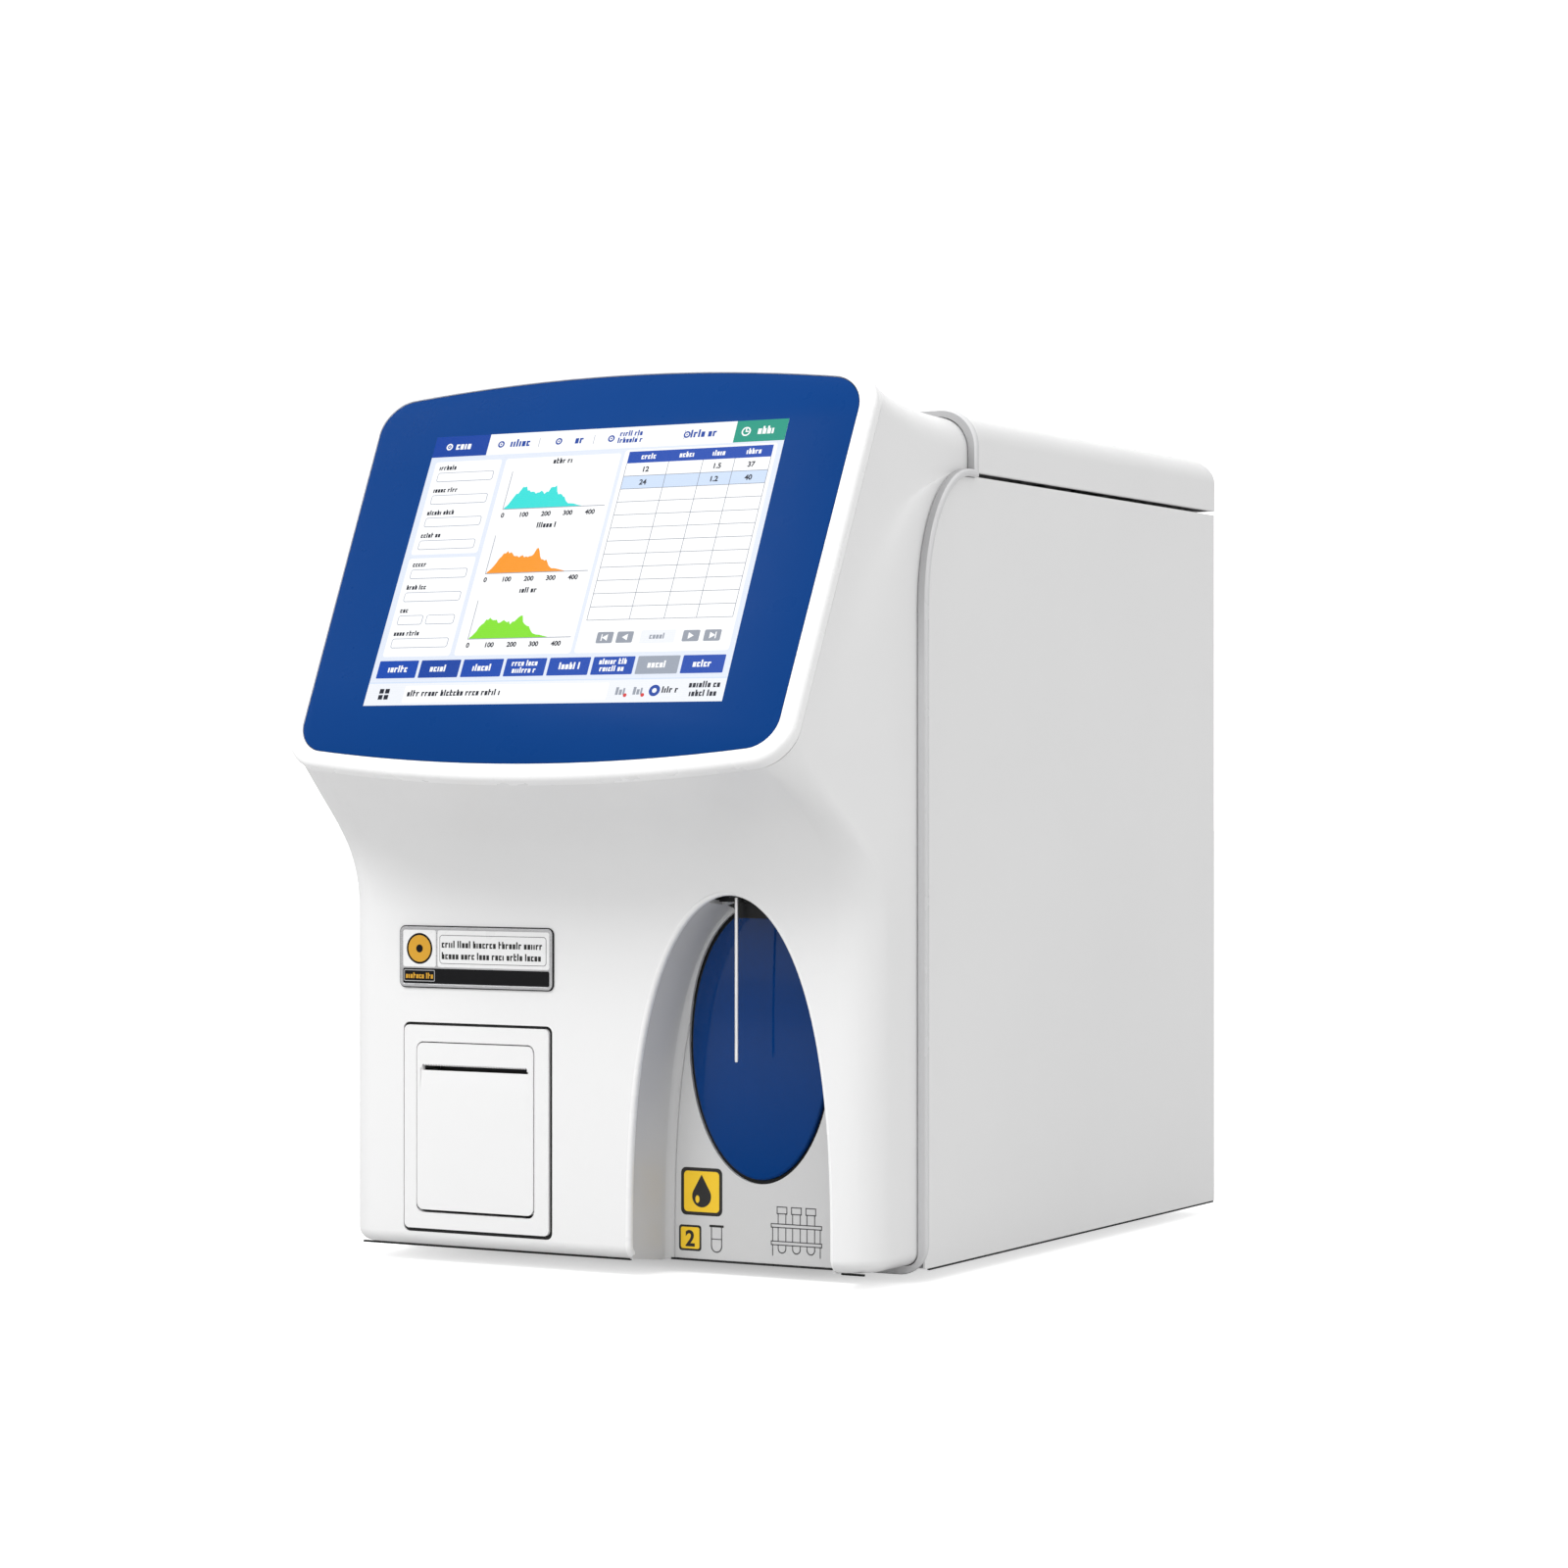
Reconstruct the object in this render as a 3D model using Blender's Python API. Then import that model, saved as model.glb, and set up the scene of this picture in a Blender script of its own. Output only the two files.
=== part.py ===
"""Bench-top veterinary hematology analyzer, modelled piece by piece.

X runs to the right, Y to the back, Z up, in metres.  The pieces are laid out
in a drawing frame whose Z = 0 is the underside of the sheet-metal body, and
at the end the whole model is moved so that its origin is the centre of its
footprint at the level of its feet.
"""
import math

import bmesh
import bpy
from mathutils import Matrix, Vector

# ---------------------------------------------------------------- dimensions
Y_SHIFT = -0.1657          # drawing frame -> centre of the footprint
Z_SHIFT = 0.0070           # drawing frame -> level of the feet
GAP = 0.0003               # clearance between neighbouring pieces

# front casing
HALF_W = 0.1575            # half width at the rim
FRONT_Y = -0.0132          # lower front plane
CASE_BOTTOM = 0.0020
CORNER_R = 0.020           # vertical front corners
BOTTOM_R = 0.007           # bottom edge
FLARE_Z = 0.175            # where the plane starts to sweep forward
WALL = 0.003
HEAD_TOP_RIM = 0.4320      # top of the head where it meets the rim
RIM_TOP_R = 0.018

# slanted display face: u across, v up the slope
TILT = math.radians(25.26)
FACE_Y, FACE_Z = -0.0024, 0.4253
BEZEL_T = 0.008
OUTER = dict(tc=0.0387, tk=0.625, su=0.1522, ss=0.020, bc=-0.1990, bk=0.515, rt=0.017, rb=0.018)
PANEL = dict(tc=0.0310, tk=0.504, su=0.1436, ss=0.0221, bc=-0.1901, bk=0.488, rt=0.017, rb=0.014)
LCD_HALF, LCD_TOP, LCD_BOTTOM = 0.118, 0.010, -0.167

# rim ring between the front casing and the sheet-metal body
RIM_Y = 0.0377             # centre of the lower straight part
RIM_W = 0.0038             # width of the ring seen from the side
RIM_UP_Y = 0.0940          # centre of the part beside the top cover
RIM_ELL_C = (0.0885, 0.333)
RIM_ELL = (0.0506, 0.0695) # centre line of the curved part
RIM_IN = dict(xs=0.1581, zt=0.4323, zb=0.0017, rt=0.0177, rb=0.0066)
RIM_OUT = dict(xs=0.1630, zt=0.4365, zb=-0.0030, rt=0.0205, rb=0.0160)

# sheet-metal body
SIDE_X = 0.160
SHEET = 0.0012
BODY_REAR = 0.4113
PANEL_TOP = 0.4009
COVER_BOTTOM, COVER_TOP = 0.4030, 0.4335
COVER_REAR = 0.4129
COVER_R = 0.014
COVER_WALL = 0.0025

# sampling bay
BAY_X, BAY_HALF, BAY_TOP, BAY_POW = 0.0765, 0.0575, 0.1873, 2.75
BAY_BACK_Y = 0.018
KEY_C = (0.0775, 0.1115)
KEY_A, KEY_B = 0.0395, 0.0690
KEY_FRONT_Y = 0.0160
PROBE = (0.0765, -0.0042)
PROBE_TIP = 0.1036
PROBE_R = 0.0009
LIFT = 0.080

# printer
PR_X = (-0.1186, -0.0291)
PR_Z = (0.0112, 0.1173)
DOOR_X = (-0.1104, -0.0383)
DOOR_Z = (0.0211, 0.1082)
DOOR_Y = (-0.0143, -0.0113)
DOOR_AXIS = (-0.0127, 0.0227)
SLOT_Z = (0.0938, 0.0963)
SLOT_X = (-0.1072, -0.0420)

# rear hinge line of the top cover
HINGE = (0.4155, 0.4020)

# ------------------------------------------------------------------- helpers
for _o in list(bpy.data.objects):
    bpy.data.objects.remove(_o, do_unlink=True)

SINT, COST = math.sin(TILT), math.cos(TILT)


def material(name, rgb, rough=0.5, metal=0.0, alpha=1.0):
    m = bpy.data.materials.get(name)
    if m:
        return m
    m = bpy.data.materials.new(name)
    m.use_nodes = True
    b = m.node_tree.nodes["Principled BSDF"]
    b.inputs["Base Color"].default_value = (rgb[0], rgb[1], rgb[2], 1)
    b.inputs["Roughness"].default_value = rough
    b.inputs["Metallic"].default_value = metal
    b.inputs["Alpha"].default_value = alpha
    m.diffuse_color = (rgb[0], rgb[1], rgb[2], 1)
    return m


WHITE = ("white_abs", (0.86, 0.86, 0.85), 0.35, 0.0)
PAINT = ("painted_sheet", (0.74, 0.74, 0.73), 0.45, 0.0)
LINER = ("bay_plastic", (0.62, 0.62, 0.61), 0.45, 0.0)
BLUE = ("blue_key", (0.012, 0.05, 0.20), 0.15, 0.0)
PANELBLUE = ("blue_panel", (0.012, 0.06, 0.24), 0.2, 0.0)
BLACK = ("black_plastic", (0.02, 0.02, 0.02), 0.5, 0.0)
DARK = ("dark_grey", (0.08, 0.08, 0.085), 0.5, 0.0)
STEEL = ("steel", (0.6, 0.6, 0.62), 0.3, 1.0)
ZINC = ("zinc_sheet", (0.55, 0.56, 0.57), 0.4, 1.0)
ALU = ("aluminium", (0.70, 0.71, 0.72), 0.35, 1.0)
RUBBER = ("rubber", (0.02, 0.02, 0.02), 0.8, 0.0)
PAPER = ("paper", (0.85, 0.85, 0.82), 0.8, 0.0)
PCB = ("circuit_board", (0.01, 0.13, 0.05), 0.5, 0.0)
ACRYL = ("acrylic", (0.75, 0.80, 0.82), 0.1, 0.0)
BRASS = ("brass", (0.75, 0.55, 0.22), 0.3, 1.0)


def finish(name, bm, mat, origin=(0, 0, 0), sharp=35.0, recalc=True):
    """Turn a bmesh drawn in drawing coordinates into an object."""
    if recalc:
        bmesh.ops.recalc_face_normals(bm, faces=bm.faces[:])
    o = Vector(origin)
    if o.length:
        bmesh.ops.translate(bm, verts=bm.verts[:], vec=-o)
    me = bpy.data.meshes.new(name)
    bm.to_mesh(me)
    bm.free()
    me.shade_smooth()
    me.set_sharp_from_angle(angle=math.radians(sharp))
    ob = bpy.data.objects.new(name, me)
    ob.location = o
    bpy.context.scene.collection.objects.link(ob)
    if mat:
        me.materials.append(material(*mat))
    return ob


def bm_box(bm, x, y, z, bevel=0.0, seg=1):
    c = ((x[0] + x[1]) / 2, (y[0] + y[1]) / 2, (z[0] + z[1]) / 2)
    s = (x[1] - x[0], y[1] - y[0], z[1] - z[0])
    r = bmesh.ops.create_cube(bm, size=1.0, matrix=Matrix.Translation(c) @ Matrix.Diagonal((*s, 1)))
    if bevel:
        e = list({e for v in r["verts"] for e in v.link_edges})
        bmesh.ops.bevel(bm, geom=e, offset=bevel, segments=seg, affect="EDGES", profile=0.5)


def box(name, mat, x, y, z, bevel=0.0, origin=(0, 0, 0), seg=1):
    bm = bmesh.new()
    bm_box(bm, x, y, z, bevel, seg)
    return finish(name, bm, mat, origin)


def axis_point(axis, c, r, a, h):
    """Point at radius r, angle a round the axis, h along it from centre c."""
    if axis == "X":
        return (c[0] + h, c[1] + r * math.cos(a), c[2] + r * math.sin(a))
    if axis == "Y":
        return (c[0] + r * math.cos(a), c[1] + h, c[2] + r * math.sin(a))
    return (c[0] + r * math.cos(a), c[1] + r * math.sin(a), c[2] + h)


def bm_lathe(bm, axis, c, profile, seg):
    """Turn a profile of (radius, height) points; closed if no radius is 0."""
    rings = []
    for r, h in profile:
        if r < 1e-7:
            rings.append([bm.verts.new(axis_point(axis, c, 0, 0, h))])
        else:
            rings.append([bm.verts.new(axis_point(axis, c, r, 2 * math.pi * k / seg, h)) for k in range(seg)])
    n = len(rings)
    pairs = [(i, i + 1) for i in range(n - 1)]
    if len(rings[0]) > 1 and len(rings[-1]) > 1:
        pairs.append((n - 1, 0))
    for i, j in pairs:
        a, b = rings[i], rings[j]
        for k in range(seg):
            l = (k + 1) % seg
            if len(a) == 1 and len(b) > 1:
                bm.faces.new((a[0], b[k], b[l]))
            elif len(b) == 1 and len(a) > 1:
                bm.faces.new((a[k], a[l], b[0]))
            elif len(a) > 1:
                bm.faces.new((a[k], a[l], b[l], b[k]))


def lathe(name, mat, axis, c, profile, seg=24, origin=(0, 0, 0)):
    bm = bmesh.new()
    bm_lathe(bm, axis, c, profile, seg)
    return finish(name, bm, mat, origin)


def rod(name, mat, axis, c, r, h0, h1, seg=16, ch=0.0, origin=(0, 0, 0)):
    p = [(0, h0), (r - ch, h0), (r, h0 + ch), (r, h1 - ch), (r - ch, h1), (0, h1)] if ch else \
        [(0, h0), (r, h0), (r, h1), (0, h1)]
    return lathe(name, mat, axis, c, p, seg, origin)


def bm_rod(bm, axis, c, r, h0, h1, seg=16):
    bm_lathe(bm, axis, c, [(0, h0), (r, h0), (r, h1), (0, h1)], seg)


def bm_prism(bm, loop_a, loop_b):
    """Closed solid between two loops of the same number of points."""
    a = [bm.verts.new(p) for p in loop_a]
    b = [bm.verts.new(p) for p in loop_b]
    n = len(a)
    for k in range(n):
        l = (k + 1) % n
        bm.faces.new((a[k], a[l], b[l], b[k]))
    bm.faces.new(a[::-1])
    bm.faces.new(b)


def rounded_rect(x, z, r, n=4):
    pts = []
    for cx, cz, a0 in ((x[1] - r, z[0] + r, -90), (x[1] - r, z[1] - r, 0),
                       (x[0] + r, z[1] - r, 90), (x[0] + r, z[0] + r, 180)):
        for k in range(n + 1):
            a = math.radians(a0 + 90 * k / n)
            pts.append((cx + r * math.cos(a), cz + r * math.sin(a)))
    return pts


def bm_plate(bm, outline, y0, y1):
    bm_prism(bm, [(p[0], y0, p[1]) for p in outline], [(p[0], y1, p[1]) for p in outline])


def plate(name, mat, outline, y0, y1, origin=(0, 0, 0)):
    bm = bmesh.new()
    bm_plate(bm, outline, y0, y1)
    return finish(name, bm, mat, origin)


CUTTERS = []


def helper(name, bm):
    """A cutting or joining shape: hidden, drawn as a wire."""
    ob = finish(name, bm, None)
    ob.hide_render = True
    ob.display_type = "WIRE"
    CUTTERS.append(ob)
    return ob


def boolean(ob, other, op="DIFFERENCE"):
    m = ob.modifiers.new(op.title(), "BOOLEAN")
    m.operation = op
    m.solver = "EXACT"
    m.use_self = op == "UNION"
    m.object = other
    return m


def lerp(a, b, t):
    return a + (b - a) * t


def hermite(p0, t0, p1, t1, s):
    p0, t0, p1, t1 = map(Vector, (p0, t0, p1, t1))
    s2, s3 = s * s, s * s * s
    return (2 * s3 - 3 * s2 + 1) * p0 + (s3 - 2 * s2 + s) * t0 + (3 * s2 - 2 * s3) * p1 + (s3 - s2) * t1


# -------------------------------------------------- slanted face and outlines
def slant(u, v, off=0.0):
    """Point on the display face; off is outward from it."""
    return Vector((u, FACE_Y + v * SINT - off * COST, FACE_Z + v * COST + off * SINT))


FACE_N = Vector((0, -COST, SINT))


def bezier(p0, p1, p2, p3, t):
    s = 1 - t
    return tuple(s ** 3 * a + 3 * s * s * t * b + 3 * s * t * t * c + t ** 3 * d for a, b, c, d in zip(p0, p1, p2, p3))


def crowned(d, inset=0.0, n_side=7, n_cor=5, n_long=12):
    """Outline with bowed top and bottom and leaning sides, as (u, v) points.

    It starts at the lower end of the left side and runs up the left side,
    along the top, down the right side and back along the bottom.
    """
    tc, bc, su = d["tc"] - inset, d["bc"] + inset, d["su"] - inset
    rt, rb = d["rt"] - inset, d["rb"] - inset
    top = lambda u: tc - d["tk"] * u * u
    bot = lambda u: bc + d["bk"] * u * u
    side = lambda v: su + d["ss"] * v
    vt = vb = 0.0
    for _ in range(12):
        vt = top(side(vt))
        vb = bot(side(vb))
    k = 0.5523

    def arc(a, c, b):
        m1 = tuple(lerp(p, q, k) for p, q in zip(a, c))
        m2 = tuple(lerp(p, q, k) for p, q in zip(b, c))
        return [bezier(a, m1, m2, b, i / n_cor) for i in range(n_cor + 1)]

    sl = (side(vb + rb), vb + rb)
    st = (side(vt - rt), vt - rt)
    ut, ub = side(vt) - rt, side(vb) - rb
    right_top = arc(st, (side(vt), vt), (ut, top(ut)))
    right_bot = arc(sl, (side(vb), vb), (ub, bot(ub)))
    pts = [(-side(v), v) for v in (lerp(sl[1], st[1], i / n_side) for i in range(n_side))]
    pts += [(-u, v) for u, v in right_top]
    pts += [(u, top(u)) for u in (lerp(-ut, ut, i / n_long) for i in range(1, n_long))]
    pts += right_top[::-1]
    pts += [(side(v), v) for v in (lerp(st[1], sl[1], i / n_side) for i in range(1, n_side))]
    pts += right_bot
    pts += [(u, bot(u)) for u in (lerp(ub, -ub, i / n_long) for i in range(1, n_long))]
    pts += [(-u, v) for u, v in right_bot[::-1]][:-1]
    return pts


# --------------------------------------------------------------- front casing
N_SIDE, N_COR, N_LONG, N_HS = 4, 4, 8, 7


def casing_section(z, inset):
    """Plan section of the lower casing, from the left rim edge round to the right."""
    xs, yf, r = HALF_W - inset, FRONT_Y + inset, CORNER_R - inset
    left = [Vector((-xs, lerp(RIM_Y, yf + r, i / N_SIDE), z)) for i in range(N_SIDE)]
    left += [Vector((-xs + r - r * math.cos(a), yf + r - r * math.sin(a), z))
             for a in (math.pi / 2 * j / N_COR for j in range(N_COR + 1))]
    front = [Vector((lerp(-xs + r, xs - r, k / N_LONG), yf, z)) for k in range(1, N_LONG)]
    right = [Vector((-p.x, p.y, p.z)) for p in left[::-1]]
    return left + front + right


def rim_side_points():
    """Centre line of the rim on the right side, upward from the display's foot."""
    a = crown_off[0]
    pts = [(RIM_Y, a.z), (RIM_Y, RIM_ELL_C[1])]
    for k in range(1, 5):
        f = math.pi / 2 * k / 4
        pts.append((RIM_ELL_C[0] - RIM_ELL[0] * math.cos(f), RIM_ELL_C[1] + RIM_ELL[1] * math.sin(f)))
    pts.append((RIM_UP_Y, RIM_ELL_C[1] + RIM_ELL[1]))
    pts.append((RIM_UP_Y, HEAD_TOP_RIM - RIM_TOP_R))
    return pts


crown = crowned(OUTER, 0.0006, N_HS, N_COR, N_LONG)
crown_off = [slant(u, v, -BEZEL_T - GAP) for u, v in crown]
N_UP = N_HS + N_COR + N_LONG + N_COR + N_HS       # segments of the upper strip
upper = crown_off[:N_UP + 1]
lower = crown_off[N_UP:] + [crown_off[0]]
lower = lower[::-1]                               # left to right


def side_line(i):
    """Edge between the lower and the upper casing, from the rim to the bezel."""
    a = crown_off[0]
    r = Vector((-HALF_W, RIM_Y, a.z))
    d = (a - r).length
    return hermite(r, (0, -d, 0), a, FACE_N * d, i / N_SIDE)


def make_casing():
    bm = bmesh.new()
    rows = []
    for k in range(4):
        a = math.pi / 2 * k / 3
        rows.append(casing_section(CASE_BOTTOM + BOTTOM_R * (1 - math.cos(a)), BOTTOM_R * (1 - math.sin(a))))
    for z in (0.06, 0.12, FLARE_Z):
        rows.append(casing_section(z, 0.0))
    base = rows[-1]
    side = [side_line(i) for i in range(N_SIDE)]
    top = side + lower + [Vector((-p.x, p.y, p.z)) for p in side[::-1]]
    n = len(top)
    for s in range(1, 9):
        t = s / 8
        row = []
        for i in range(n):
            j = min(i, n - 1 - i)
            p0, p1 = base[i], top[i]
            rise = p1.z - p0.z
            lean = Vector((0, -0.45, 0.89))
            if j < N_SIDE:
                f = j / N_SIDE
                t0 = Vector((0, 0, lerp(rise, 0.12, f)))
                t1 = Vector((0, 0, rise)).lerp(lean * 0.13, f)
            else:
                t0 = Vector((0, 0, 0.12))
                t1 = lean.lerp(FACE_N, min(1.0, (j - N_SIDE) / N_COR)).normalized() * 0.13
            row.append(hermite(p0, t0, p1, t1, t))
        rows.append(row)
    grid = [[bm.verts.new(p) for p in row] for row in rows]
    for a, b in zip(grid, grid[1:]):
        for i in range(n - 1):
            bm.faces.new((a[i], a[i + 1], b[i + 1], b[i]))
    bm.faces.new(grid[0])
    # upper strip, from the bezel back to the rim
    sp = rim_side_points()
    rim = [Vector((-HALF_W, y, z)) for y, z in sp[:-1]]
    rim += [Vector((-HALF_W + RIM_TOP_R * (1 - math.cos(a)), RIM_UP_Y, HEAD_TOP_RIM - RIM_TOP_R * (1 - math.sin(a))))
            for a in (math.pi / 2 * j / N_COR for j in range(N_COR + 1))]
    rim += [Vector((lerp(-HALF_W + RIM_TOP_R, HALF_W - RIM_TOP_R, k / N_LONG), RIM_UP_Y, HEAD_TOP_RIM))
            for k in range(1, N_LONG)]
    rim += [Vector((-p.x, p.y, p.z)) for p in rim[:len(sp) - 1 + N_COR + 1][::-1]]
    strip = []
    for w in range(N_SIDE + 1):
        t = w / N_SIDE
        row = []
        for i, (b, r) in enumerate(zip(upper, rim)):
            d = (r - b).length
            j = min(i, len(rim) - 1 - i)
            if j == 0:
                p = hermite(r, (0, -d, 0), b, FACE_N * d, 1 - t)
            else:
                p = hermite(b, -FACE_N * d * 0.9, r, (0, d, 0), t)
            row.append(p)
        strip.append([bm.verts.new(p) for p in row])
    for a, b in zip(strip, strip[1:]):
        for i in range(len(a) - 1):
            bm.faces.new((a[i], a[i + 1], b[i + 1], b[i]))
    bmesh.ops.remove_doubles(bm, verts=bm.verts[:], dist=2e-5)
    bmesh.ops.recalc_face_normals(bm, faces=bm.faces[:])
    f = min(bm.faces, key=lambda q: (q.calc_center_median() - Vector((0, FRONT_Y, 0.09))).length)
    if f.normal.y > 0:
        bmesh.ops.reverse_faces(bm, faces=bm.faces[:])
    ob = finish("front_casing", bm, WHITE, recalc=False)
    s = ob.modifiers.new("Wall", "SOLIDIFY")
    s.thickness = WALL
    s.offset = -1
    s.use_even_offset = True
    return ob


def bay_half(z):
    return BAY_HALF * math.sqrt(max(0.0, 1 - (max(z, 0.0) / BAY_TOP) ** BAY_POW))


def bay_outline(scale_w=1.0, top=BAY_TOP, foot=-0.010, grow=0.0, n=16):
    """Arch outline (x, z), from the left foot over the top to the right foot."""
    half = []
    for k in range(n + 1):
        a = math.pi / 2 * k / n
        z = top * math.sin(a) ** (2 / BAY_POW) if k else 0.0
        w = BAY_HALF * scale_w * math.sqrt(max(0.0, 1 - (z / top) ** BAY_POW))
        half.append((w, z))
    half = [(half[0][0], foot)] + half[1:]
    half = [(w + grow * (1 if i < n else 0), z + (grow if i >= n else grow * (z / top) ** 3)) for i, (w, z) in enumerate(half)]
    left = [(BAY_X - w, z) for w, z in half]
    return left + [(BAY_X + w, z) for w, z in half[:-1][::-1]]


casing = make_casing()
bm = bmesh.new()
bm_plate(bm, bay_outline(), -0.060, FRONT_Y + WALL + 0.0004)
boolean(casing, helper("cut_bay_front", bm))
bm = bmesh.new()
bm_box(bm, (BAY_X - 0.0605, BAY_X + 0.0605), (FRONT_Y + 0.0025, 0.0215), (-0.010, 0.0100))
boolean(casing, helper("cut_bay_floor", bm))
bm = bmesh.new()
bm_plate(bm, rounded_rect((PR_X[0] - 0.0009, PR_X[1] + 0.0014), (PR_Z[0] - 0.0013, PR_Z[1] + 0.0009), 0.003), -0.05, 0.010)
boolean(casing, helper("cut_printer", bm))


# ------------------------------------------------------------------- rim ring
def make_rim():
    w = RIM_W / 2
    # side path (y, z) upward on the right side
    path = [(RIM_Y, 0.10), (RIM_Y, 0.22), (RIM_Y, RIM_ELL_C[1])]
    for k in range(1, 7):
        f = math.pi / 2 * k / 6
        path.append((RIM_ELL_C[0] - RIM_ELL[0] * math.cos(f), RIM_ELL_C[1] + RIM_ELL[1] * math.sin(f)))
    path.append((RIM_UP_Y, RIM_ELL_C[1] + RIM_ELL[1]))
    n = len(path)
    side = []
    for i in range(n):
        p = Vector(path[i])
        a = (p - Vector(path[i - 1])).normalized() if i else Vector((0, 1))
        b = (Vector(path[i + 1]) - p).normalized() if i < n - 1 else Vector((0, 1))
        t = (a + b).normalized()
        m = Vector((-t.y, t.x)) * (w / max(0.5, a.dot(t)))
        side.append((p, m))
    def corner(d, top, k, cnt=5):
        a = math.pi / 2 * k / cnt
        if top:
            return d["xs"] - d["rt"] + d["rt"] * math.cos(a), d["zt"] - d["rt"] + d["rt"] * math.sin(a)
        return d["xs"] - d["rb"] + d["rb"] * math.sin(a), d["zb"] + d["rb"] - d["rb"] * math.cos(a)
    right = []          # each: inner front, outer front, outer rear, inner rear
    for k in range(6):
        xi, zi = corner(RIM_IN, False, k)
        xo, zo = corner(RIM_OUT, False, k)
        right.append(((xi, RIM_Y - w, zi), (xo, RIM_Y - w, zo), (xo, RIM_Y + w, zo), (xi, RIM_Y + w, zi)))
    for p, m in side:
        f, r = p + m, p - m
        right.append(((RIM_IN["xs"], f.x, f.y), (RIM_OUT["xs"], f.x, f.y), (RIM_OUT["xs"], r.x, r.y), (RIM_IN["xs"], r.x, r.y)))
    for k in range(6):
        xi, zi = corner(RIM_IN, True, k)
        xo, zo = corner(RIM_OUT, True, k)
        right.append(((xi, RIM_UP_Y - w, zi), (xo, RIM_UP_Y - w, zo), (xo, RIM_UP_Y + w, zo), (xi, RIM_UP_Y + w, zi)))
    loops = right + [tuple((-x, y, z) for x, y, z in s) for s in right[::-1]]
    bm = bmesh.new()
    vs = [[bm.verts.new(p) for p in s] for s in loops]
    m = len(vs)
    for i in range(m):
        a, b = vs[i], vs[(i + 1) % m]
        for k in range(4):
            l = (k + 1) % 4
            bm.faces.new((a[k], a[l], b[l], b[k]))
    return finish("rim_trim", bm, WHITE, sharp=40)


make_rim()


# ------------------------------------------------------ bezel, panel, display
def make_bezel():
    rows = [(OUTER, 0.0, -BEZEL_T), (OUTER, 0.0, -0.0025), (OUTER, 0.0010, -0.0005), (OUTER, 0.0030, 0.0),
            (PANEL, -0.0002, 0.0), (PANEL, -0.0002, -BEZEL_T)]
    bm = bmesh.new()
    vs = [[bm.verts.new(slant(u, v, off)) for u, v in crowned(d, ins, 5, 4, 8)] for d, ins, off in rows]
    n = len(vs[0])
    for i in range(len(vs)):
        a, b = vs[i], vs[(i + 1) % len(vs)]
        for k in range(n):
            l = (k + 1) % n
            bm.faces.new((a[k], a[l], b[l], b[k]))
    return finish("display_bezel", bm, WHITE)


make_bezel()
bm = bmesh.new()
out = crowned(PANEL, 0.0002, 5, 4, 8)
bm_prism(bm, [slant(u, v, -0.0036) for u, v in out], [slant(u, v, -0.0004) for u, v in out])
finish("touch_panel", bm, PANELBLUE)
bm = bmesh.new()
loop = [(-LCD_HALF, LCD_BOTTOM), (LCD_HALF, LCD_BOTTOM), (LCD_HALF, LCD_TOP), (-LCD_HALF, LCD_TOP)]
bm_prism(bm, [slant(u, v, -0.0135) for u, v in loop], [slant(u, v, -0.0040) for u, v in loop])
finish("lcd_module", bm, DARK)


# --------------------------------------------------------------- sampling bay
def make_liner():
    t = 0.0018
    rows = []
    for y, sw, top in ((FRONT_Y + WALL + GAP + 0.0002, 1.005, BAY_TOP + 0.0003), (BAY_BACK_Y, 0.905, 0.1842)):
        rows.append([(x, y, z) for x, z in bay_outline(sw, top, -0.0010)])
    bm = bmesh.new()
    a = [bm.verts.new(p) for p in rows[0]]
    b = [bm.verts.new(p) for p in rows[1]]
    for k in range(len(a) - 1):
        bm.faces.new((a[k], a[k + 1], b[k + 1], b[k]))
    bm.faces.new(b)
    bmesh.ops.recalc_face_normals(bm, faces=bm.faces[:])
    back = max(bm.faces, key=lambda q: len(q.verts))
    if back.normal.y > 0:
        bmesh.ops.reverse_faces(bm, faces=bm.faces[:])
    ob = finish("sampling_bay_liner", bm, LINER, recalc=False)
    s = ob.modifiers.new("Wall", "SOLIDIFY")
    s.thickness = t
    s.offset = -1
    s.use_even_offset = True
    return ob


def ellipse(a, b, n=40, c=KEY_C):
    return [(c[0] + a * math.cos(2 * math.pi * k / n), c[1] + b * math.sin(2 * math.pi * k / n)) for k in range(n)]


liner = make_liner()
bm = bmesh.new()
bm_plate(bm, ellipse(KEY_A + 0.0012, KEY_B + 0.0012), 0.010, 0.030)
boolean(liner, helper("cut_key", bm))
bm = bmesh.new()
bm_box(bm, (PROBE[0] - 0.0135, PROBE[0] + 0.0135), (PROBE[1] - 0.0045, PROBE[1] + 0.0095), (0.150, 0.200))
boolean(liner, helper("cut_wash", bm))

# aspirate key: a domed oval plate with a plunger behind it
bm = bmesh.new()
rings = [(1.0, 0.0245), (1.0, 0.0185), (0.985, 0.0170), (0.90, 0.0162), (0.55, 0.0156)]
vs = [[bm.verts.new((x, y, z)) for x, z in ellipse(KEY_A * s, KEY_B * s)] for s, y in rings]
for a, b in zip(vs, vs[1:]):
    for k in range(40):
        l = (k + 1) % 40
        bm.faces.new((a[k], a[l], b[l], b[k]))
bm.faces.new(vs[0])
bm.faces.new(vs[-1])
key = finish("aspirate_key", bm, BLUE, origin=(KEY_C[0], 0.020, KEY_C[1]))
box("key_switch", BLACK, (KEY_C[0] - 0.010, KEY_C[0] + 0.010), (0.0280, 0.0340), (KEY_C[1] - 0.006, KEY_C[1] + 0.006), 0.0008)

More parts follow.
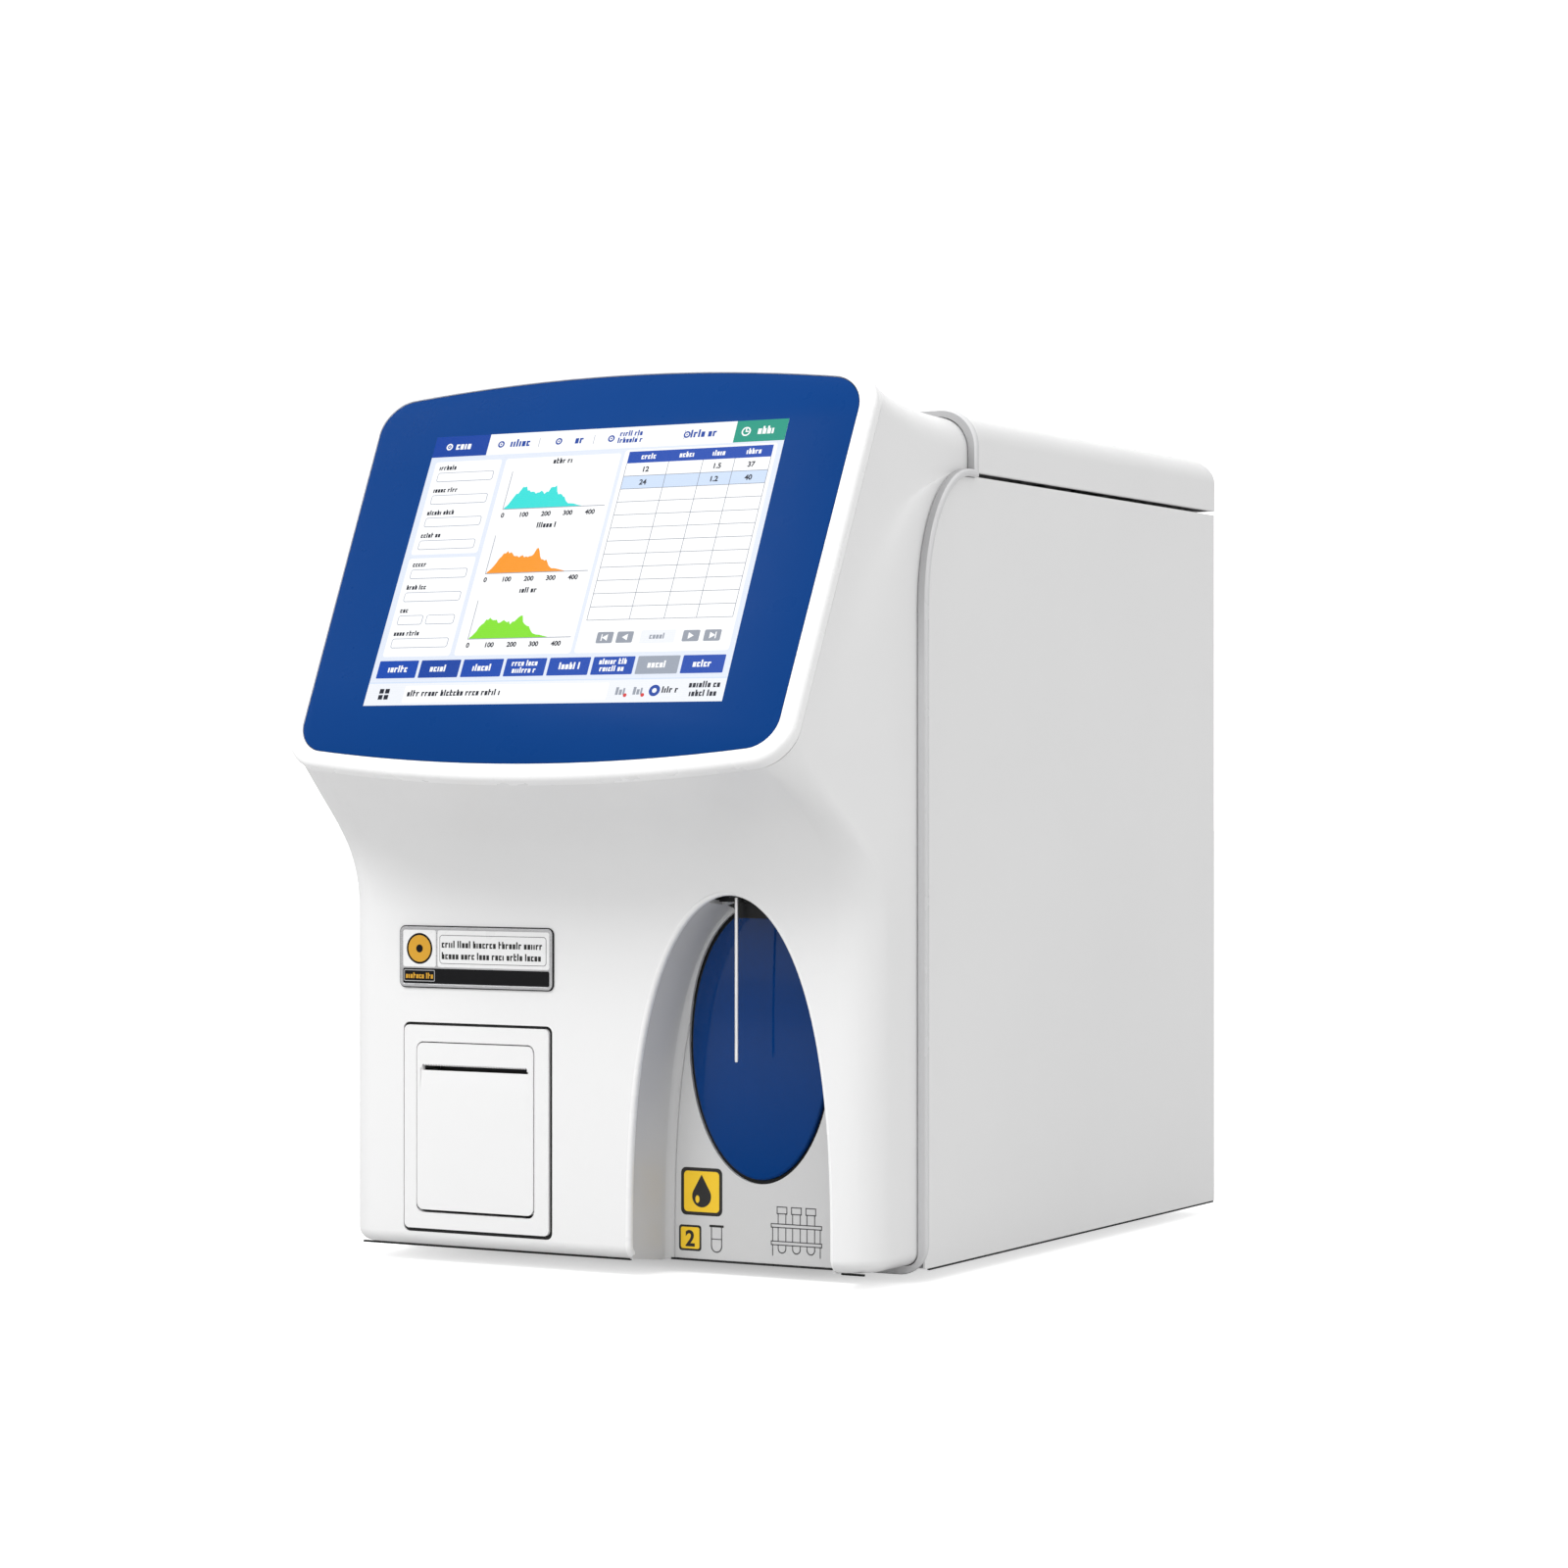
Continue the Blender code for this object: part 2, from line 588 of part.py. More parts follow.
# probe, wash block and lift
bm = bmesh.new()
wz = (0.1862, 0.2060)
bm_lathe(bm, "Z", (PROBE[0], PROBE[1], 0), [(0.0015, wz[0]), (0.0036, wz[0]), (0.0042, wz[0] + 0.001), (0.0042, wz[1]), (0.0015, wz[1])], 12)
wash = finish("wash_block", bm, BLACK)
bm = bmesh.new()
bm_box(bm, (PROBE[0] - 0.0125, PROBE[0] + 0.0125), (PROBE[1] - 0.0040, PROBE[1] + 0.0088), (0.1865, 0.2000))
u = helper("join_wash", bm)
boolean(wash, u, "UNION")
# dark shroud that hangs behind the probe, under the roof of the bay
bm = bmesh.new()
bm_box(bm, (PROBE[0] - 0.0118, PROBE[0] + 0.0123), (-0.0010, 0.0044), (0.1838, 0.1880))
boolean(wash, helper("join_wash_drop", bm), "UNION")
shroud = [(-0.0025, 0.1757), (0.0174, 0.1757), (0.0150, 0.1780), (0.0100, 0.1811), (0.0050, 0.1830), (0.0, 0.1836),
          (-0.0040, 0.1832), (-0.0080, 0.1820), (-0.0045, 0.1808), (-0.0030, 0.1785)]
bm = bmesh.new()
bm_plate(bm, [(PROBE[0] + dx, z) for dx, z in shroud], 0.0006, 0.0146)
boolean(wash, helper("join_wash_shroud", bm), "UNION")
bm = bmesh.new()
bm_box(bm, (PROBE[0] - 0.0030, PROBE[0] + 0.0060), (0.0010, 0.0040), (0.1800, 0.1890))
boolean(wash, helper("join_wash_neck", bm), "UNION")
bm = bmesh.new()
bm_rod(bm, "Z", (PROBE[0], PROBE[1], 0), 0.0015, 0.170, 0.220, 12)
boolean(wash, helper("cut_wash_bore", bm))

lathe("sample_probe", STEEL, "Z", (PROBE[0], PROBE[1], 0),
      [(0.0005, PROBE_TIP + 0.004), (0.0005, PROBE_TIP), (0.0007, PROBE_TIP), (PROBE_R, PROBE_TIP + 0.002),
       (PROBE_R, 0.2640), (0.0005, 0.2640)], 12, origin=(PROBE[0], PROBE[1], PROBE_TIP))
CAR_Z = (0.2400, 0.2560)
carriage = box("probe_carriage", DARK, (PROBE[0] - 0.030, PROBE[0] + 0.030), (0.0360, 0.0540), CAR_Z, 0.001,
               origin=(PROBE[0], PROBE[1], CAR_Z[0]))
bm = bmesh.new()
bm_box(bm, (PROBE[0] - 0.006, PROBE[0] + 0.006), (PROBE[1] - 0.006, 0.0400), (CAR_Z[0] + 0.002, CAR_Z[1] - 0.004))
boolean(carriage, helper("join_arm", bm), "UNION")
bm = bmesh.new()
bm_rod(bm, "Z", (PROBE[0], PROBE[1], 0), PROBE_R + GAP, 0.23, 0.27, 12)
for dx, r in ((-0.022, 0.0033), (0.022, 0.0033), (0, 0.0033)):
    bm_rod(bm, "Z", (PROBE[0] + dx, 0.045, 0), r, 0.23, 0.27, 16)
boolean(carriage, helper("cut_carriage", bm))
for tag, dx in (("left", -0.022), ("right", 0.022)):
    rod("guide_rod_" + tag, STEEL, "Z", (PROBE[0] + dx, 0.045, 0), 0.003, 0.1966, 0.3694, 16, 0.0004)
lathe("lead_screw", STEEL, "Z", (PROBE[0], 0.045, 0),
      [(0, 0.1975), (0.0030, 0.1975), (0.0030, 0.3655), (0.0024, 0.3665), (0.0024, 0.3765), (0, 0.3765)], 12,
      origin=(PROBE[0], 0.045, 0.1975))
frame = box("lift_frame", ZINC, (PROBE[0] - 0.034, PROBE[0] + 0.034), (0.0340, 0.0640), (0.1930, 0.3730))
bm = bmesh.new()
bm_box(bm, (PROBE[0] - 0.040, PROBE[0] + 0.040), (0.0300, 0.0620), (0.1950, 0.3710))
boolean(frame, helper("cut_lift_frame", bm))
bm = bmesh.new()
for dx in (-0.022, 0.022):
    bm_rod(bm, "Z", (PROBE[0] + dx, 0.045, 0), 0.0034, 0.19, 0.1965, 16)
    bm_rod(bm, "Z", (PROBE[0] + dx, 0.045, 0), 0.0034, 0.3695, 0.38, 16)
bm_rod(bm, "Z", (PROBE[0], 0.045, 0), 0.0034, 0.3695, 0.38, 16)
boolean(frame, helper("cut_lift_frame_holes", bm))
motor = box("lift_motor", BLACK, (PROBE[0] - 0.0175, PROBE[0] + 0.0175), (0.0275, 0.0625), (0.3733, 0.4020), 0.002)
bm = bmesh.new()
bm_rod(bm, "Z", (PROBE[0], 0.045, 0), 0.0028, 0.36, 0.378, 12)
boolean(motor, helper("cut_motor", bm))

# -------------------------------------------------------------------- printer
bm = bmesh.new()
bm_plate(bm, rounded_rect(PR_X, PR_Z, 0.0025, 3), -0.0140, 0.0480)
pf = finish("printer_frame", bm, WHITE)
bm = bmesh.new()
bm_box(bm, (PR_X[0] + 0.003, PR_X[1] - 0.003), (-0.0105, 0.0462), (PR_Z[0] + 0.003, PR_Z[1] - 0.003))
boolean(pf, helper("cut_bucket", bm))
bm = bmesh.new()
bm_plate(bm, rounded_rect((DOOR_X[0] - 0.0006, DOOR_X[1] + 0.0006), (DOOR_Z[0] - 0.0015, DOOR_Z[1] + 0.0006), 0.004, 3), -0.03, -0.009)
boolean(pf, helper("cut_door_opening", bm))
bm = bmesh.new()
bm_rod(bm, "X", (0, DOOR_AXIS[0], DOOR_AXIS[1]), 0.0010, DOOR_X[0] - 0.0030, DOOR_X[1] + 0.0030, 12)
pin_cut = helper("cut_door_pin", bm)
boolean(pf, pin_cut)

door_o = (sum(DOOR_X) / 2, DOOR_AXIS[0], DOOR_AXIS[1])
bm = bmesh.new()
bm_plate(bm, rounded_rect(DOOR_X, DOOR_Z, 0.004, 3), *DOOR_Y)
door = finish("printer_door", bm, WHITE, origin=door_o)
bm = bmesh.new()
for x in ((-0.1085, -0.1068), (-0.0419, -0.0402)):
    bm_box(bm, x, (-0.0125, -0.0028), (0.0840, 0.0925))
boolean(door, helper("join_lugs", bm), "UNION")
bm = bmesh.new()
bm_box(bm, SLOT_X, (-0.02, -0.005), SLOT_Z)
boolean(door, helper("cut_slot", bm))
boolean(door, pin_cut)
bm = bmesh.new()
bm_rod(bm, "X", (0, -0.0062, 0.0882), 0.0013, -0.112, -0.036, 12)
boolean(door, helper("cut_roller_axle", bm))
rod("door_pin", STEEL, "X", (0, DOOR_AXIS[0], DOOR_AXIS[1]), 0.0007, DOOR_X[0] - 0.0026, DOOR_X[1] + 0.0026, 12)
lathe("platen_roller", RUBBER, "X", (0, -0.0062, 0.0882),
      [(0, -0.1083), (0.0010, -0.1083), (0.0010, -0.1060), (0.0045, -0.1060), (0.0045, -0.0427), (0.0010, -0.0427),
       (0.0010, -0.0404), (0, -0.0404)], 16, origin=(sum(DOOR_X) / 2, -0.0062, 0.0882))
box("print_head", BLACK, (-0.1050, -0.0435), (-0.0013, 0.0060), (0.0800, 0.1080), 0.0006)
ROLL = (0.0180, 0.0520)
lathe("paper_roll", PAPER, "X", (0, ROLL[0], ROLL[1]),
      [(0.0062, -0.1020), (0.0240, -0.1020), (0.0240, -0.0450), (0.0062, -0.0450)], 24, origin=(-0.0735, ROLL[0], ROLL[1]))
rod("paper_spindle", BLACK, "X", (0, ROLL[0], ROLL[1]), 0.0054, PR_X[0] + 0.0034, PR_X[1] - 0.0034, 16, 0.0005)

# label plate above the printer
plate("label_plate", ALU, rounded_rect((-0.1210, -0.0266), (0.1374, 0.1687), 0.003, 3), -0.0145, FRONT_Y - GAP)

# ----------------------------------------------------------- sheet-metal body
def side_panel(sign, name):
    bm = bmesh.new()
    x0, x1 = SIDE_X - SHEET, SIDE_X
    y0 = RIM_Y + RIM_W / 2 + GAP
    prof = [(y0, 0.0), (BODY_REAR, 0.0), (BODY_REAR, PANEL_TOP), (RIM_UP_Y + RIM_W / 2 + GAP, PANEL_TOP)]
    zc = RIM_ELL_C[1] + RIM_ELL[1] - RIM_W / 2 - GAP
    prof.append((RIM_UP_Y + RIM_W / 2 + GAP, zc))
    for k in range(6, -1, -1):
        f = math.pi / 2 * k / 6
        prof.append((RIM_ELL_C[0] - (RIM_ELL[0] - RIM_W / 2 - GAP) * math.cos(f),
                     RIM_ELL_C[1] + (RIM_ELL[1] - RIM_W / 2 - GAP) * math.sin(f)))
    bm_prism(bm, [(sign * x0, y, z) for y, z in prof], [(sign * x1, y, z) for y, z in prof])
    ob = finish(name, bm, PAINT)
    bm = bmesh.new()
    bm_box(bm, tuple(sorted((sign * (SIDE_X - 0.012), sign * (SIDE_X - 0.0006)))), (BODY_REAR - SHEET, BODY_REAR), (0.0, PANEL_TOP))
    boolean(ob, helper("join_flange_" + name, bm), "UNION")
    return ob


side_panel(-1, "left_side_panel")
side_panel(1, "right_side_panel")

bm = bmesh.new()
r = bmesh.ops.create_cube(bm, size=1.0)
y0 = RIM_UP_Y + RIM_W / 2 + GAP
for v in bm.verts:
    v.co = Vector((SIDE_X * 2 * v.co.x, lerp(y0, COVER_REAR, v.co.y + 0.5), lerp(COVER_BOTTOM, COVER_TOP, v.co.z + 0.5)))
edges = [e for e in bm.edges if (all(v.co.z > 0.42 for v in e.verts) and not all(v.co.y < y0 + 0.01 for v in e.verts))]
bmesh.ops.bevel(bm, geom=list(set(edges)), offset=COVER_R, segments=5, affect="EDGES", profile=0.5)
bmesh.ops.delete(bm, geom=[f for f in bm.faces if f.normal.z < -0.9 or f.normal.y < -0.9], context="FACES")
for v in list(bm.verts):
    if not v.link_faces:
        bm.verts.remove(v)
cover_o = (0, HINGE[0], HINGE[1])
cover = finish("top_cover", bm, PAINT, origin=cover_o, recalc=False)
s = cover.modifiers.new("Wall", "SOLIDIFY")
s.thickness = COVER_WALL
s.offset = -1
s.use_even_offset = True

for tag, cx in (("left", -0.110), ("right", 0.110)):
    h = box("hinge_leaf_" + tag, ZINC, (cx - 0.014, cx + 0.014), (0.4101, 0.4125), (0.3840, 0.4005))
    bm = bmesh.new()
    for a, b in ((-0.014, -0.0065), (0.0065, 0.014)):
        bm_rod(bm, "X", (cx, HINGE[0], HINGE[1]), 0.0024, a, b, 16)
        bm_box(bm, (cx + a, cx + b), (0.4110, 0.4150), (0.3965, 0.4003))
    boolean(h, helper("join_leaf_" + tag, bm), "UNION")
    bm = bmesh.new()
    bm_rod(bm, "X", (cx, HINGE[0], HINGE[1]), 0.0012, -0.0100, 0.0100, 12)
    boolean(h, helper("join_pin_" + tag, bm), "UNION")
    k = lathe("cover_knuckle_" + tag, ZINC, "X", (cx, HINGE[0], HINGE[1]),
              [(0.0015, -0.0062), (0.0024, -0.0062), (0.0024, 0.0062), (0.0015, 0.0062)], 16, origin=(cx, HINGE[0], HINGE[1]))
    bm = bmesh.new()
    bm_box(bm, (cx - 0.0062, cx + 0.0062), (0.4132, 0.4148), (0.4038, 0.4180))
    boolean(k, helper("join_knuckle_" + tag, bm), "UNION")

# rear panel with its cut-outs
FAN = (0.075, 0.315)
rear = box("rear_panel", PAINT, (-0.1582, 0.1582), (0.4083, 0.4098), (0.0021, 0.3995))
bm = bmesh.new()
bm_rod(bm, "Y", (FAN[0], 0.409, FAN[1]), 0.0275, -0.01, 0.01, 24)
bm_box(bm, (-0.1090, -0.0810), (0.40, 0.42), (0.0340, 0.0560))      # inlet
bm_box(bm, (-0.0565, -0.0435), (0.40, 0.42), (0.0340, 0.0560))      # switch
bm_box(bm, (-0.1100, -0.0100), (0.40, 0.42), (0.1900, 0.2160))      # ports
for i in range(3):
    bm_rod(bm, "Y", (0.050 + 0.030 * i, 0.409, 0.060), 0.0045, -0.01, 0.01, 16)
for i in range(7):
    z = 0.110 + 0.009 * i
    bm_box(bm, (0.040, 0.120), (0.40, 0.42), (z, z + 0.004))
boolean(rear, helper("cut_rear", bm))

box("base_plate", ZINC, (-0.1584, 0.1584), (0.0400, 0.4079), (0.0003, 0.0018))
for i, (fx, fy) in enumerate(((-0.120, 0.075), (0.120, 0.075), (-0.120, 0.370), (0.120, 0.370)), 1):
    lathe("foot_%d" % i, RUBBER, "Z", (fx, fy, 0), [(0, -0.0070), (0.0095, -0.0070), (0.0110, -0.0055), (0.0110, 0.0), (0, 0.0)], 24)

# fan
fz = box("fan_frame", BLACK, (FAN[0] - 0.030, FAN[0] + 0.030), (0.3930, 0.4080), (FAN[1] - 0.030, FAN[1] + 0.030), 0.001)
bm = bmesh.new()
bm_rod(bm, "Y", (FAN[0], 0, FAN[1]), 0.0285, 0.39, 0.41, 24)
boolean(fz, helper("cut_fan", bm))
bm = bmesh.new()
bm_rod(bm, "Y", (FAN[0], 0, FAN[1]), 0.0115, 0.4055, 0.4078, 20)
boolean(fz, helper("join_fan_hub", bm), "UNION")
bm = bmesh.new()
bm_box(bm, (FAN[0] - 0.0295, FAN[0] + 0.0295), (0.4056, 0.4077), (FAN[1] - 0.0015, FAN[1] + 0.0015))
boolean(fz, helper("join_fan_arm_a", bm), "UNION")
bm = bmesh.new()
bm_box(bm, (FAN[0] - 0.0015, FAN[0] + 0.0015), (0.4057, 0.4076), (FAN[1] - 0.0295, FAN[1] + 0.0295))
boolean(fz, helper("join_fan_arm_b", bm), "UNION")
fan_o = (FAN[0], 0.3990, FAN[1])
rotor = lathe("fan_rotor", BLACK, "Y", (FAN[0], 0, FAN[1]), [(0, 0.3945), (0.0105, 0.3945), (0.0120, 0.3960), (0.0120, 0.4050), (0, 0.4050)], 20,
              origin=fan_o)
bm = bmesh.new()
for k in range(7):
    a0 = 2 * math.pi * k / 7
    pr = []
    for y, tw in ((0.3955, -0.25), (0.4045, 0.25)):
        for rr, da in ((0.0105, 0.09), (0.0105, -0.09), (0.0270, -0.045), (0.0270, 0.045)):
            a = a0 + tw + da
            pr.append((FAN[0] + rr * math.cos(a), y, FAN[1] + rr * math.sin(a)))
    bm_prism(bm, pr[:4], pr[4:])
bmesh.ops.triangulate(bm, faces=bm.faces[:])
boolean(rotor, helper("join_blades", bm), "UNION")

guard = lathe("fan_guard", STEEL, "Y", (FAN[0], 0, FAN[1]), [(0, 0.4101), (0.0305, 0.4101), (0.0305, 0.4116), (0, 0.4116)], 24)
bm = bmesh.new()
for r0, r1 in ((0.0085, 0.0145), (0.0162, 0.0212), (0.0229, 0.0279)):
    for q in range(4):
        pts = []
        d0, d1 = 0.0012 / r0, 0.0012 / r1
        for k in range(5):
            a = lerp(d0, math.pi / 2 - d0, k / 4) + q * math.pi / 2
            pts.append((FAN[0] + r0 * math.cos(a), FAN[1] + r0 * math.sin(a)))
        for k in range(4, -1, -1):
            a = lerp(d1, math.pi / 2 - d1, k / 4) + q * math.pi / 2
            pts.append((FAN[0] + r1 * math.cos(a), FAN[1] + r1 * math.sin(a)))
        bm_plate(bm, pts, 0.405, 0.415)
boolean(guard, helper("cut_guard", bm))

# mains inlet and switch share one moulded module
inlet = box("power_inlet", BLACK, (-0.1150, -0.0410), (0.4101, 0.4120), (0.0310, 0.0590), 0.0005)
bm = bmesh.new()
bm_box(bm, (-0.1080, -0.0820), (0.3900, 0.4115), (0.0350, 0.0550))
bm_box(bm, (-0.0562, -0.0438), (0.3950, 0.4115), (0.0343, 0.0557))
boolean(inlet, helper("join_inlet", bm), "UNION")
bm = bmesh.new()
bm_box(bm, (-0.1065, -0.0835), (0.3960, 0.42), (0.0370, 0.0530))
bm_box(bm, (-0.0548, -0.0452), (0.3980, 0.42), (0.0357, 0.0543))
boolean(inlet, helper("cut_inlet", bm))
bm = bmesh.new()
for px, pz in ((-0.102, 0.0425), (-0.088, 0.0425), (-0.095, 0.0478)):
    bm_box(bm, (px - 0.0010, px + 0.0010), (0.3950, 0.4050), (pz - 0.0020, pz + 0.0020))
boolean(inlet, helper("join_pins", bm), "UNION")
SWITCH = (0.4095, 0.0450)
bm = bmesh.new()
lp = [(0.4060, 0.0378), (0.4100, 0.0372), (0.4118, 0.0380), (0.4102, 0.0450), (0.4122, 0.0520), (0.4104, 0.0528), (0.4060, 0.0522)]
c, s_ = math.cos(math.radians(-5)), math.sin(math.radians(-5))
lp = [(SWITCH[0] + (y - SWITCH[0]) * c - (z - SWITCH[1]) * s_, SWITCH[1] + (y - SWITCH[0]) * s_ + (z - SWITCH[1]) * c) for y, z in lp]
bm_prism(bm, [(-0.0543, y, z) for y, z in lp], [(-0.0457, y, z) for y, z in lp])
finish("rocker_switch", bm, BLACK, origin=(-0.050, SWITCH[0], SWITCH[1]))

# signal sockets
ports = box("port_block", ZINC, (-0.1130, -0.0070), (0.4101, 0.4116), (0.1870, 0.2190), 0.0004)
bm = bmesh.new()
for x0, x1, z0, z1 in ((-0.1070, -0.0770, 0.1960, 0.2080), (-0.0700, -0.0560, 0.1940, 0.2000), (-0.0700, -0.0560, 0.2040, 0.2100),
                       (-0.0500, -0.0340, 0.1950, 0.2080), (-0.0280, -0.0140, 0.1940, 0.2000), (-0.0280, -0.0140, 0.2040, 0.2100)):
    bm_box(bm, (x0, x1), (0.4000, 0.4110), (z0, z1))
boolean(ports, helper("join_ports", bm), "UNION")
bm = bmesh.new()
for x0, x1, z0, z1 in ((-0.1055, -0.0785, 0.1975, 0.2065), (-0.0690, -0.0570, 0.1950, 0.1990), (-0.0690, -0.0570, 0.2050, 0.2090),
                       (-0.0485, -0.0355, 0.1965, 0.2065), (-0.0270, -0.0150, 0.1950, 0.1990), (-0.0270, -0.0150, 0.2050, 0.2090)):
    bm_box(bm, (x0, x1), (0.4086, 0.42), (z0, z1))
boolean(ports, helper("cut_ports", bm))

for i, nm in enumerate(("waste_port", "diluent_port", "lyse_port")):
    lathe(nm, (STEEL if i else BRASS), "Y", (0.050 + 0.030 * i, 0, 0.060),
          [(0.0012, 0.3990), (0.0042, 0.3990), (0.0042, 0.4101), (0.0065, 0.4101), (0.0065, 0.4120), (0.0030, 0.4128),
           (0.0036, 0.4145), (0.0026, 0.4160), (0.0032, 0.4165), (0.0022, 0.4178), (0.0012, 0.4178)], 12)
for i, (sx, sz) in enumerate(((-0.140, 0.020), (0.140, 0.020)), 1):
    lathe("rear_screw_%d" % i, STEEL, "Y", (sx, 0, sz),
          [(0, 0.4118), (0.0012, 0.4112), (0.0020, 0.4118), (0.0034, 0.4112), (0.0034, 0.4101), (0, 0.4101)], 16)

# ------------------------------------------------------------------ internals
board = box("main_board", PCB, (-0.1350, -0.1334), (0.1100, 0.3700), (0.0900, 0.3600))
bm = bmesh.new()
for y, z, w, h, t in ((0.170, 0.290, 0.040, 0.040, 0.004), (0.250, 0.300, 0.028, 0.060, 0.003), (0.320, 0.250, 0.030, 0.020, 0.012),
                      (0.180, 0.180, 0.050, 0.020, 0.008), (0.270, 0.160, 0.030, 0.030, 0.003)):
    bm_box(bm, (-0.1342, -0.1334 + t), (y - w / 2, y + w / 2), (z - h / 2, z + h / 2))
boolean(board, helper("join_chips", bm), "UNION")
psu = box("power_supply", ZINC, (-0.1450, -0.0450), (0.2700, 0.3750), (0.0021, 0.0600), 0.0008)
bm = bmesh.new()
for i in range(8):
    y = 0.285 + 0.010 * i
    bm_box(bm, (-0.130, -0.060), (y, y + 0.004), (0.0585, 0.0700))
boolean(psu, helper("cut_psu", bm))

for nm, cx in (("wbc_bath", 0.050), ("rbc_bath", 0.103)):
    lathe(nm, ACRYL, "Z", (cx, 0.1270, 0),
          [(0.0020, 0.1400), (0.0050, 0.1400), (0.0050, 0.1500), (0.0140, 0.1620), (0.0140, 0.2050), (0.0115, 0.2050),
           (0.0115, 0.1640), (0.0020, 0.1540)], 16)
br = box("bath_bracket", ZINC, (0.0200, 0.1330), (0.1414, 0.1430), (0.0021, 0.2300))
bm = bmesh.new()
bm_box(bm, (0.0200, 0.1330), (0.1420, 0.1650), (0.0021, 0.0037))
boolean(br, helper("join_bracket_foot", bm), "UNION")

SY = (0.1150, 0.2000)
lathe("syringe_barrel", ACRYL, "Z", (SY[0], SY[1], 0),
      [(0.0066, 0.1000), (0.0095, 0.1000), (0.0095, 0.1600), (0.0035, 0.1630), (0.0035, 0.1700), (0.0012, 0.1700), (0.0012, 0.1580), (0.0066, 0.1560)], 16)
lathe("syringe_plunger", STEEL, "Z", (SY[0], SY[1], 0),
      [(0, 0.0560), (0.0100, 0.0560), (0.0100, 0.0600), (0.0030, 0.0600), (0.0030, 0.1050), (0.0062, 0.1050), (0.0062, 0.1120), (0, 0.1150)], 16,
      origin=(SY[0], SY[1], 0.0560))
sm = box("syringe_motor", BLACK, (SY[0] - 0.0175, SY[0] + 0.0175), (SY[1] - 0.0175, SY[1] + 0.0175), (0.0021, 0.0330), 0.002)
bm = bmesh.new()
bm_rod(bm, "Z", (SY[0], SY[1], 0), 0.0030, 0.030, 0.0555, 16)
boolean(sm, helper("join_motor_nose", bm), "UNION")
sb = box("syringe_bracket", ZINC, (0.0950, 0.1350), (0.2200, 0.2216), (0.0021, 0.1700))
bm = bmesh.new()
bm_box(bm, (0.1020, 0.1280), (0.2105, 0.2208), (0.1200, 0.1500))
bm_box(bm, (0.0950, 0.1350), (0.2208, 0.2450), (0.0021, 0.0037))
boolean(sb, helper("join_syringe_foot", bm), "UNION")

PUMP = (0.0500, 0.0550)
lathe("pump_body", DARK, "Y", (PUMP[0], 0, PUMP[1]),
      [(0, 0.3000), (0.0180, 0.3000), (0.0180, 0.2660), (0.0270, 0.2660), (0.0270, 0.2400), (0.0240, 0.2400), (0.0240, 0.2630), (0, 0.2630)], 24)
pr = lathe("pump_rotor", LINER, "Y", (PUMP[0], 0, PUMP[1]), [(0, 0.2425), (0.0120, 0.2425), (0.0120, 0.2620), (0, 0.2620)], 16,
           origin=(PUMP[0], 0.2500, PUMP[1]))
bm = bmesh.new()
for k in range(3):
    a = 2 * math.pi * k / 3 + 0.3
    bm_rod(bm, "Y", (PUMP[0] + 0.0150 * math.cos(a), 0, PUMP[1] + 0.0150 * math.sin(a)), 0.0050, 0.2445, 0.2600, 10)
boolean(pr, helper("join_rollers", bm), "UNION")
vm = box("valve_manifold", ALU, (-0.0500, 0.0100), (0.1200, 0.1440), (0.0500, 0.0680), 0.0008)
bm = bmesh.new()
for i in range(4):
    bm_rod(bm, "Z", (-0.0425 + 0.015 * i, 0.1320, 0), 0.0062, 0.0670, 0.0980, 12)
boolean(vm, helper("join_valves", bm), "UNION")
bm = bmesh.new()
for x in ((-0.0480, -0.0400), (0.0000, 0.0080)):
    bm_box(bm, x, (0.1250, 0.1390), (0.0021, 0.0510))
boolean(vm, helper("join_manifold_legs", bm), "UNION")

# ----------------------------------------- move the whole model to its origin
shift = Vector((0.0, Y_SHIFT, Z_SHIFT))
for ob in bpy.context.scene.objects:
    if ob.parent is None:
        ob.location = ob.location + shift
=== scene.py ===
"""Looks of the bench-top hematology analyzer: fine surfaces, materials, light and camera."""
import math
import random

import bmesh
import bpy
from mathutils import Matrix, Vector

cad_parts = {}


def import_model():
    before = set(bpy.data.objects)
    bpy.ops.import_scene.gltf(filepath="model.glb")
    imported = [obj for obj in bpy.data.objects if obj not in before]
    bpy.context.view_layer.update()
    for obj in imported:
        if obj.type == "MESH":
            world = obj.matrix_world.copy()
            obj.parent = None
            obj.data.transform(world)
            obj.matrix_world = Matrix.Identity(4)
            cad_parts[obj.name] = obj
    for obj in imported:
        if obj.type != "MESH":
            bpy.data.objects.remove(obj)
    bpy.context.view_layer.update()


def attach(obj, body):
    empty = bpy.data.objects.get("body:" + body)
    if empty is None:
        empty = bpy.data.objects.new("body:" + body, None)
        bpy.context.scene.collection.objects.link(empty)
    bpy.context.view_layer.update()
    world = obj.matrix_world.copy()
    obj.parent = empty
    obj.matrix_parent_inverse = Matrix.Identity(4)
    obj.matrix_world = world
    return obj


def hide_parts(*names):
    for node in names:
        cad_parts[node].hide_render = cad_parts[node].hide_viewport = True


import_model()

# The pieces are drawn in a frame whose Z = 0 is the underside of the sheet-metal
# body, and moved by this shift into the model's own frame.
SHIFT = Vector((0.0, -0.1657, 0.0070))

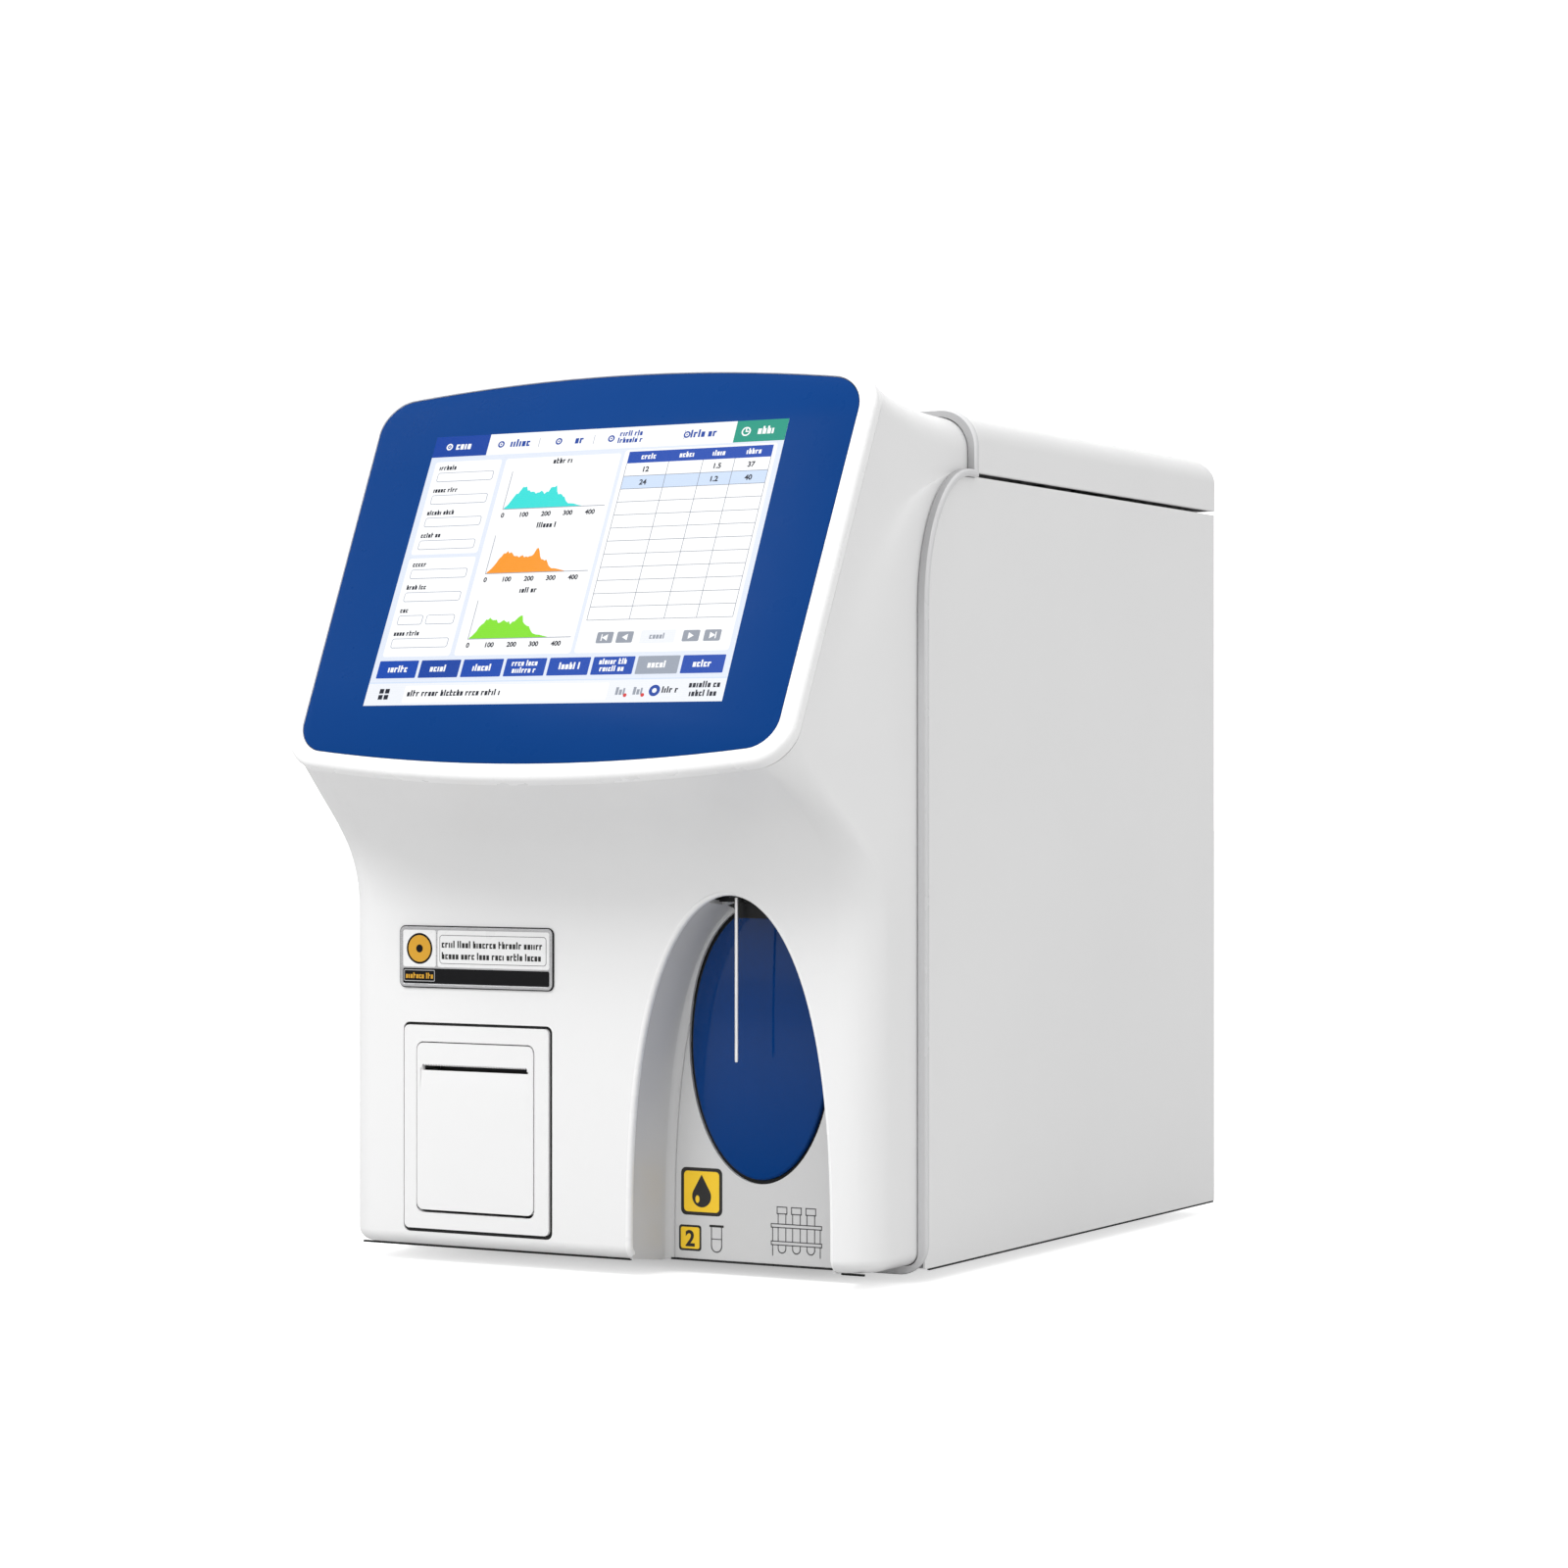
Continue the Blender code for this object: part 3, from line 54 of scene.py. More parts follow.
HALF_W, FRONT_Y, CASE_BOTTOM = 0.1575, -0.0132, 0.0020
CORNER_R, BOTTOM_R, FLARE_Z, WALL = 0.020, 0.007, 0.175, 0.003
HEAD_TOP_RIM, RIM_TOP_R = 0.4320, 0.018
TILT = math.radians(25.26)
FACE_Y, FACE_Z = -0.0024, 0.4253
BEZEL_T = 0.008
OUTER = dict(tc=0.0387, tk=0.625, su=0.1522, ss=0.020, bc=-0.1990, bk=0.515, rt=0.017, rb=0.018)
PANEL = dict(tc=0.0310, tk=0.504, su=0.1436, ss=0.0221, bc=-0.1901, bk=0.488, rt=0.017, rb=0.014)
RIM_Y, RIM_W, RIM_UP_Y = 0.0377, 0.0038, 0.0940
RIM_ELL_C, RIM_ELL = (0.0885, 0.333), (0.0506, 0.0695)
RIM_IN = dict(xs=0.1581, zt=0.4323, zb=0.0017, rt=0.0177, rb=0.0066)
RIM_OUT = dict(xs=0.1630, zt=0.4365, zb=-0.0030, rt=0.0205, rb=0.0160)
SIDE_X, SHEET, BODY_REAR, PANEL_TOP = 0.160, 0.0012, 0.4113, 0.4009
COVER_BOTTOM, COVER_TOP, COVER_REAR, COVER_R, COVER_WALL = 0.4030, 0.4335, 0.4129, 0.014, 0.0025
BAY_X, BAY_HALF, BAY_TOP, BAY_POW, BAY_BACK_Y = 0.0765, 0.0575, 0.1873, 2.75, 0.018
KEY_C, KEY_A, KEY_B = (0.0775, 0.1115), 0.0395, 0.0690
PROBE, PROBE_TIP, PROBE_R = (0.0765, -0.0042), 0.1036, 0.0009
PR_X, PR_Z = (-0.1186, -0.0291), (0.0112, 0.1173)
DOOR_X, DOOR_Z, DOOR_Y = (-0.1104, -0.0383), (0.0211, 0.1082), (-0.0143, -0.0113)
DOOR_AXIS = (-0.0127, 0.0227)
SLOT_Z, SLOT_X = (0.0938, 0.0963), (-0.1072, -0.0420)
LIP = 0.0022
SINT, COST = math.sin(TILT), math.cos(TILT)
FACE_N = Vector((0, -COST, SINT))


# ------------------------------------------------------------------ materials
def _mat(name):
    m = bpy.data.materials.new(name)
    m.use_nodes = True
    nt = m.node_tree
    return m, nt, nt.nodes["Principled BSDF"]


def _node(nt, kind, **props):
    n = nt.nodes.new(kind)
    for k, v in props.items():
        if k in n.inputs:
            n.inputs[k].default_value = v
        else:
            setattr(n, k, v)
    return n


def _coords(nt, scale=(1, 1, 1), rot=(0, 0, 0)):
    tc = nt.nodes.new("ShaderNodeTexCoord")
    mp = nt.nodes.new("ShaderNodeMapping")
    mp.inputs["Scale"].default_value = scale
    mp.inputs["Rotation"].default_value = rot
    nt.links.new(tc.outputs["Object"], mp.inputs["Vector"])
    return mp.outputs["Vector"]


def _noise(nt, vec, scale, detail=3.0, rough=0.5):
    n = nt.nodes.new("ShaderNodeTexNoise")
    n.inputs["Scale"].default_value = scale
    n.inputs["Detail"].default_value = detail
    n.inputs["Roughness"].default_value = rough
    nt.links.new(vec, n.inputs["Vector"])
    return n.outputs["Fac"]


def _ramp(nt, fac, stops):
    r = nt.nodes.new("ShaderNodeValToRGB")
    e = r.color_ramp.elements
    e[0].position, e[0].color = stops[0][0], (*stops[0][1], 1)
    e[1].position, e[1].color = stops[-1][0], (*stops[-1][1], 1)
    for p, c in stops[1:-1]:
        x = e.new(p)
        x.color = (*c, 1)
    nt.links.new(fac, r.inputs["Fac"])
    return r.outputs["Color"]


def _range(nt, fac, lo, hi, a=0.3, b=0.7):
    n = nt.nodes.new("ShaderNodeMapRange")
    n.inputs["From Min"].default_value = a
    n.inputs["From Max"].default_value = b
    n.inputs["To Min"].default_value = lo
    n.inputs["To Max"].default_value = hi
    nt.links.new(fac, n.inputs["Value"])
    return n.outputs["Result"]


def _bump(nt, b, height, strength, dist):
    n = nt.nodes.new("ShaderNodeBump")
    n.inputs["Strength"].default_value = strength
    n.inputs["Distance"].default_value = dist
    nt.links.new(height, n.inputs["Height"])
    nt.links.new(n.outputs["Normal"], b.inputs["Normal"])


def tint(rgb, f):
    return tuple(min(1.0, max(0.0, c * f)) for c in rgb)


def plastic(name, rgb, rough=0.35, grain=1400.0, bump=0.15, dist=0.00006, var=0.03, coat=0.0, spec=0.5, rvar=0.06):
    """Moulded plastic: slight cloudiness, fine eroded mould grain, uneven gloss."""
    m, nt, b = _mat(name)
    v = _coords(nt)
    big = _noise(nt, v, 9.0, 4.0, 0.6)
    nt.links.new(_ramp(nt, big, [(0.3, tint(rgb, 1 - var)), (0.5, rgb), (0.72, tint(rgb, 1 + var * 0.6))]), b.inputs["Base Color"])
    mid = _noise(nt, v, 55.0, 3.0, 0.55)
    nt.links.new(_range(nt, mid, rough - rvar, rough + rvar), b.inputs["Roughness"])
    fine = _noise(nt, v, grain, 2.0, 0.6)
    _bump(nt, b, fine, bump, dist)
    b.inputs["Specular IOR Level"].default_value = spec
    if coat:
        b.inputs["Coat Weight"].default_value = coat
        b.inputs["Coat Roughness"].default_value = 0.06
    return m


def powder(name, rgb, rough=0.42):
    """Powder coat: orange peel with a fine sparkle of tone."""
    m, nt, b = _mat(name)
    v = _coords(nt)
    big = _noise(nt, v, 6.0, 3.0, 0.5)
    speck = _noise(nt, v, 2600.0, 1.0, 0.5)
    mix = nt.nodes.new("ShaderNodeMix")
    mix.data_type = "RGBA"
    mix.inputs["Factor"].default_value = 0.25
    nt.links.new(_ramp(nt, big, [(0.3, tint(rgb, 0.985)), (0.7, tint(rgb, 1.012))]), mix.inputs["A"])
    nt.links.new(_ramp(nt, speck, [(0.35, tint(rgb, 0.95)), (0.65, tint(rgb, 1.03))]), mix.inputs["B"])
    nt.links.new(mix.outputs["Result"], b.inputs["Base Color"])
    nt.links.new(_range(nt, _noise(nt, v, 40.0), rough - 0.05, rough + 0.05), b.inputs["Roughness"])
    peel = _noise(nt, v, 520.0, 2.0, 0.5)
    _bump(nt, b, peel, 0.22, 0.00012)
    return m


def metal(name, rgb, rough=0.3, brush=(1, 1, 40), scale=60.0, bump=0.1, spangle=False):
    """Metal with brushing along one axis, or the spangle of zinc plating."""
    m, nt, b = _mat(name)
    b.inputs["Metallic"].default_value = 1.0
    v = _coords(nt, brush)
    if spangle:
        vo = nt.nodes.new("ShaderNodeTexVoronoi")
        vo.inputs["Scale"].default_value = 130.0
        nt.links.new(_coords(nt), vo.inputs["Vector"])
        fac = vo.outputs["Color"]
        bw = nt.nodes.new("ShaderNodeRGBToBW")
        nt.links.new(fac, bw.inputs["Color"])
        fac = bw.outputs["Val"]
        nt.links.new(_ramp(nt, fac, [(0.2, tint(rgb, 0.88)), (0.8, tint(rgb, 1.08))]), b.inputs["Base Color"])
        nt.links.new(_range(nt, fac, rough - 0.06, rough + 0.08, 0.2, 0.8), b.inputs["Roughness"])
        _bump(nt, b, _noise(nt, _coords(nt), 900.0), 0.08, 0.00005)
    else:
        n = _noise(nt, v, scale, 4.0, 0.6)
        nt.links.new(_ramp(nt, n, [(0.3, tint(rgb, 0.9)), (0.7, tint(rgb, 1.06))]), b.inputs["Base Color"])
        nt.links.new(_range(nt, n, rough - 0.07, rough + 0.08), b.inputs["Roughness"])
        _bump(nt, b, n, bump, 0.00004)
    return m


def clear(name, rgb):
    m, nt, b = _mat(name)
    v = _coords(nt)
    n = _noise(nt, v, 30.0, 3.0)
    nt.links.new(_ramp(nt, n, [(0.3, tint(rgb, 0.97)), (0.7, rgb)]), b.inputs["Base Color"])
    nt.links.new(_range(nt, n, 0.03, 0.09), b.inputs["Roughness"])
    b.inputs["Transmission Weight"].default_value = 0.92
    b.inputs["IOR"].default_value = 1.49
    return m


def screen_mat(name, rgb, glow=0.80, rough=0.24):
    """Lit display colour with the faint lattice of the panel's cells."""
    m, nt, b = _mat(name)
    v = _coords(nt, (1, 1, 1), (-TILT, 0, 0))
    br = nt.nodes.new("ShaderNodeTexBrick")
    br.offset = 0.0
    br.inputs["Scale"].default_value = 1.0
    br.inputs["Brick Width"].default_value = 0.00066
    br.inputs["Row Height"].default_value = 0.00066
    br.inputs["Mortar Size"].default_value = 0.00004
    br.inputs["Color1"].default_value = (*rgb, 1)
    br.inputs["Color2"].default_value = (*tint(rgb, 0.985), 1)
    br.inputs["Mortar"].default_value = (*tint(rgb, 0.93), 1)
    mp = nt.nodes.new("ShaderNodeMapping")
    sep = nt.nodes.new("ShaderNodeSeparateXYZ")
    com = nt.nodes.new("ShaderNodeCombineXYZ")
    nt.links.new(v, sep.inputs["Vector"])
    nt.links.new(sep.outputs["X"], com.inputs["X"])
    nt.links.new(sep.outputs["Z"], com.inputs["Y"])
    nt.links.new(com.outputs["Vector"], br.inputs["Vector"])
    nt.nodes.remove(mp)
    dim = nt.nodes.new("ShaderNodeMix")
    dim.data_type = "RGBA"
    dim.blend_type = "MULTIPLY"
    dim.inputs["Factor"].default_value = 1.0
    dim.inputs["B"].default_value = (0.2, 0.2, 0.2, 1)
    nt.links.new(br.outputs["Color"], dim.inputs["A"])
    nt.links.new(dim.outputs["Result"], b.inputs["Base Color"])
    nt.links.new(br.outputs["Color"], b.inputs["Emission Color"])
    b.inputs["Emission Strength"].default_value = glow
    b.inputs["Roughness"].default_value = rough
    b.inputs["Specular IOR Level"].default_value = 0.08
    return m


def srgb(r, g, b):
    f = lambda c: (c / 255 / 12.92) if c <= 10 else ((c / 255 + 0.055) / 1.055) ** 2.4
    return (f(r), f(g), f(b))


M = {
    "white": plastic("casing_white", srgb(236, 236, 236), 0.34, 1500.0, 0.04, 0.00004, 0.008, spec=0.45),
    "bezel": plastic("bezel_white", srgb(246, 246, 246), 0.28, 1500.0, 0.03, 0.00003, 0.006, spec=0.5),
    "paint": powder("cabinet_paint", srgb(233, 233, 233), 0.42),
    "trim": plastic("trim_grey", srgb(214, 214, 215), 0.24, 1500.0, 0.04, 0.00004, 0.008, spec=0.5),
    "liner": plastic("bay_grey", srgb(203, 203, 203), 0.36, 1300.0, 0.06, 0.00006, 0.02),
    "needle": metal("needle_steel", (0.98, 0.98, 0.98), 0.50, (80, 80, 2), 20.0, 0.02),
    "panel": plastic("panel_blue", srgb(11, 60, 125), 0.30, 600.0, 0.02, 0.00002, 0.03, spec=0.04, rvar=0.04),
    "black": plastic("black_plastic", srgb(30, 30, 31), 0.42, 1200.0, 0.25, 0.00008, 0.10),
    "dark": plastic("dark_grey_plastic", srgb(62, 63, 65), 0.45, 1200.0, 0.25, 0.00008, 0.08),
    "steel": metal("ground_steel", (0.72, 0.72, 0.73), 0.26, (60, 60, 3), 30.0),
    "bright": metal("polished_steel", (0.86, 0.86, 0.87), 0.16, (80, 80, 2), 20.0, 0.04),
    "zinc": metal("zinc_plate", (0.60, 0.61, 0.62), 0.34, spangle=True),
    "alu": metal("satin_aluminium", (0.74, 0.75, 0.76), 0.32, (2, 60, 60), 40.0),
    "brass": metal("turned_brass", (0.76, 0.56, 0.24), 0.28, (60, 4, 60), 40.0),
    "rubber": plastic("black_rubber", srgb(33, 33, 34), 0.75, 900.0, 0.5, 0.0001, 0.12),
    "paper": plastic("thermal_paper", srgb(238, 237, 230), 0.7, 700.0, 0.25, 0.00005, 0.02),
    "acryl": clear("clear_acrylic", (0.93, 0.96, 0.97)),
    "silver": metal("label_silver", (0.62, 0.62, 0.63), 0.30, (2, 80, 80), 60.0),
    "shroud": plastic("shroud_black", srgb(15, 15, 17), 0.34, 1200.0, 0.08, 0.00005, 0.1, spec=0.3),
    # near-black laid behind gaps and along edges: painted shade
    "gap": plastic("gap_painted_shade", srgb(10, 10, 11), 0.7, 900.0, 0.3, 0.0001, 0.1),
}


def key_material():
    """Glossy blue whose mirror gloss grows towards the top of the key."""
    m = plastic("key_blue", srgb(3, 55, 118), 0.05, 400.0, 0.004, 0.00001, 0.05, rvar=0.015)
    nt = m.node_tree
    sep = nt.nodes.new("ShaderNodeSeparateXYZ")
    nt.links.new(_coords(nt), sep.inputs["Vector"])
    nt.links.new(_range(nt, sep.outputs["Z"], 0.04, 0.46, 0.045, 0.185), nt.nodes["Principled BSDF"].inputs["Specular IOR Level"])
    return m


def painted_shade_material():
    """The rim's front face, with painted shade: a tone darker where it curves over the cabinet."""
    m = plastic("trim_painted_shade", srgb(212, 212, 213), 0.34, 1500.0, 0.04, 0.00004, 0.008, spec=0.3)
    nt = m.node_tree
    sep = nt.nodes.new("ShaderNodeSeparateXYZ")
    v = _coords(nt)
    nt.links.new(v, sep.inputs["Vector"])
    # painted shade: the base colour darkens with height over the rim's curves
    far = _range(nt, sep.outputs["Z"], 0.0, 1.0, 0.300, 0.372)
    nt.links.new(_ramp(nt, far, [(0.0, srgb(212, 212, 213)), (0.6, srgb(186, 186, 187)), (1.0, srgb(172, 172, 173))]), nt.nodes["Principled BSDF"].inputs["Base Color"])
    nt.links.new(_range(nt, _noise(nt, v, 55.0), 0.30, 0.38), nt.nodes["Principled BSDF"].inputs["Roughness"])
    return m


def board_material():
    m, nt, b = _mat("board_green")
    v = _coords(nt)
    sep = nt.nodes.new("ShaderNodeSeparateXYZ")
    nt.links.new(v, sep.inputs["Vector"])
    com = nt.nodes.new("ShaderNodeCombineXYZ")
    nt.links.new(sep.outputs["Y"], com.inputs["X"])
    nt.links.new(sep.outputs["Z"], com.inputs["Y"])
    br = nt.nodes.new("ShaderNodeTexBrick")
    br.inputs["Scale"].default_value = 1.0
    br.inputs["Brick Width"].default_value = 0.011
    br.inputs["Row Height"].default_value = 0.0016
    br.inputs["Mortar Size"].default_value = 0.00045
    br.inputs["Color1"].default_value = (*srgb(20, 96, 52), 1)
    br.inputs["Color2"].default_value = (*srgb(16, 82, 46), 1)
    br.inputs["Mortar"].default_value = (*srgb(9, 60, 34), 1)
    nt.links.new(com.outputs["Vector"], br.inputs["Vector"])
    nt.links.new(br.outputs["Color"], b.inputs["Base Color"])
    nt.links.new(_range(nt, _noise(nt, v, 90.0), 0.3, 0.45), b.inputs["Roughness"])
    _bump(nt, b, br.outputs["Fac"], 0.2, 0.00005)
    return m


M["key"] = key_material()
M["shade"] = painted_shade_material()
M["board"] = board_material()


# -------------------------------------------------------------------- helpers
def obj(name, bm, mat, sharp=32.0, recalc=True, shift=True):
    if recalc:
        bmesh.ops.recalc_face_normals(bm, faces=bm.faces[:])
    if shift:
        bmesh.ops.translate(bm, verts=bm.verts[:], vec=SHIFT)
    me = bpy.data.meshes.new(name)
    bm.to_mesh(me)
    bm.free()
    me.shade_smooth()
    me.set_sharp_from_angle(angle=math.radians(sharp))
    ob = bpy.data.objects.new(name, me)
    bpy.context.scene.collection.objects.link(ob)
    for m in (mat if isinstance(mat, (list, tuple)) else [mat]):
        if m:
            me.materials.append(m)
    return ob


def bake(ob, sharp=32.0, weighted=True):
    """Apply the modifiers and mark sharp edges again."""
    dg = bpy.context.evaluated_depsgraph_get()
    dg.update()
    me = bpy.data.meshes.new_from_object(ob.evaluated_get(dg))
    old = ob.data
    ob.modifiers.clear()
    ob.data = me
    me.name = ob.name
    bpy.data.meshes.remove(old)
    me.shade_smooth()
    me.set_sharp_from_angle(angle=math.radians(sharp))
    if weighted:
        w = ob.modifiers.new("Normals", "WEIGHTED_NORMAL")
        w.keep_sharp = True
        w.weight = 80
    return ob


def cut(ob, bm, op="DIFFERENCE", self_=False):
    c = obj("cutter", bm, None)
    m = ob.modifiers.new("b", "BOOLEAN")
    m.operation = op
    m.solver = "EXACT"
    m.use_self = self_
    m.object = c
    dg = bpy.context.evaluated_depsgraph_get()
    me = bpy.data.meshes.new_from_object(ob.evaluated_get(dg))
    old = ob.data
    ob.modifiers.clear()
    ob.data = me
    bpy.data.meshes.remove(old)
    cm = c.data
    bpy.data.objects.remove(c)
    bpy.data.meshes.remove(cm)
    return ob


def bevel(ob, width, seg=2, ang=35.0):
    m = ob.modifiers.new("Bevel", "BEVEL")
    m.width = width
    m.segments = seg
    m.limit_method = "ANGLE"
    m.angle_limit = math.radians(ang)
    m.miter_outer = "MITER_ARC"
    m.use_clamp_overlap = True
    return ob


def piece(ob, body, slot, *nodes):
    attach(ob, body)
    if nodes:
        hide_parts(*nodes)
    return ob


def lerp(a, b, t):
    return a + (b - a) * t


def hermite(p0, t0, p1, t1, s):
    p0, t0, p1, t1 = map(Vector, (p0, t0, p1, t1))
    s2, s3 = s * s, s * s * s
    return (2 * s3 - 3 * s2 + 1) * p0 + (s3 - 2 * s2 + s) * t0 + (3 * s2 - 2 * s3) * p1 + (s3 - s2) * t1


def slant(u, v, off=0.0):
    return Vector((u, FACE_Y + v * SINT - off * COST, FACE_Z + v * COST + off * SINT))


def bezier(p0, p1, p2, p3, t):
    s = 1 - t
    return tuple(s ** 3 * a + 3 * s * s * t * b + 3 * s * t * t * c + t ** 3 * d for a, b, c, d in zip(p0, p1, p2, p3))


def crowned(d, inset=0.0, n_side=7, n_cor=5, n_long=12):
    """Outline with bowed top and bottom and leaning sides, from the left foot, clockwise seen from in front."""
    tc, bc, su = d["tc"] - inset, d["bc"] + inset, d["su"] - inset
    rt, rb = d["rt"] - inset, d["rb"] - inset
    top = lambda u: tc - d["tk"] * u * u
    bot = lambda u: bc + d["bk"] * u * u
    side = lambda v: su + d["ss"] * v
    vt = vb = 0.0
    for _ in range(12):
        vt = top(side(vt))
        vb = bot(side(vb))
    k = 0.5523

    def arc(a, c, b):
        m1 = tuple(lerp(p, q, k) for p, q in zip(a, c))
        m2 = tuple(lerp(p, q, k) for p, q in zip(b, c))
        return [bezier(a, m1, m2, b, i / n_cor) for i in range(n_cor + 1)]

    sl = (side(vb + rb), vb + rb)
    st = (side(vt - rt), vt - rt)
    ut, ub = side(vt) - rt, side(vb) - rb
    right_top = arc(st, (side(vt), vt), (ut, top(ut)))
    right_bot = arc(sl, (side(vb), vb), (ub, bot(ub)))
    pts = [(-side(v), v) for v in (lerp(sl[1], st[1], i / n_side) for i in range(n_side))]
    pts += [(-u, v) for u, v in right_top]
    pts += [(u, top(u)) for u in (lerp(-ut, ut, i / n_long) for i in range(1, n_long))]
    pts += right_top[::-1]
    pts += [(side(v), v) for v in (lerp(st[1], sl[1], i / n_side) for i in range(1, n_side))]
    pts += right_bot
    pts += [(u, bot(u)) for u in (lerp(ub, -ub, i / n_long) for i in range(1, n_long))]
    pts += [(-u, v) for u, v in right_bot[::-1]][:-1]
    return pts


def rounded_rect(x, z, r, n=6):
    pts = []
    for cx, cz, a0 in ((x[1] - r, z[0] + r, -90), (x[1] - r, z[1] - r, 0),
                       (x[0] + r, z[1] - r, 90), (x[0] + r, z[0] + r, 180)):
        for k in range(n + 1):
            a = math.radians(a0 + 90 * k / n)
            pts.append((cx + r * math.cos(a), cz + r * math.sin(a)))
    return pts


def bm_prism(bm, loop_a, loop_b):
    a = [bm.verts.new(p) for p in loop_a]
    b = [bm.verts.new(p) for p in loop_b]
    n = len(a)
    for k in range(n):
        l = (k + 1) % n
        bm.faces.new((a[k], a[l], b[l], b[k]))
    bm.faces.new(a[::-1])
    bm.faces.new(b)


def bm_plate(bm, outline, y0, y1):
    bm_prism(bm, [(p[0], y0, p[1]) for p in outline], [(p[0], y1, p[1]) for p in outline])


def bm_box(bm, x, y, z):
    c = ((x[0] + x[1]) / 2, (y[0] + y[1]) / 2, (z[0] + z[1]) / 2)
    s = (x[1] - x[0], y[1] - y[0], z[1] - z[0])
    bmesh.ops.create_cube(bm, size=1.0, matrix=Matrix.Translation(c) @ Matrix.Diagonal((*s, 1)))


def axis_point(axis, c, r, a, h):
    if axis == "X":
        return (c[0] + h, c[1] + r * math.cos(a), c[2] + r * math.sin(a))
    if axis == "Y":
        return (c[0] + r * math.cos(a), c[1] + h, c[2] + r * math.sin(a))
    return (c[0] + r * math.cos(a), c[1] + r * math.sin(a), c[2] + h)


def bm_lathe(bm, axis, c, profile, seg):
    rings = []
    for r, h in profile:
        if r < 1e-7:
            rings.append([bm.verts.new(axis_point(axis, c, 0, 0, h))])
        else:
            rings.append([bm.verts.new(axis_point(axis, c, r, 2 * math.pi * k / seg, h)) for k in range(seg)])
    n = len(rings)
    pairs = [(i, i + 1) for i in range(n - 1)]
    if len(rings[0]) > 1 and len(rings[-1]) > 1:
        pairs.append((n - 1, 0))
    for i, j in pairs:
        a, b = rings[i], rings[j]
        for k in range(seg):
            l = (k + 1) % seg
            if len(a) == 1 and len(b) > 1:
                bm.faces.new((a[0], b[k], b[l]))
            elif len(b) == 1 and len(a) > 1:
                bm.faces.new((a[k], a[l], b[0]))
            elif len(a) > 1:
                bm.faces.new((a[k], a[l], b[l], b[k]))


def bm_rod(bm, axis, c, r, h0, h1, seg=32):
    bm_lathe(bm, axis, c, [(0, h0), (r, h0), (r, h1), (0, h1)], seg)


def loft(bm, loops, close_rows=False, closed=True):
    """Faces between successive loops of points."""
    vs = [[bm.verts.new(p) for p in lp] for lp in loops]
    n = len(vs[0])
    rows = list(zip(vs, vs[1:])) + ([(vs[-1], vs[0])] if close_rows else [])
    for a, b in rows:
        for k in range(n if closed else n - 1):
            l = (k + 1) % n
            bm.faces.new((a[k], a[l], b[l], b[k]))
    return vs


def offset2d(pts, d):
    """Open line of points moved sideways by d, to its left when walking along it."""
    out = []
    for i, p in enumerate(pts):
        a = Vector(pts[max(i - 1, 0)])
        b = Vector(pts[min(i + 1, len(pts) - 1)])
        t = (b - a).normalized()
        out.append((p[0] - t.y * d, p[1] + t.x * d))
    return out


# --------------------------------------------------------------- front casing
N_SIDE, N_COR, N_LONG, SUB = 12, 12, 40, 3
N_HS = 7 * SUB
crown = crowned(OUTER, 0.0006, N_HS, N_COR, N_LONG)
crown_off = [slant(u, v, -BEZEL_T - 0.0003) for u, v in crown]
N_UP = N_HS + N_COR + N_LONG + N_COR + N_HS
upper = crown_off[:N_UP + 1]
lower = (crown_off[N_UP:] + [crown_off[0]])[::-1]


def casing_section(z, inset):
    xs, yf, r = HALF_W - inset, FRONT_Y + inset, CORNER_R - inset
    left = [Vector((-xs, lerp(RIM_Y, yf + r, i / N_SIDE), z)) for i in range(N_SIDE)]
    left += [Vector((-xs + r - r * math.cos(a), yf + r - r * math.sin(a), z))
             for a in (math.pi / 2 * j / N_COR for j in range(N_COR + 1))]
    front = [Vector((lerp(-xs + r, xs - r, k / N_LONG), yf, z)) for k in range(1, N_LONG)]
    return left + front + [Vector((-p.x, p.y, p.z)) for p in left[::-1]]


def rim_side_points():
    a = crown_off[0]
    pts = [(RIM_Y, lerp(a.z, RIM_ELL_C[1], i / SUB)) for i in range(SUB)]
    for k in range(4 * SUB + 1):
        f = math.pi / 2 * k / (4 * SUB)
        pts.append((RIM_ELL_C[0] - RIM_ELL[0] * math.cos(f), RIM_ELL_C[1] + RIM_ELL[1] * math.sin(f)))
    zt = RIM_ELL_C[1] + RIM_ELL[1]
    pts += [(lerp(RIM_ELL_C[0], RIM_UP_Y, i / SUB), zt) for i in range(1, SUB + 1)]
    pts += [(RIM_UP_Y, lerp(zt, HEAD_TOP_RIM - RIM_TOP_R, i / SUB)) for i in range(1, SUB + 1)]
    return pts


def side_line(i):
    a = crown_off[0]
    r = Vector((-HALF_W, RIM_Y, a.z))
    d = (a - r).length
    return hermite(r, (0, -d, 0), a, FACE_N * d, i / N_SIDE)


def front_y(z):
    """Front surface at height z, following the rounded bottom edge."""
    c = CASE_BOTTOM + BOTTOM_R
    if z >= c:
        return FRONT_Y
    return FRONT_Y + BOTTOM_R - math.sqrt(max(0.0, BOTTOM_R ** 2 - (c - max(z, CASE_BOTTOM)) ** 2))


def bay_outline(scale_w=1.0, top=BAY_TOP, foot=-0.010, n=48, feet=6):
    half = []
    for k in range(n + 1):
        a = math.pi / 2 * k / n
        z = top * math.sin(a) ** (2 / BAY_POW) if k else 0.0
        half.append((BAY_HALF * scale_w * math.sqrt(max(0.0, 1 - (z / top) ** BAY_POW)), z))
    w0 = half[0][0]
    low = [(w0, lerp(foot, 0.0, i / feet)) for i in range(feet)]
    half = low + half
    left = [(BAY_X - w, z) for w, z in half]
    return left + [(BAY_X + w, z) for w, z in half[:-1][::-1]]


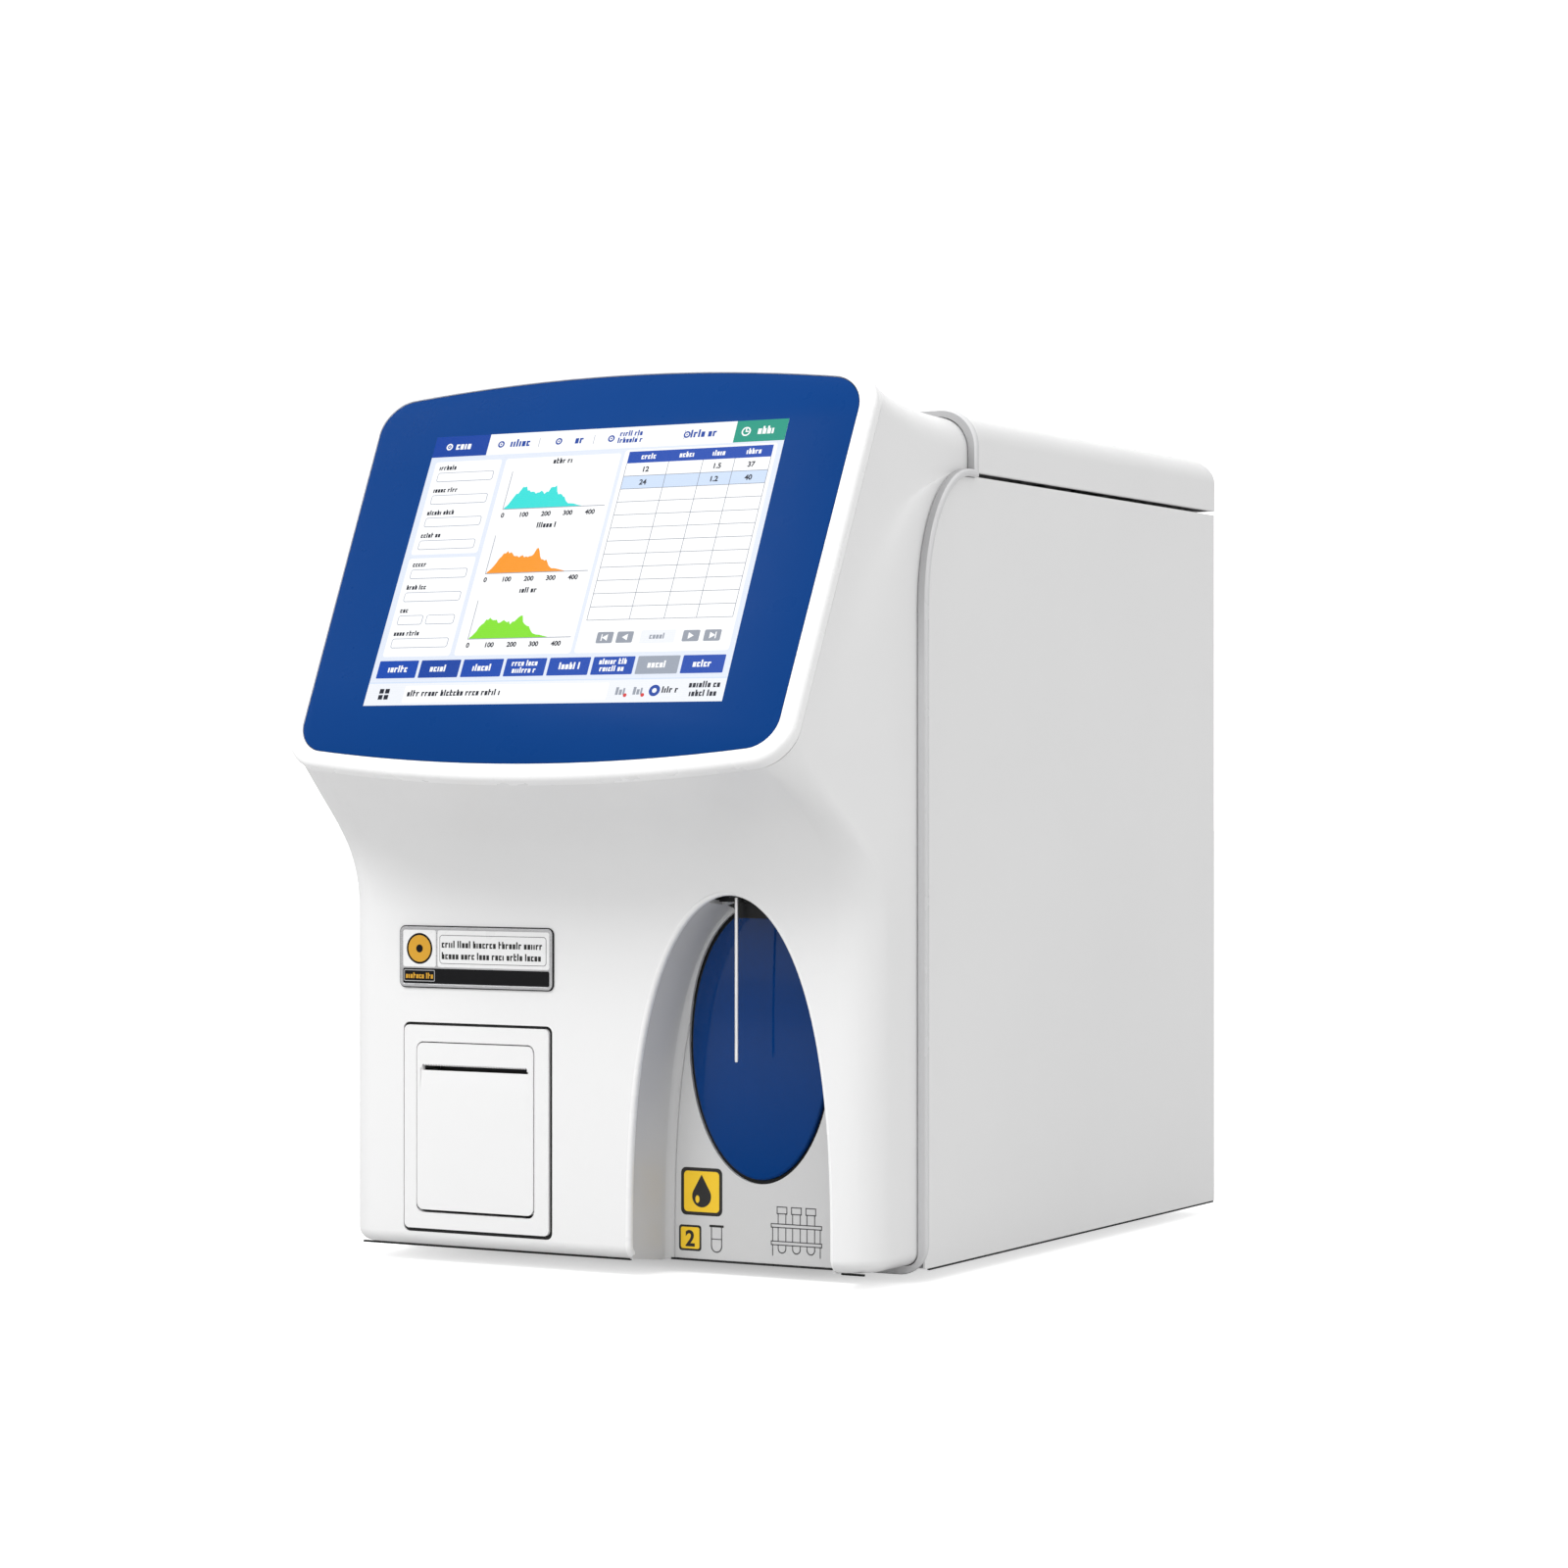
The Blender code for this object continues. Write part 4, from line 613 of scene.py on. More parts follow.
def make_casing():
    bm = bmesh.new()
    rows = []
    for k in range(9):
        a = math.pi / 2 * k / 8
        rows.append(casing_section(CASE_BOTTOM + BOTTOM_R * (1 - math.cos(a)), BOTTOM_R * (1 - math.sin(a))))
    for z in (0.03, 0.06, 0.09, 0.12, 0.15, FLARE_Z):
        rows.append(casing_section(z, 0.0))
    base = rows[-1]
    side = [side_line(i) for i in range(N_SIDE)]
    top = side + lower + [Vector((-p.x, p.y, p.z)) for p in side[::-1]]
    n = len(top)
    steps = 28
    for s in range(1, steps + 1):
        t = s / steps
        row = []
        for i in range(n):
            j = min(i, n - 1 - i)
            p0, p1 = base[i], top[i]
            rise = p1.z - p0.z
            lean = Vector((0, -0.45, 0.89))
            if j < N_SIDE:
                f = j / N_SIDE
                t0 = Vector((0, 0, lerp(rise, 0.12, f)))
                t1 = Vector((0, 0, rise)).lerp(lean * 0.13, f)
            else:
                t0 = Vector((0, 0, 0.12))
                t1 = lean.lerp(FACE_N, min(1.0, (j - N_SIDE) / N_COR)).normalized() * 0.13
            row.append(hermite(p0, t0, p1, t1, t))
        rows.append(row)
    vs = loft(bm, rows, closed=False)
    bm.faces.new(vs[0])
    sp = rim_side_points()
    rim = [Vector((-HALF_W, y, z)) for y, z in sp[:-1]]
    rim += [Vector((-HALF_W + RIM_TOP_R * (1 - math.cos(a)), RIM_UP_Y, HEAD_TOP_RIM - RIM_TOP_R * (1 - math.sin(a))))
            for a in (math.pi / 2 * j / N_COR for j in range(N_COR + 1))]
    rim += [Vector((lerp(-HALF_W + RIM_TOP_R, HALF_W - RIM_TOP_R, k / N_LONG), RIM_UP_Y, HEAD_TOP_RIM))
            for k in range(1, N_LONG)]
    rim += [Vector((-p.x, p.y, p.z)) for p in rim[:len(sp) - 1 + N_COR + 1][::-1]]
    strip = []
    for w in range(N_SIDE + 1):
        t = w / N_SIDE
        row = []
        for i, (b, r) in enumerate(zip(upper, rim)):
            d = (r - b).length
            j = min(i, len(rim) - 1 - i)
            if j == 0:
                p = hermite(r, (0, -d, 0), b, FACE_N * d, 1 - t)
            else:
                p = hermite(b, -FACE_N * d * 0.9, r, (0, d, 0), t)
            row.append(p)
        strip.append(row)
    loft(bm, strip, closed=False)
    bmesh.ops.remove_doubles(bm, verts=bm.verts[:], dist=2e-5)
    bmesh.ops.recalc_face_normals(bm, faces=bm.faces[:])
    f = min(bm.faces, key=lambda q: (q.calc_center_median() - Vector((0, FRONT_Y, 0.09))).length)
    if f.normal.y > 0:
        bmesh.ops.reverse_faces(bm, faces=bm.faces[:])
    ob = obj("front_casing_fine", bm, M["white"], recalc=False)
    s = ob.modifiers.new("Wall", "SOLIDIFY")
    s.thickness = WALL
    s.offset = -1
    s.use_even_offset = True
    bake(ob, weighted=False)
    # the wall's inner face folds outward at one tight corner on each side
    for v in ob.data.vertices:
        if abs(v.co.x) > HALF_W + 0.0001:
            v.co.x = math.copysign(HALF_W - 0.0045, v.co.x)
    # arch, floor of the bay, printer opening
    lp = offset2d(bay_outline(), LIP)
    c = bmesh.new()
    bm_plate(c, lp, -0.060, FRONT_Y + WALL + 0.0004)
    cut(ob, c)
    c = bmesh.new()
    bm_box(c, (BAY_X - BAY_HALF - LIP, BAY_X + BAY_HALF + LIP), (FRONT_Y + 0.0010, 0.0215), (-0.010, 0.0100))
    cut(ob, c)
    c = bmesh.new()
    bm_plate(c, rounded_rect((PR_X[0] - 0.0010, PR_X[1] + 0.0018), (PR_Z[0] - 0.0019, PR_Z[1] + 0.0015), 0.0036), -0.05, 0.010)
    cut(ob, c)
    # rolled lip of the arch, carried round the lower edge of the casing
    zc, yc = CASE_BOTTOM + BOTTOM_R, FRONT_Y + BOTTOM_R
    arch = [p for p in bay_outline() if p[1] > zc + 0.0005]
    outer = offset2d(bay_outline(), 1.0)
    side = {p: (q[0] - p[0], q[1] - p[1]) for p, q in zip(bay_outline(), outer)}
    stations = [(Vector((p[0], FRONT_Y, p[1])), Vector((side[p][0], 0, side[p][1])), Vector((0, 1, 0))) for p in arch]
    first, last = arch[0], arch[-1]
    low_l, low_r = [], []
    for k in range(9):
        t = math.pi / 2 * k / 8
        n = Vector((0, math.cos(t), math.sin(t)))
        q = Vector((0, yc, zc)) - BOTTOM_R * n
        low_l.append((q + Vector((first[0], 0, 0)), Vector((-1, 0, 0)), n))
        low_r.append((q + Vector((last[0], 0, 0)), Vector((1, 0, 0)), n))
    stations = low_l[::-1] + stations + low_r
    prof = [(LIP, 0.0)]
    prof += [(LIP * (1 - math.sin(a)), LIP * (1 - math.cos(a))) for a in (math.pi / 2 * k / 8 for k in range(1, 9))]
    prof += [(0.0, WALL + 0.0004), (LIP, WALL + 0.0004)]
    c = bmesh.new()
    vs = loft(c, [[p + o * g + n * d for p, o, n in stations] for g, d in prof], close_rows=True, closed=False)
    c.faces.new([r[0] for r in vs])
    c.faces.new([r[-1] for r in vs][::-1])
    lip = obj("lip_tmp", c, M["white"])
    # the lip takes the brighter bezel white: a painted highlight along the arch's edge
    for q in lip.data.polygons:
        q.material_index = 1
    ob.data.materials.append(M["bezel"])
    bm = bmesh.new()
    bm.from_mesh(ob.data)
    bm.from_mesh(lip.data)
    bm.to_mesh(ob.data)
    bm.free()
    lm = lip.data
    bpy.data.objects.remove(lip)
    bpy.data.meshes.remove(lm)
    bake(ob, 30.0)
    return ob


piece(make_casing(), "chassis", "white_abs", "front_casing")


# ------------------------------------------------------------------- rim ring
def make_rim():
    w = RIM_W / 2
    path = [(RIM_Y, z) for z in (0.05, 0.10, 0.16, 0.22, 0.28)] + [(RIM_Y, RIM_ELL_C[1])]
    for k in range(1, 25):
        f = math.pi / 2 * k / 24
        path.append((RIM_ELL_C[0] - RIM_ELL[0] * math.cos(f), RIM_ELL_C[1] + RIM_ELL[1] * math.sin(f)))
    path.append((RIM_UP_Y, RIM_ELL_C[1] + RIM_ELL[1]))
    n = len(path)
    side = []
    for i in range(n):
        p = Vector(path[i])
        a = (p - Vector(path[i - 1])).normalized() if i else Vector((0, 1))
        b = (Vector(path[i + 1]) - p).normalized() if i < n - 1 else Vector((0, 1))
        t = (a + b).normalized()
        side.append((p, Vector((-t.y, t.x)) * (w / max(0.5, a.dot(t)))))

    def corner(d, top, k, cnt=14):
        a = math.pi / 2 * k / cnt
        if top:
            return d["xs"] - d["rt"] + d["rt"] * math.cos(a), d["zt"] - d["rt"] + d["rt"] * math.sin(a)
        return d["xs"] - d["rb"] + d["rb"] * math.sin(a), d["zb"] + d["rb"] - d["rb"] * math.cos(a)

    # section: (share of the way out, share of the half width), rounded outer edges
    r = 0.0014
    sec = [(0.0, 1.0)]
    for k in range(7):
        a = math.pi / 2 * k / 6
        sec.append((1 - r * (1 - math.sin(a)) / 0.0049, 1 - r * (1 - math.cos(a)) / w))
    for k in range(7):
        a = math.pi / 2 * (1 - k / 6)
        sec.append((1 - r * (1 - math.sin(a)) / 0.0049, -1 + r * (1 - math.cos(a)) / w))
    sec.append((0.0, -1.0))
    right = []
    for k in range(15):
        xi, zi = corner(RIM_IN, False, k)
        xo, zo = corner(RIM_OUT, False, k)
        right.append([(lerp(xi, xo, f), RIM_Y - w * s, lerp(zi, zo, f)) for f, s in sec])
    for p, m in side:
        right.append([(lerp(RIM_IN["xs"], RIM_OUT["xs"], f), p.x + m.x * s, p.y + m.y * s) for f, s in sec])
    for k in range(15):
        xi, zi = corner(RIM_IN, True, k)
        xo, zo = corner(RIM_OUT, True, k)
        right.append([(lerp(xi, xo, f), RIM_UP_Y - w * s, lerp(zi, zo, f)) for f, s in sec])
    loops = right + [[(-x, y, z) for x, y, z in s] for s in right[::-1]]
    bm = bmesh.new()
    loft(bm, loops, close_rows=True)
    # the front face of the right and left curves carries painted shade, a tone darker
    bm.verts.index_update()
    for f in bm.faces:
        f.material_index = 1 if {v.index % len(sec) for v in f.verts} == {0, 1} else 0
    return obj("rim_trim_fine", bm, [M["trim"], M["shade"]], 50.0)


piece(make_rim(), "chassis", "white_abs", "rim_trim")


# ------------------------------------------------------------- bezel and panel
def make_bezel():
    r = 0.0036
    rows = [(OUTER, 0.0009, -BEZEL_T), (OUTER, 0.0009, -BEZEL_T + 0.0005), (OUTER, 0.0, -BEZEL_T + 0.0009)]
    for k in range(9):
        a = math.pi / 2 * k / 8
        rows.append((OUTER, r * (1 - math.cos(a)), -r * (1 - math.sin(a))))
    e = 0.0007
    for k in range(4):
        a = math.pi / 2 * (1 - k / 3)
        rows.append((PANEL, -0.0002 - e * (1 - math.cos(a)), -e * (1 - math.sin(a))))
    rows.append((PANEL, -0.0002, -BEZEL_T))
    bm = bmesh.new()
    loft(bm, [[slant(u, v, off) for u, v in crowned(d, ins, 30, 14, 48)] for d, ins, off in rows], close_rows=True)
    return obj("display_bezel_fine", bm, M["bezel"], 40.0)


piece(make_bezel(), "chassis", "white_abs", "display_bezel")
bm = bmesh.new()
lo = [slant(u, v, -0.0036) for u, v in crowned(PANEL, 0.0002, 30, 14, 48)]
mid = [slant(u, v, -0.0007) for u, v in crowned(PANEL, 0.0002, 30, 14, 48)]
hi = [slant(u, v, -0.0004) for u, v in crowned(PANEL, 0.0006, 30, 14, 48)]
vs = loft(bm, [lo, mid, hi])
bm.faces.new(vs[0])
bm.faces.new(vs[-1])
piece(obj("touch_panel_fine", bm, M["panel"], 50.0), "chassis", "blue_panel", "touch_panel")


# -------------------------------------------------------------- screen picture
def placeholder(w, h, seed, t=0.17):
    """Boxes (x0, y0, x1, y1), y upward: strokes grouped like small type, with no letters meant."""
    rnd = random.Random(seed)
    out, x, word = [], 0.0, rnd.randint(4, 7)
    low, s = h * 0.70, h * t
    while True:
        kind = rnd.randint(0, 6)
        bw = s * 1.1 if kind in (4, 6) else h * 0.46
        if x + bw > w:
            return out
        tall = h if kind == 4 or rnd.random() < 0.16 else low
        out.append((x, 0.0, x + s, tall))
        if kind not in (4, 6):
            if kind in (0, 1, 2):
                out.append((x + bw - s, 0.0, x + bw, low))
            if kind in (0, 2, 3, 5):
                out.append((x + s, low - s * 0.9, x + bw - (s if kind in (0, 2) else 0.0), low))
            if kind in (1, 2, 3):
                out.append((x + s, 0.0, x + bw - (s if kind in (1, 2) else 0.0), s * 0.9))
        x += bw + h * 0.13
        word -= 1
        if word <= 0:
            x += h * 0.32
            word = rnd.randint(4, 7)


class Canvas:
    """Flat shapes laid in thin layers on the lit area, in 800 x 600 units."""

    def __init__(self):
        self.bm = bmesh.new()
        self.names = []
        self.layer = 0

    def color(self, key):
        if key not in self.names:
            self.names.append(key)
        return self.names.index(key)

    def point(self, x, y, layer):
        return slant(-0.1057 + 0.2114 * x / 800.0, -0.1572 * y / 600.0, -0.00038 + 0.000028 * layer)

    def poly(self, pts, key, layer):
        f = self.bm.faces.new([self.bm.verts.new(self.point(x, y, layer)) for x, y in pts])
        f.material_index = self.color(key)
        f.normal_update()
        if f.normal.dot(FACE_N) < 0:
            f.normal_flip()

    def rect(self, x0, y0, x1, y1, key, layer, r=0.0):
        if r > 0:
            self.poly(rounded_rect((x0, x1), (y0, y1), r, 4), key, layer)
        else:
            self.poly([(x0, y0), (x1, y0), (x1, y1), (x0, y1)], key, layer)

    def frame(self, x0, y0, x1, y1, key, fill, layer, r=3.0, t=1.3):
        self.rect(x0, y0, x1, y1, key, layer, r)
        self.rect(x0 + t, y0 + t, x1 - t, y1 - t, fill, layer + 1, max(0.1, r - t))

    def disc(self, cx, cy, r, key, layer, n=20):
        self.poly([(cx + r * math.cos(2 * math.pi * k / n), cy + r * math.sin(2 * math.pi * k / n)) for k in range(n)], key, layer)

    def greek(self, x, y, w, h, key, layer, seed):
        """A line of placeholder marks, like type too small to read."""
        for x0, y0, x1, y1 in placeholder(w, h * 1.22, seed, 0.24):
            self.rect(x + x0, y + h - y1, x + x1, y + h - y0, key, layer)

    def text(self, body, x, y, h, key, layer, center=True):
        cu = bpy.data.curves.new("num", "FONT")
        cu.body = body
        cu.size = 1.0
        cu.resolution_u = 3
        cu.offset = 0.035
        ob = bpy.data.objects.new("num", cu)
        bpy.context.scene.collection.objects.link(ob)
        dg = bpy.context.evaluated_depsgraph_get()
        me = bpy.data.meshes.new_from_object(ob.evaluated_get(dg))
        xs = [v.co.x for v in me.vertices]
        s = h / 0.73
        cx = (min(xs) + max(xs)) / 2 if center else min(xs)
        for p in me.polygons:
            pts = [me.vertices[i].co for i in p.vertices]
            self.poly([(x + (q.x - cx) * s, y - q.y * s) for q in pts], key, layer)
        bpy.data.objects.remove(ob)
        bpy.data.curves.remove(cu)
        bpy.data.meshes.remove(me)


UI = {
    "back": srgb(226, 233, 246), "white": srgb(253, 254, 255), "navy": srgb(4, 64, 160), "blue": srgb(4, 70, 174),
    "sky": srgb(205, 222, 246), "green": srgb(8, 150, 126), "line": srgb(150, 158, 176), "rule": srgb(128, 134, 148), "grey": srgb(150, 156, 168),
    "ink": srgb(26, 30, 44), "cyan": srgb(52, 222, 216), "orange": srgb(246, 152, 36), "lime": srgb(132, 224, 42),
    "red": srgb(214, 60, 60), "pale": srgb(238, 241, 247), "mid": srgb(154, 162, 176),
}


def histogram(cv, x0, x1, base, h, key, seed):
    rnd = random.Random(seed)
    n = 44
    pts = []
    for k in range(n + 1):
        f = k / n
        e = 0.60 * math.exp(-((f - 0.20) / 0.13) ** 2) + 0.42 * math.exp(-((f - 0.42) / 0.12) ** 2) + 0.62 * math.exp(-((f - 0.59) / 0.075) ** 2) + 0.26 * math.exp(-((f - 0.72) / 0.06) ** 2) + 0.09
        e = e * (0.88 + 0.20 * rnd.random()) * min(1, 0.25 + f * 9) * min(1, (1 - f) * 8)
        pts.append((lerp(x0, x1, f), base - h * min(1, e)))
    for a, b in zip(pts, pts[1:]):
        cv.poly([(a[0], base), (b[0], base), b, a], key, 4)


def make_screen():
    cv = Canvas()
    cv.rect(0, 0, 800, 600, "back", 0)
    # tabs
    cv.rect(0, 0, 800, 47, "white", 1)
    cv.rect(0, 0, 128, 47, "navy", 2)
    cv.rect(688, 0, 800, 47, "green", 2)
    for x in (246, 372, 470, 576):
        cv.rect(x, 14, x + 1.2, 34, "line", 2)
    for i, (x, w, key) in enumerate(((52, 42, "white"), (180, 50, "navy"), (330, 22, "navy"), (430, 52, "navy"), (590, 62, "navy"), (738, 40, "white"))):
        if i == 3:
            cv.greek(x, 10, w, 10, key, 3, 30 + i)
            cv.greek(x - 2, 25, w + 4, 10, key, 3, 90 + i)
        else:
            cv.greek(x, 17, w, 14, key, 3, 10 + i)
    for x, key, inner in ((36, "white", "navy"), (158, "navy", "white"), (292, "navy", "white"), (412, "navy", "white"), (574 + 8, "navy", "white")):
        cv.disc(x, 24, 7.5, key, 3)
        cv.disc(x, 24, 4.2, inner, 4)
        cv.disc(x, 24, 1.8, key, 5)
    cv.disc(712, 24, 10, "white", 3)
    cv.disc(712, 24, 7, "green", 4)
    cv.rect(710.6, 17, 713.2, 25, "white", 5)
    cv.rect(710.6, 23, 718, 25.4, "white", 5)
    # fields
    for g, (y0, y1) in enumerate(((58, 268), (276, 494))):
        cv.rect(14, y0, 170, y1, "white", 1, 6)
        for k in range(4):
            y = y0 + 10 + 51 * k
            cv.greek(26, y, (46, 62, 66, 50, 34, 46, 22, 62)[g * 4 + k], 9, "ink", 2, 50 + g * 4 + k)
            if g == 1 and k == 2:
                cv.frame(26, y + 15, 84, y + 36, "line", "white", 2, 5)
                cv.frame(92, y + 15, 158, y + 36, "line", "white", 2, 5)
            else:
                cv.frame(26, y + 15, 158, y + 36, "line", "white", 2, 5)
    # charts
    cv.rect(180, 58, 444, 494, "white", 1, 6)
    for k, key in enumerate(("cyan", "orange", "lime")):
        y = 64 + 143 * k
        cv.greek(292, y, 44, 10, "ink", 2, 70 + k)
        base = y + 108
        for t in range(5):
            cv.rect(204 + 46 * t, y + 30, 204.9 + 46 * t, base, "pale", 2)
        histogram(cv, 205, 384, base, 66, key, 5 + k)
        cv.rect(202, base, 436, base + 1.6, "grey", 5)
        cv.rect(202, y + 24, 203.4, base, "grey", 5)
        for t in range(5):
            cv.text(str(100 * t), 206 + 50 * t, base + 19, 10.5, "ink", 5)
    # table
    cv.rect(452, 52, 788, 494, "white", 1, 6)
    cx = (462, 556, 632, 702, 780)
    cv.rect(462, 56, 780, 82, "blue", 2)
    for k in range(4):
        cv.greek((cx[k] + cx[k + 1]) / 2 - 17, 64, 34, 10, "white", 3, 80 + k)
    for r in range(12):
        y = 82 + 28.5 * r
        if r == 1:
            cv.rect(462, y, 780, y + 28.5, "sky", 2)
        cv.rect(462, y + 27.9, 780, y + 29.1, "rule", 3)
    for x in cx:
        cv.rect(x - 0.6, 82, x + 0.6, 82 + 28.5 * 12, "rule", 3)
    for r, row in enumerate((("12", "", "1.5", "37"), ("24", "", "1.2", "40"))):
        for k, s in enumerate(row):
            if s:
                cv.text(s, (cx[k] + cx[k + 1]) / 2, 102 + 28.5 * r, 11.5, "ink", 4)
    # navigation
    for x0, kind in ((494, 2), (538, 1), (682, 1), (728, 2)):
        cv.rect(x0, 450, x0 + 36, 474, "grey", 2, 3)
        s = -1 if x0 < 600 else 1
        cxx = x0 + 18
        cv.poly([(cxx - 6 * s, 455), (cxx + 6 * s, 462), (cxx - 6 * s, 469)], "white", 3)
        if kind == 2:
            cv.rect(cxx + 7 * s - 1.2, 455, cxx + 7 * s + 1.2, 469, "white", 3)
    cv.rect(590, 448, 666, 476, "pale", 2, 3)
    cv.greek(610, 457, 36, 10, "grey", 3, 99)
    # lower buttons
    for k in range(8):
        x0 = 12 + 97.6 * k
        cv.rect(x0, 503, x0 + 91, 541, "mid" if k == 6 else ("navy" if k == 1 else "blue"), 2, 2)
        if k in (3, 5):
            cv.greek(x0 + 14, 509, 62, 10, "white", 3, 110 + k)
            cv.greek(x0 + 18, 524, 54, 10, "white", 3, 130 + k)
        else:
            cv.greek(x0 + 24, 516, 46, 12, "white", 3, 110 + k)
    # status line
    cv.rect(0, 550, 800, 600, "sky", 1)
    cv.rect(0, 552, 800, 600, "pale", 2)
    for ax in (0, 1):
        for ay in (0, 1):
            cv.rect(30 + 13 * ax, 564 + 13 * ay, 40 + 13 * ax, 574 + 13 * ay, "ink", 3)
    cv.rect(88, 558, 548, 594, "white", 3, 3)
    cv.greek(96, 570, 214, 11, "ink", 4, 140)
    for x in (566, 604):
        cv.rect(x, 568, x + 6, 584, "grey", 3)
        cv.rect(x + 8, 573, x + 14, 584, "grey", 3)
        cv.rect(x + 16, 570, x + 20, 584, "grey", 3)
        cv.disc(x + 22, 585, 4, "red", 4)
    cv.disc(650, 576, 12, "navy", 3)
    cv.disc(650, 576, 5, "pale", 4)
    cv.greek(666, 570, 40, 11, "ink", 3, 141)
    cv.greek(722, 560, 68, 11, "ink", 3, 142)
    cv.greek(726, 578, 60, 11, "ink", 3, 143)
    mats = [screen_mat("screen_" + k, UI[k]) for k in cv.names]
    ob = obj("screen_picture", cv.bm, mats, 30.0, recalc=False)
    return ob


piece(make_screen(), "chassis", "blue_panel")


# ----------------------------------------------------------------- sampling bay
def make_liner():
    y0, y1 = FRONT_Y + WALL + 0.0009, BAY_BACK_Y
    rf = 0.0046
    ys = [lerp(y0, y1 - rf, k / 8) for k in range(9)]
    prof = []
    for y in ys:
        t = (y - y0) / (y1 - y0)
        prof.append((y, lerp(1.004, 0.925, t), lerp(BAY_TOP + 0.0002, 0.1850, t), 0.0))
    t = (ys[-1] - y0) / (y1 - y0)
    sw, tp = lerp(1.004, 0.925, t), lerp(BAY_TOP + 0.0002, 0.1850, t)
    for k in range(0, 11):
        a = math.radians(lerp(24, 90, k / 10))
        o = rf * (1 - math.cos(math.radians(24)))
        prof.append((y1 - rf + rf * math.sin(a) - 0.0002, sw, tp, rf * (1 - math.cos(a)) - o + 0.0002))
    e = prof[-1][3]
    prof += [(y1 + 0.0006, sw, tp, e + 0.00025), (y1 + 0.0006, sw, tp, e + 0.00045), (y1, sw, tp, e + 0.0008)]
    loops = []
    for y, s, tp, ins in prof:
        line = bay_outline(s, tp, -0.0004, 48)
        loops.append([(x, y, z) for x, z in offset2d(line, -ins)] if ins else [(x, y, z) for x, z in line])
    bm = bmesh.new()
    vs = loft(bm, loops, closed=False)
    bm.faces.new(vs[-1])
    bmesh.ops.recalc_face_normals(bm, faces=bm.faces[:])
    back = max(bm.faces, key=lambda q: len(q.verts))
    if back.normal.y > 0:
        bmesh.ops.reverse_faces(bm, faces=bm.faces[:])
    ob = obj("sampling_bay_liner_fine", bm, M["liner"], recalc=False)
    s = ob.modifiers.new("Wall", "SOLIDIFY")
    s.thickness = 0.0018
    s.offset = -1
    s.use_even_offset = True
    bake(ob, weighted=False)
    c = bmesh.new()
    bm_plate(c, ellipse(KEY_A + 0.0021, KEY_B + 0.0021, 96), 0.010, 0.030)
    cut(ob, c)
    c = bmesh.new()
    bm_box(c, (PROBE[0] - 0.0135, PROBE[0] + 0.0135), (PROBE[1] - 0.0045, PROBE[1] + 0.0095), (0.150, 0.200))
    cut(ob, c)
    c = bmesh.new()
    bm_box(c, (0.0, 0.150), (y0 - 0.004, y1 - 0.004), (-0.020, 0.0024))
    for v in c.verts:
        if v.co.z > 0 and v.co.y > y0:
            v.co.z = -0.0006
    cut(ob, c)
    return bake(ob, 28.0)


def ellipse(a, b, n=96, c=KEY_C):
    return [(c[0] + a * math.cos(2 * math.pi * k / n), c[1] + b * math.sin(2 * math.pi * k / n)) for k in range(n)]


piece(make_liner(), "chassis", "bay_plastic", "sampling_bay_liner")

bm = bmesh.new()
rings = [(1.0, 0.0245), (1.0, 0.0186)]
for k in range(1, 9):
    a = math.pi / 2 * k / 8
    rings.append((1.0 - 0.024 * (1 - math.cos(a)), 0.0186 - 0.0013 * math.sin(a)))
for k in range(1, 15):
    f = k / 14
    rings.append((lerp(0.976, 0.03, f), 0.0173 - 0.0017 * (1 - (1 - f) ** 2)))
vs = loft(bm, [[(x, y, z) for x, z in ellipse(KEY_A * s, KEY_B * s)] for s, y in rings])
bm.faces.new(vs[0])
bm.faces.new(vs[-1])
piece(obj("aspirate_key_fine", bm, M["key"], 60.0), "key", "blue_key", "aspirate_key")
# dark ring behind the gap round the key: painted shade in the gap
bm = bmesh.new()
ring = [(ellipse(KEY_A + g, KEY_B + g), y) for g, y in ((0.0003, 0.0200), (0.0040, 0.0200), (0.0040, 0.0206), (0.0003, 0.0206))]
loft(bm, [[(x, y, z) for x, z in e] for e, y in ring], close_rows=True)
piece(obj("key_gap_shade", bm, M["gap"]), "chassis", "rubber")


def flat_marks(name, shapes, to_point, normal, mats):
    """Thin printed shapes: each is (points, material number, layer)."""
    b = bmesh.new()
    for pts, mi, layer in shapes:
        f = b.faces.new([b.verts.new(to_point(p, layer)) for p in pts])
        f.material_index = mi
        f.normal_update()
        if f.normal.dot(normal) < 0:
            f.normal_flip()
    return obj(name, b, mats, recalc=False)


def digits(body, x, z, h, bold=0.0):
    """Outline pieces of a plain number, h tall, centred on x, standing on z."""
    cu = bpy.data.curves.new("num", "FONT")
    cu.body = body
    cu.resolution_u = 6
    cu.offset = bold
    ob = bpy.data.objects.new("num", cu)
    bpy.context.scene.collection.objects.link(ob)
    me = bpy.data.meshes.new_from_object(ob.evaluated_get(bpy.context.evaluated_depsgraph_get()))
    xs = [v.co.x for v in me.vertices]
    cx, s = (min(xs) + max(xs)) / 2, h / 0.73
    out = [[(x + (me.vertices[i].co.x - cx) * s, z + me.vertices[i].co.y * s) for i in p.vertices] for p in me.polygons]
    bpy.data.objects.remove(ob)
    bpy.data.curves.remove(cu)
    bpy.data.meshes.remove(me)
    return out


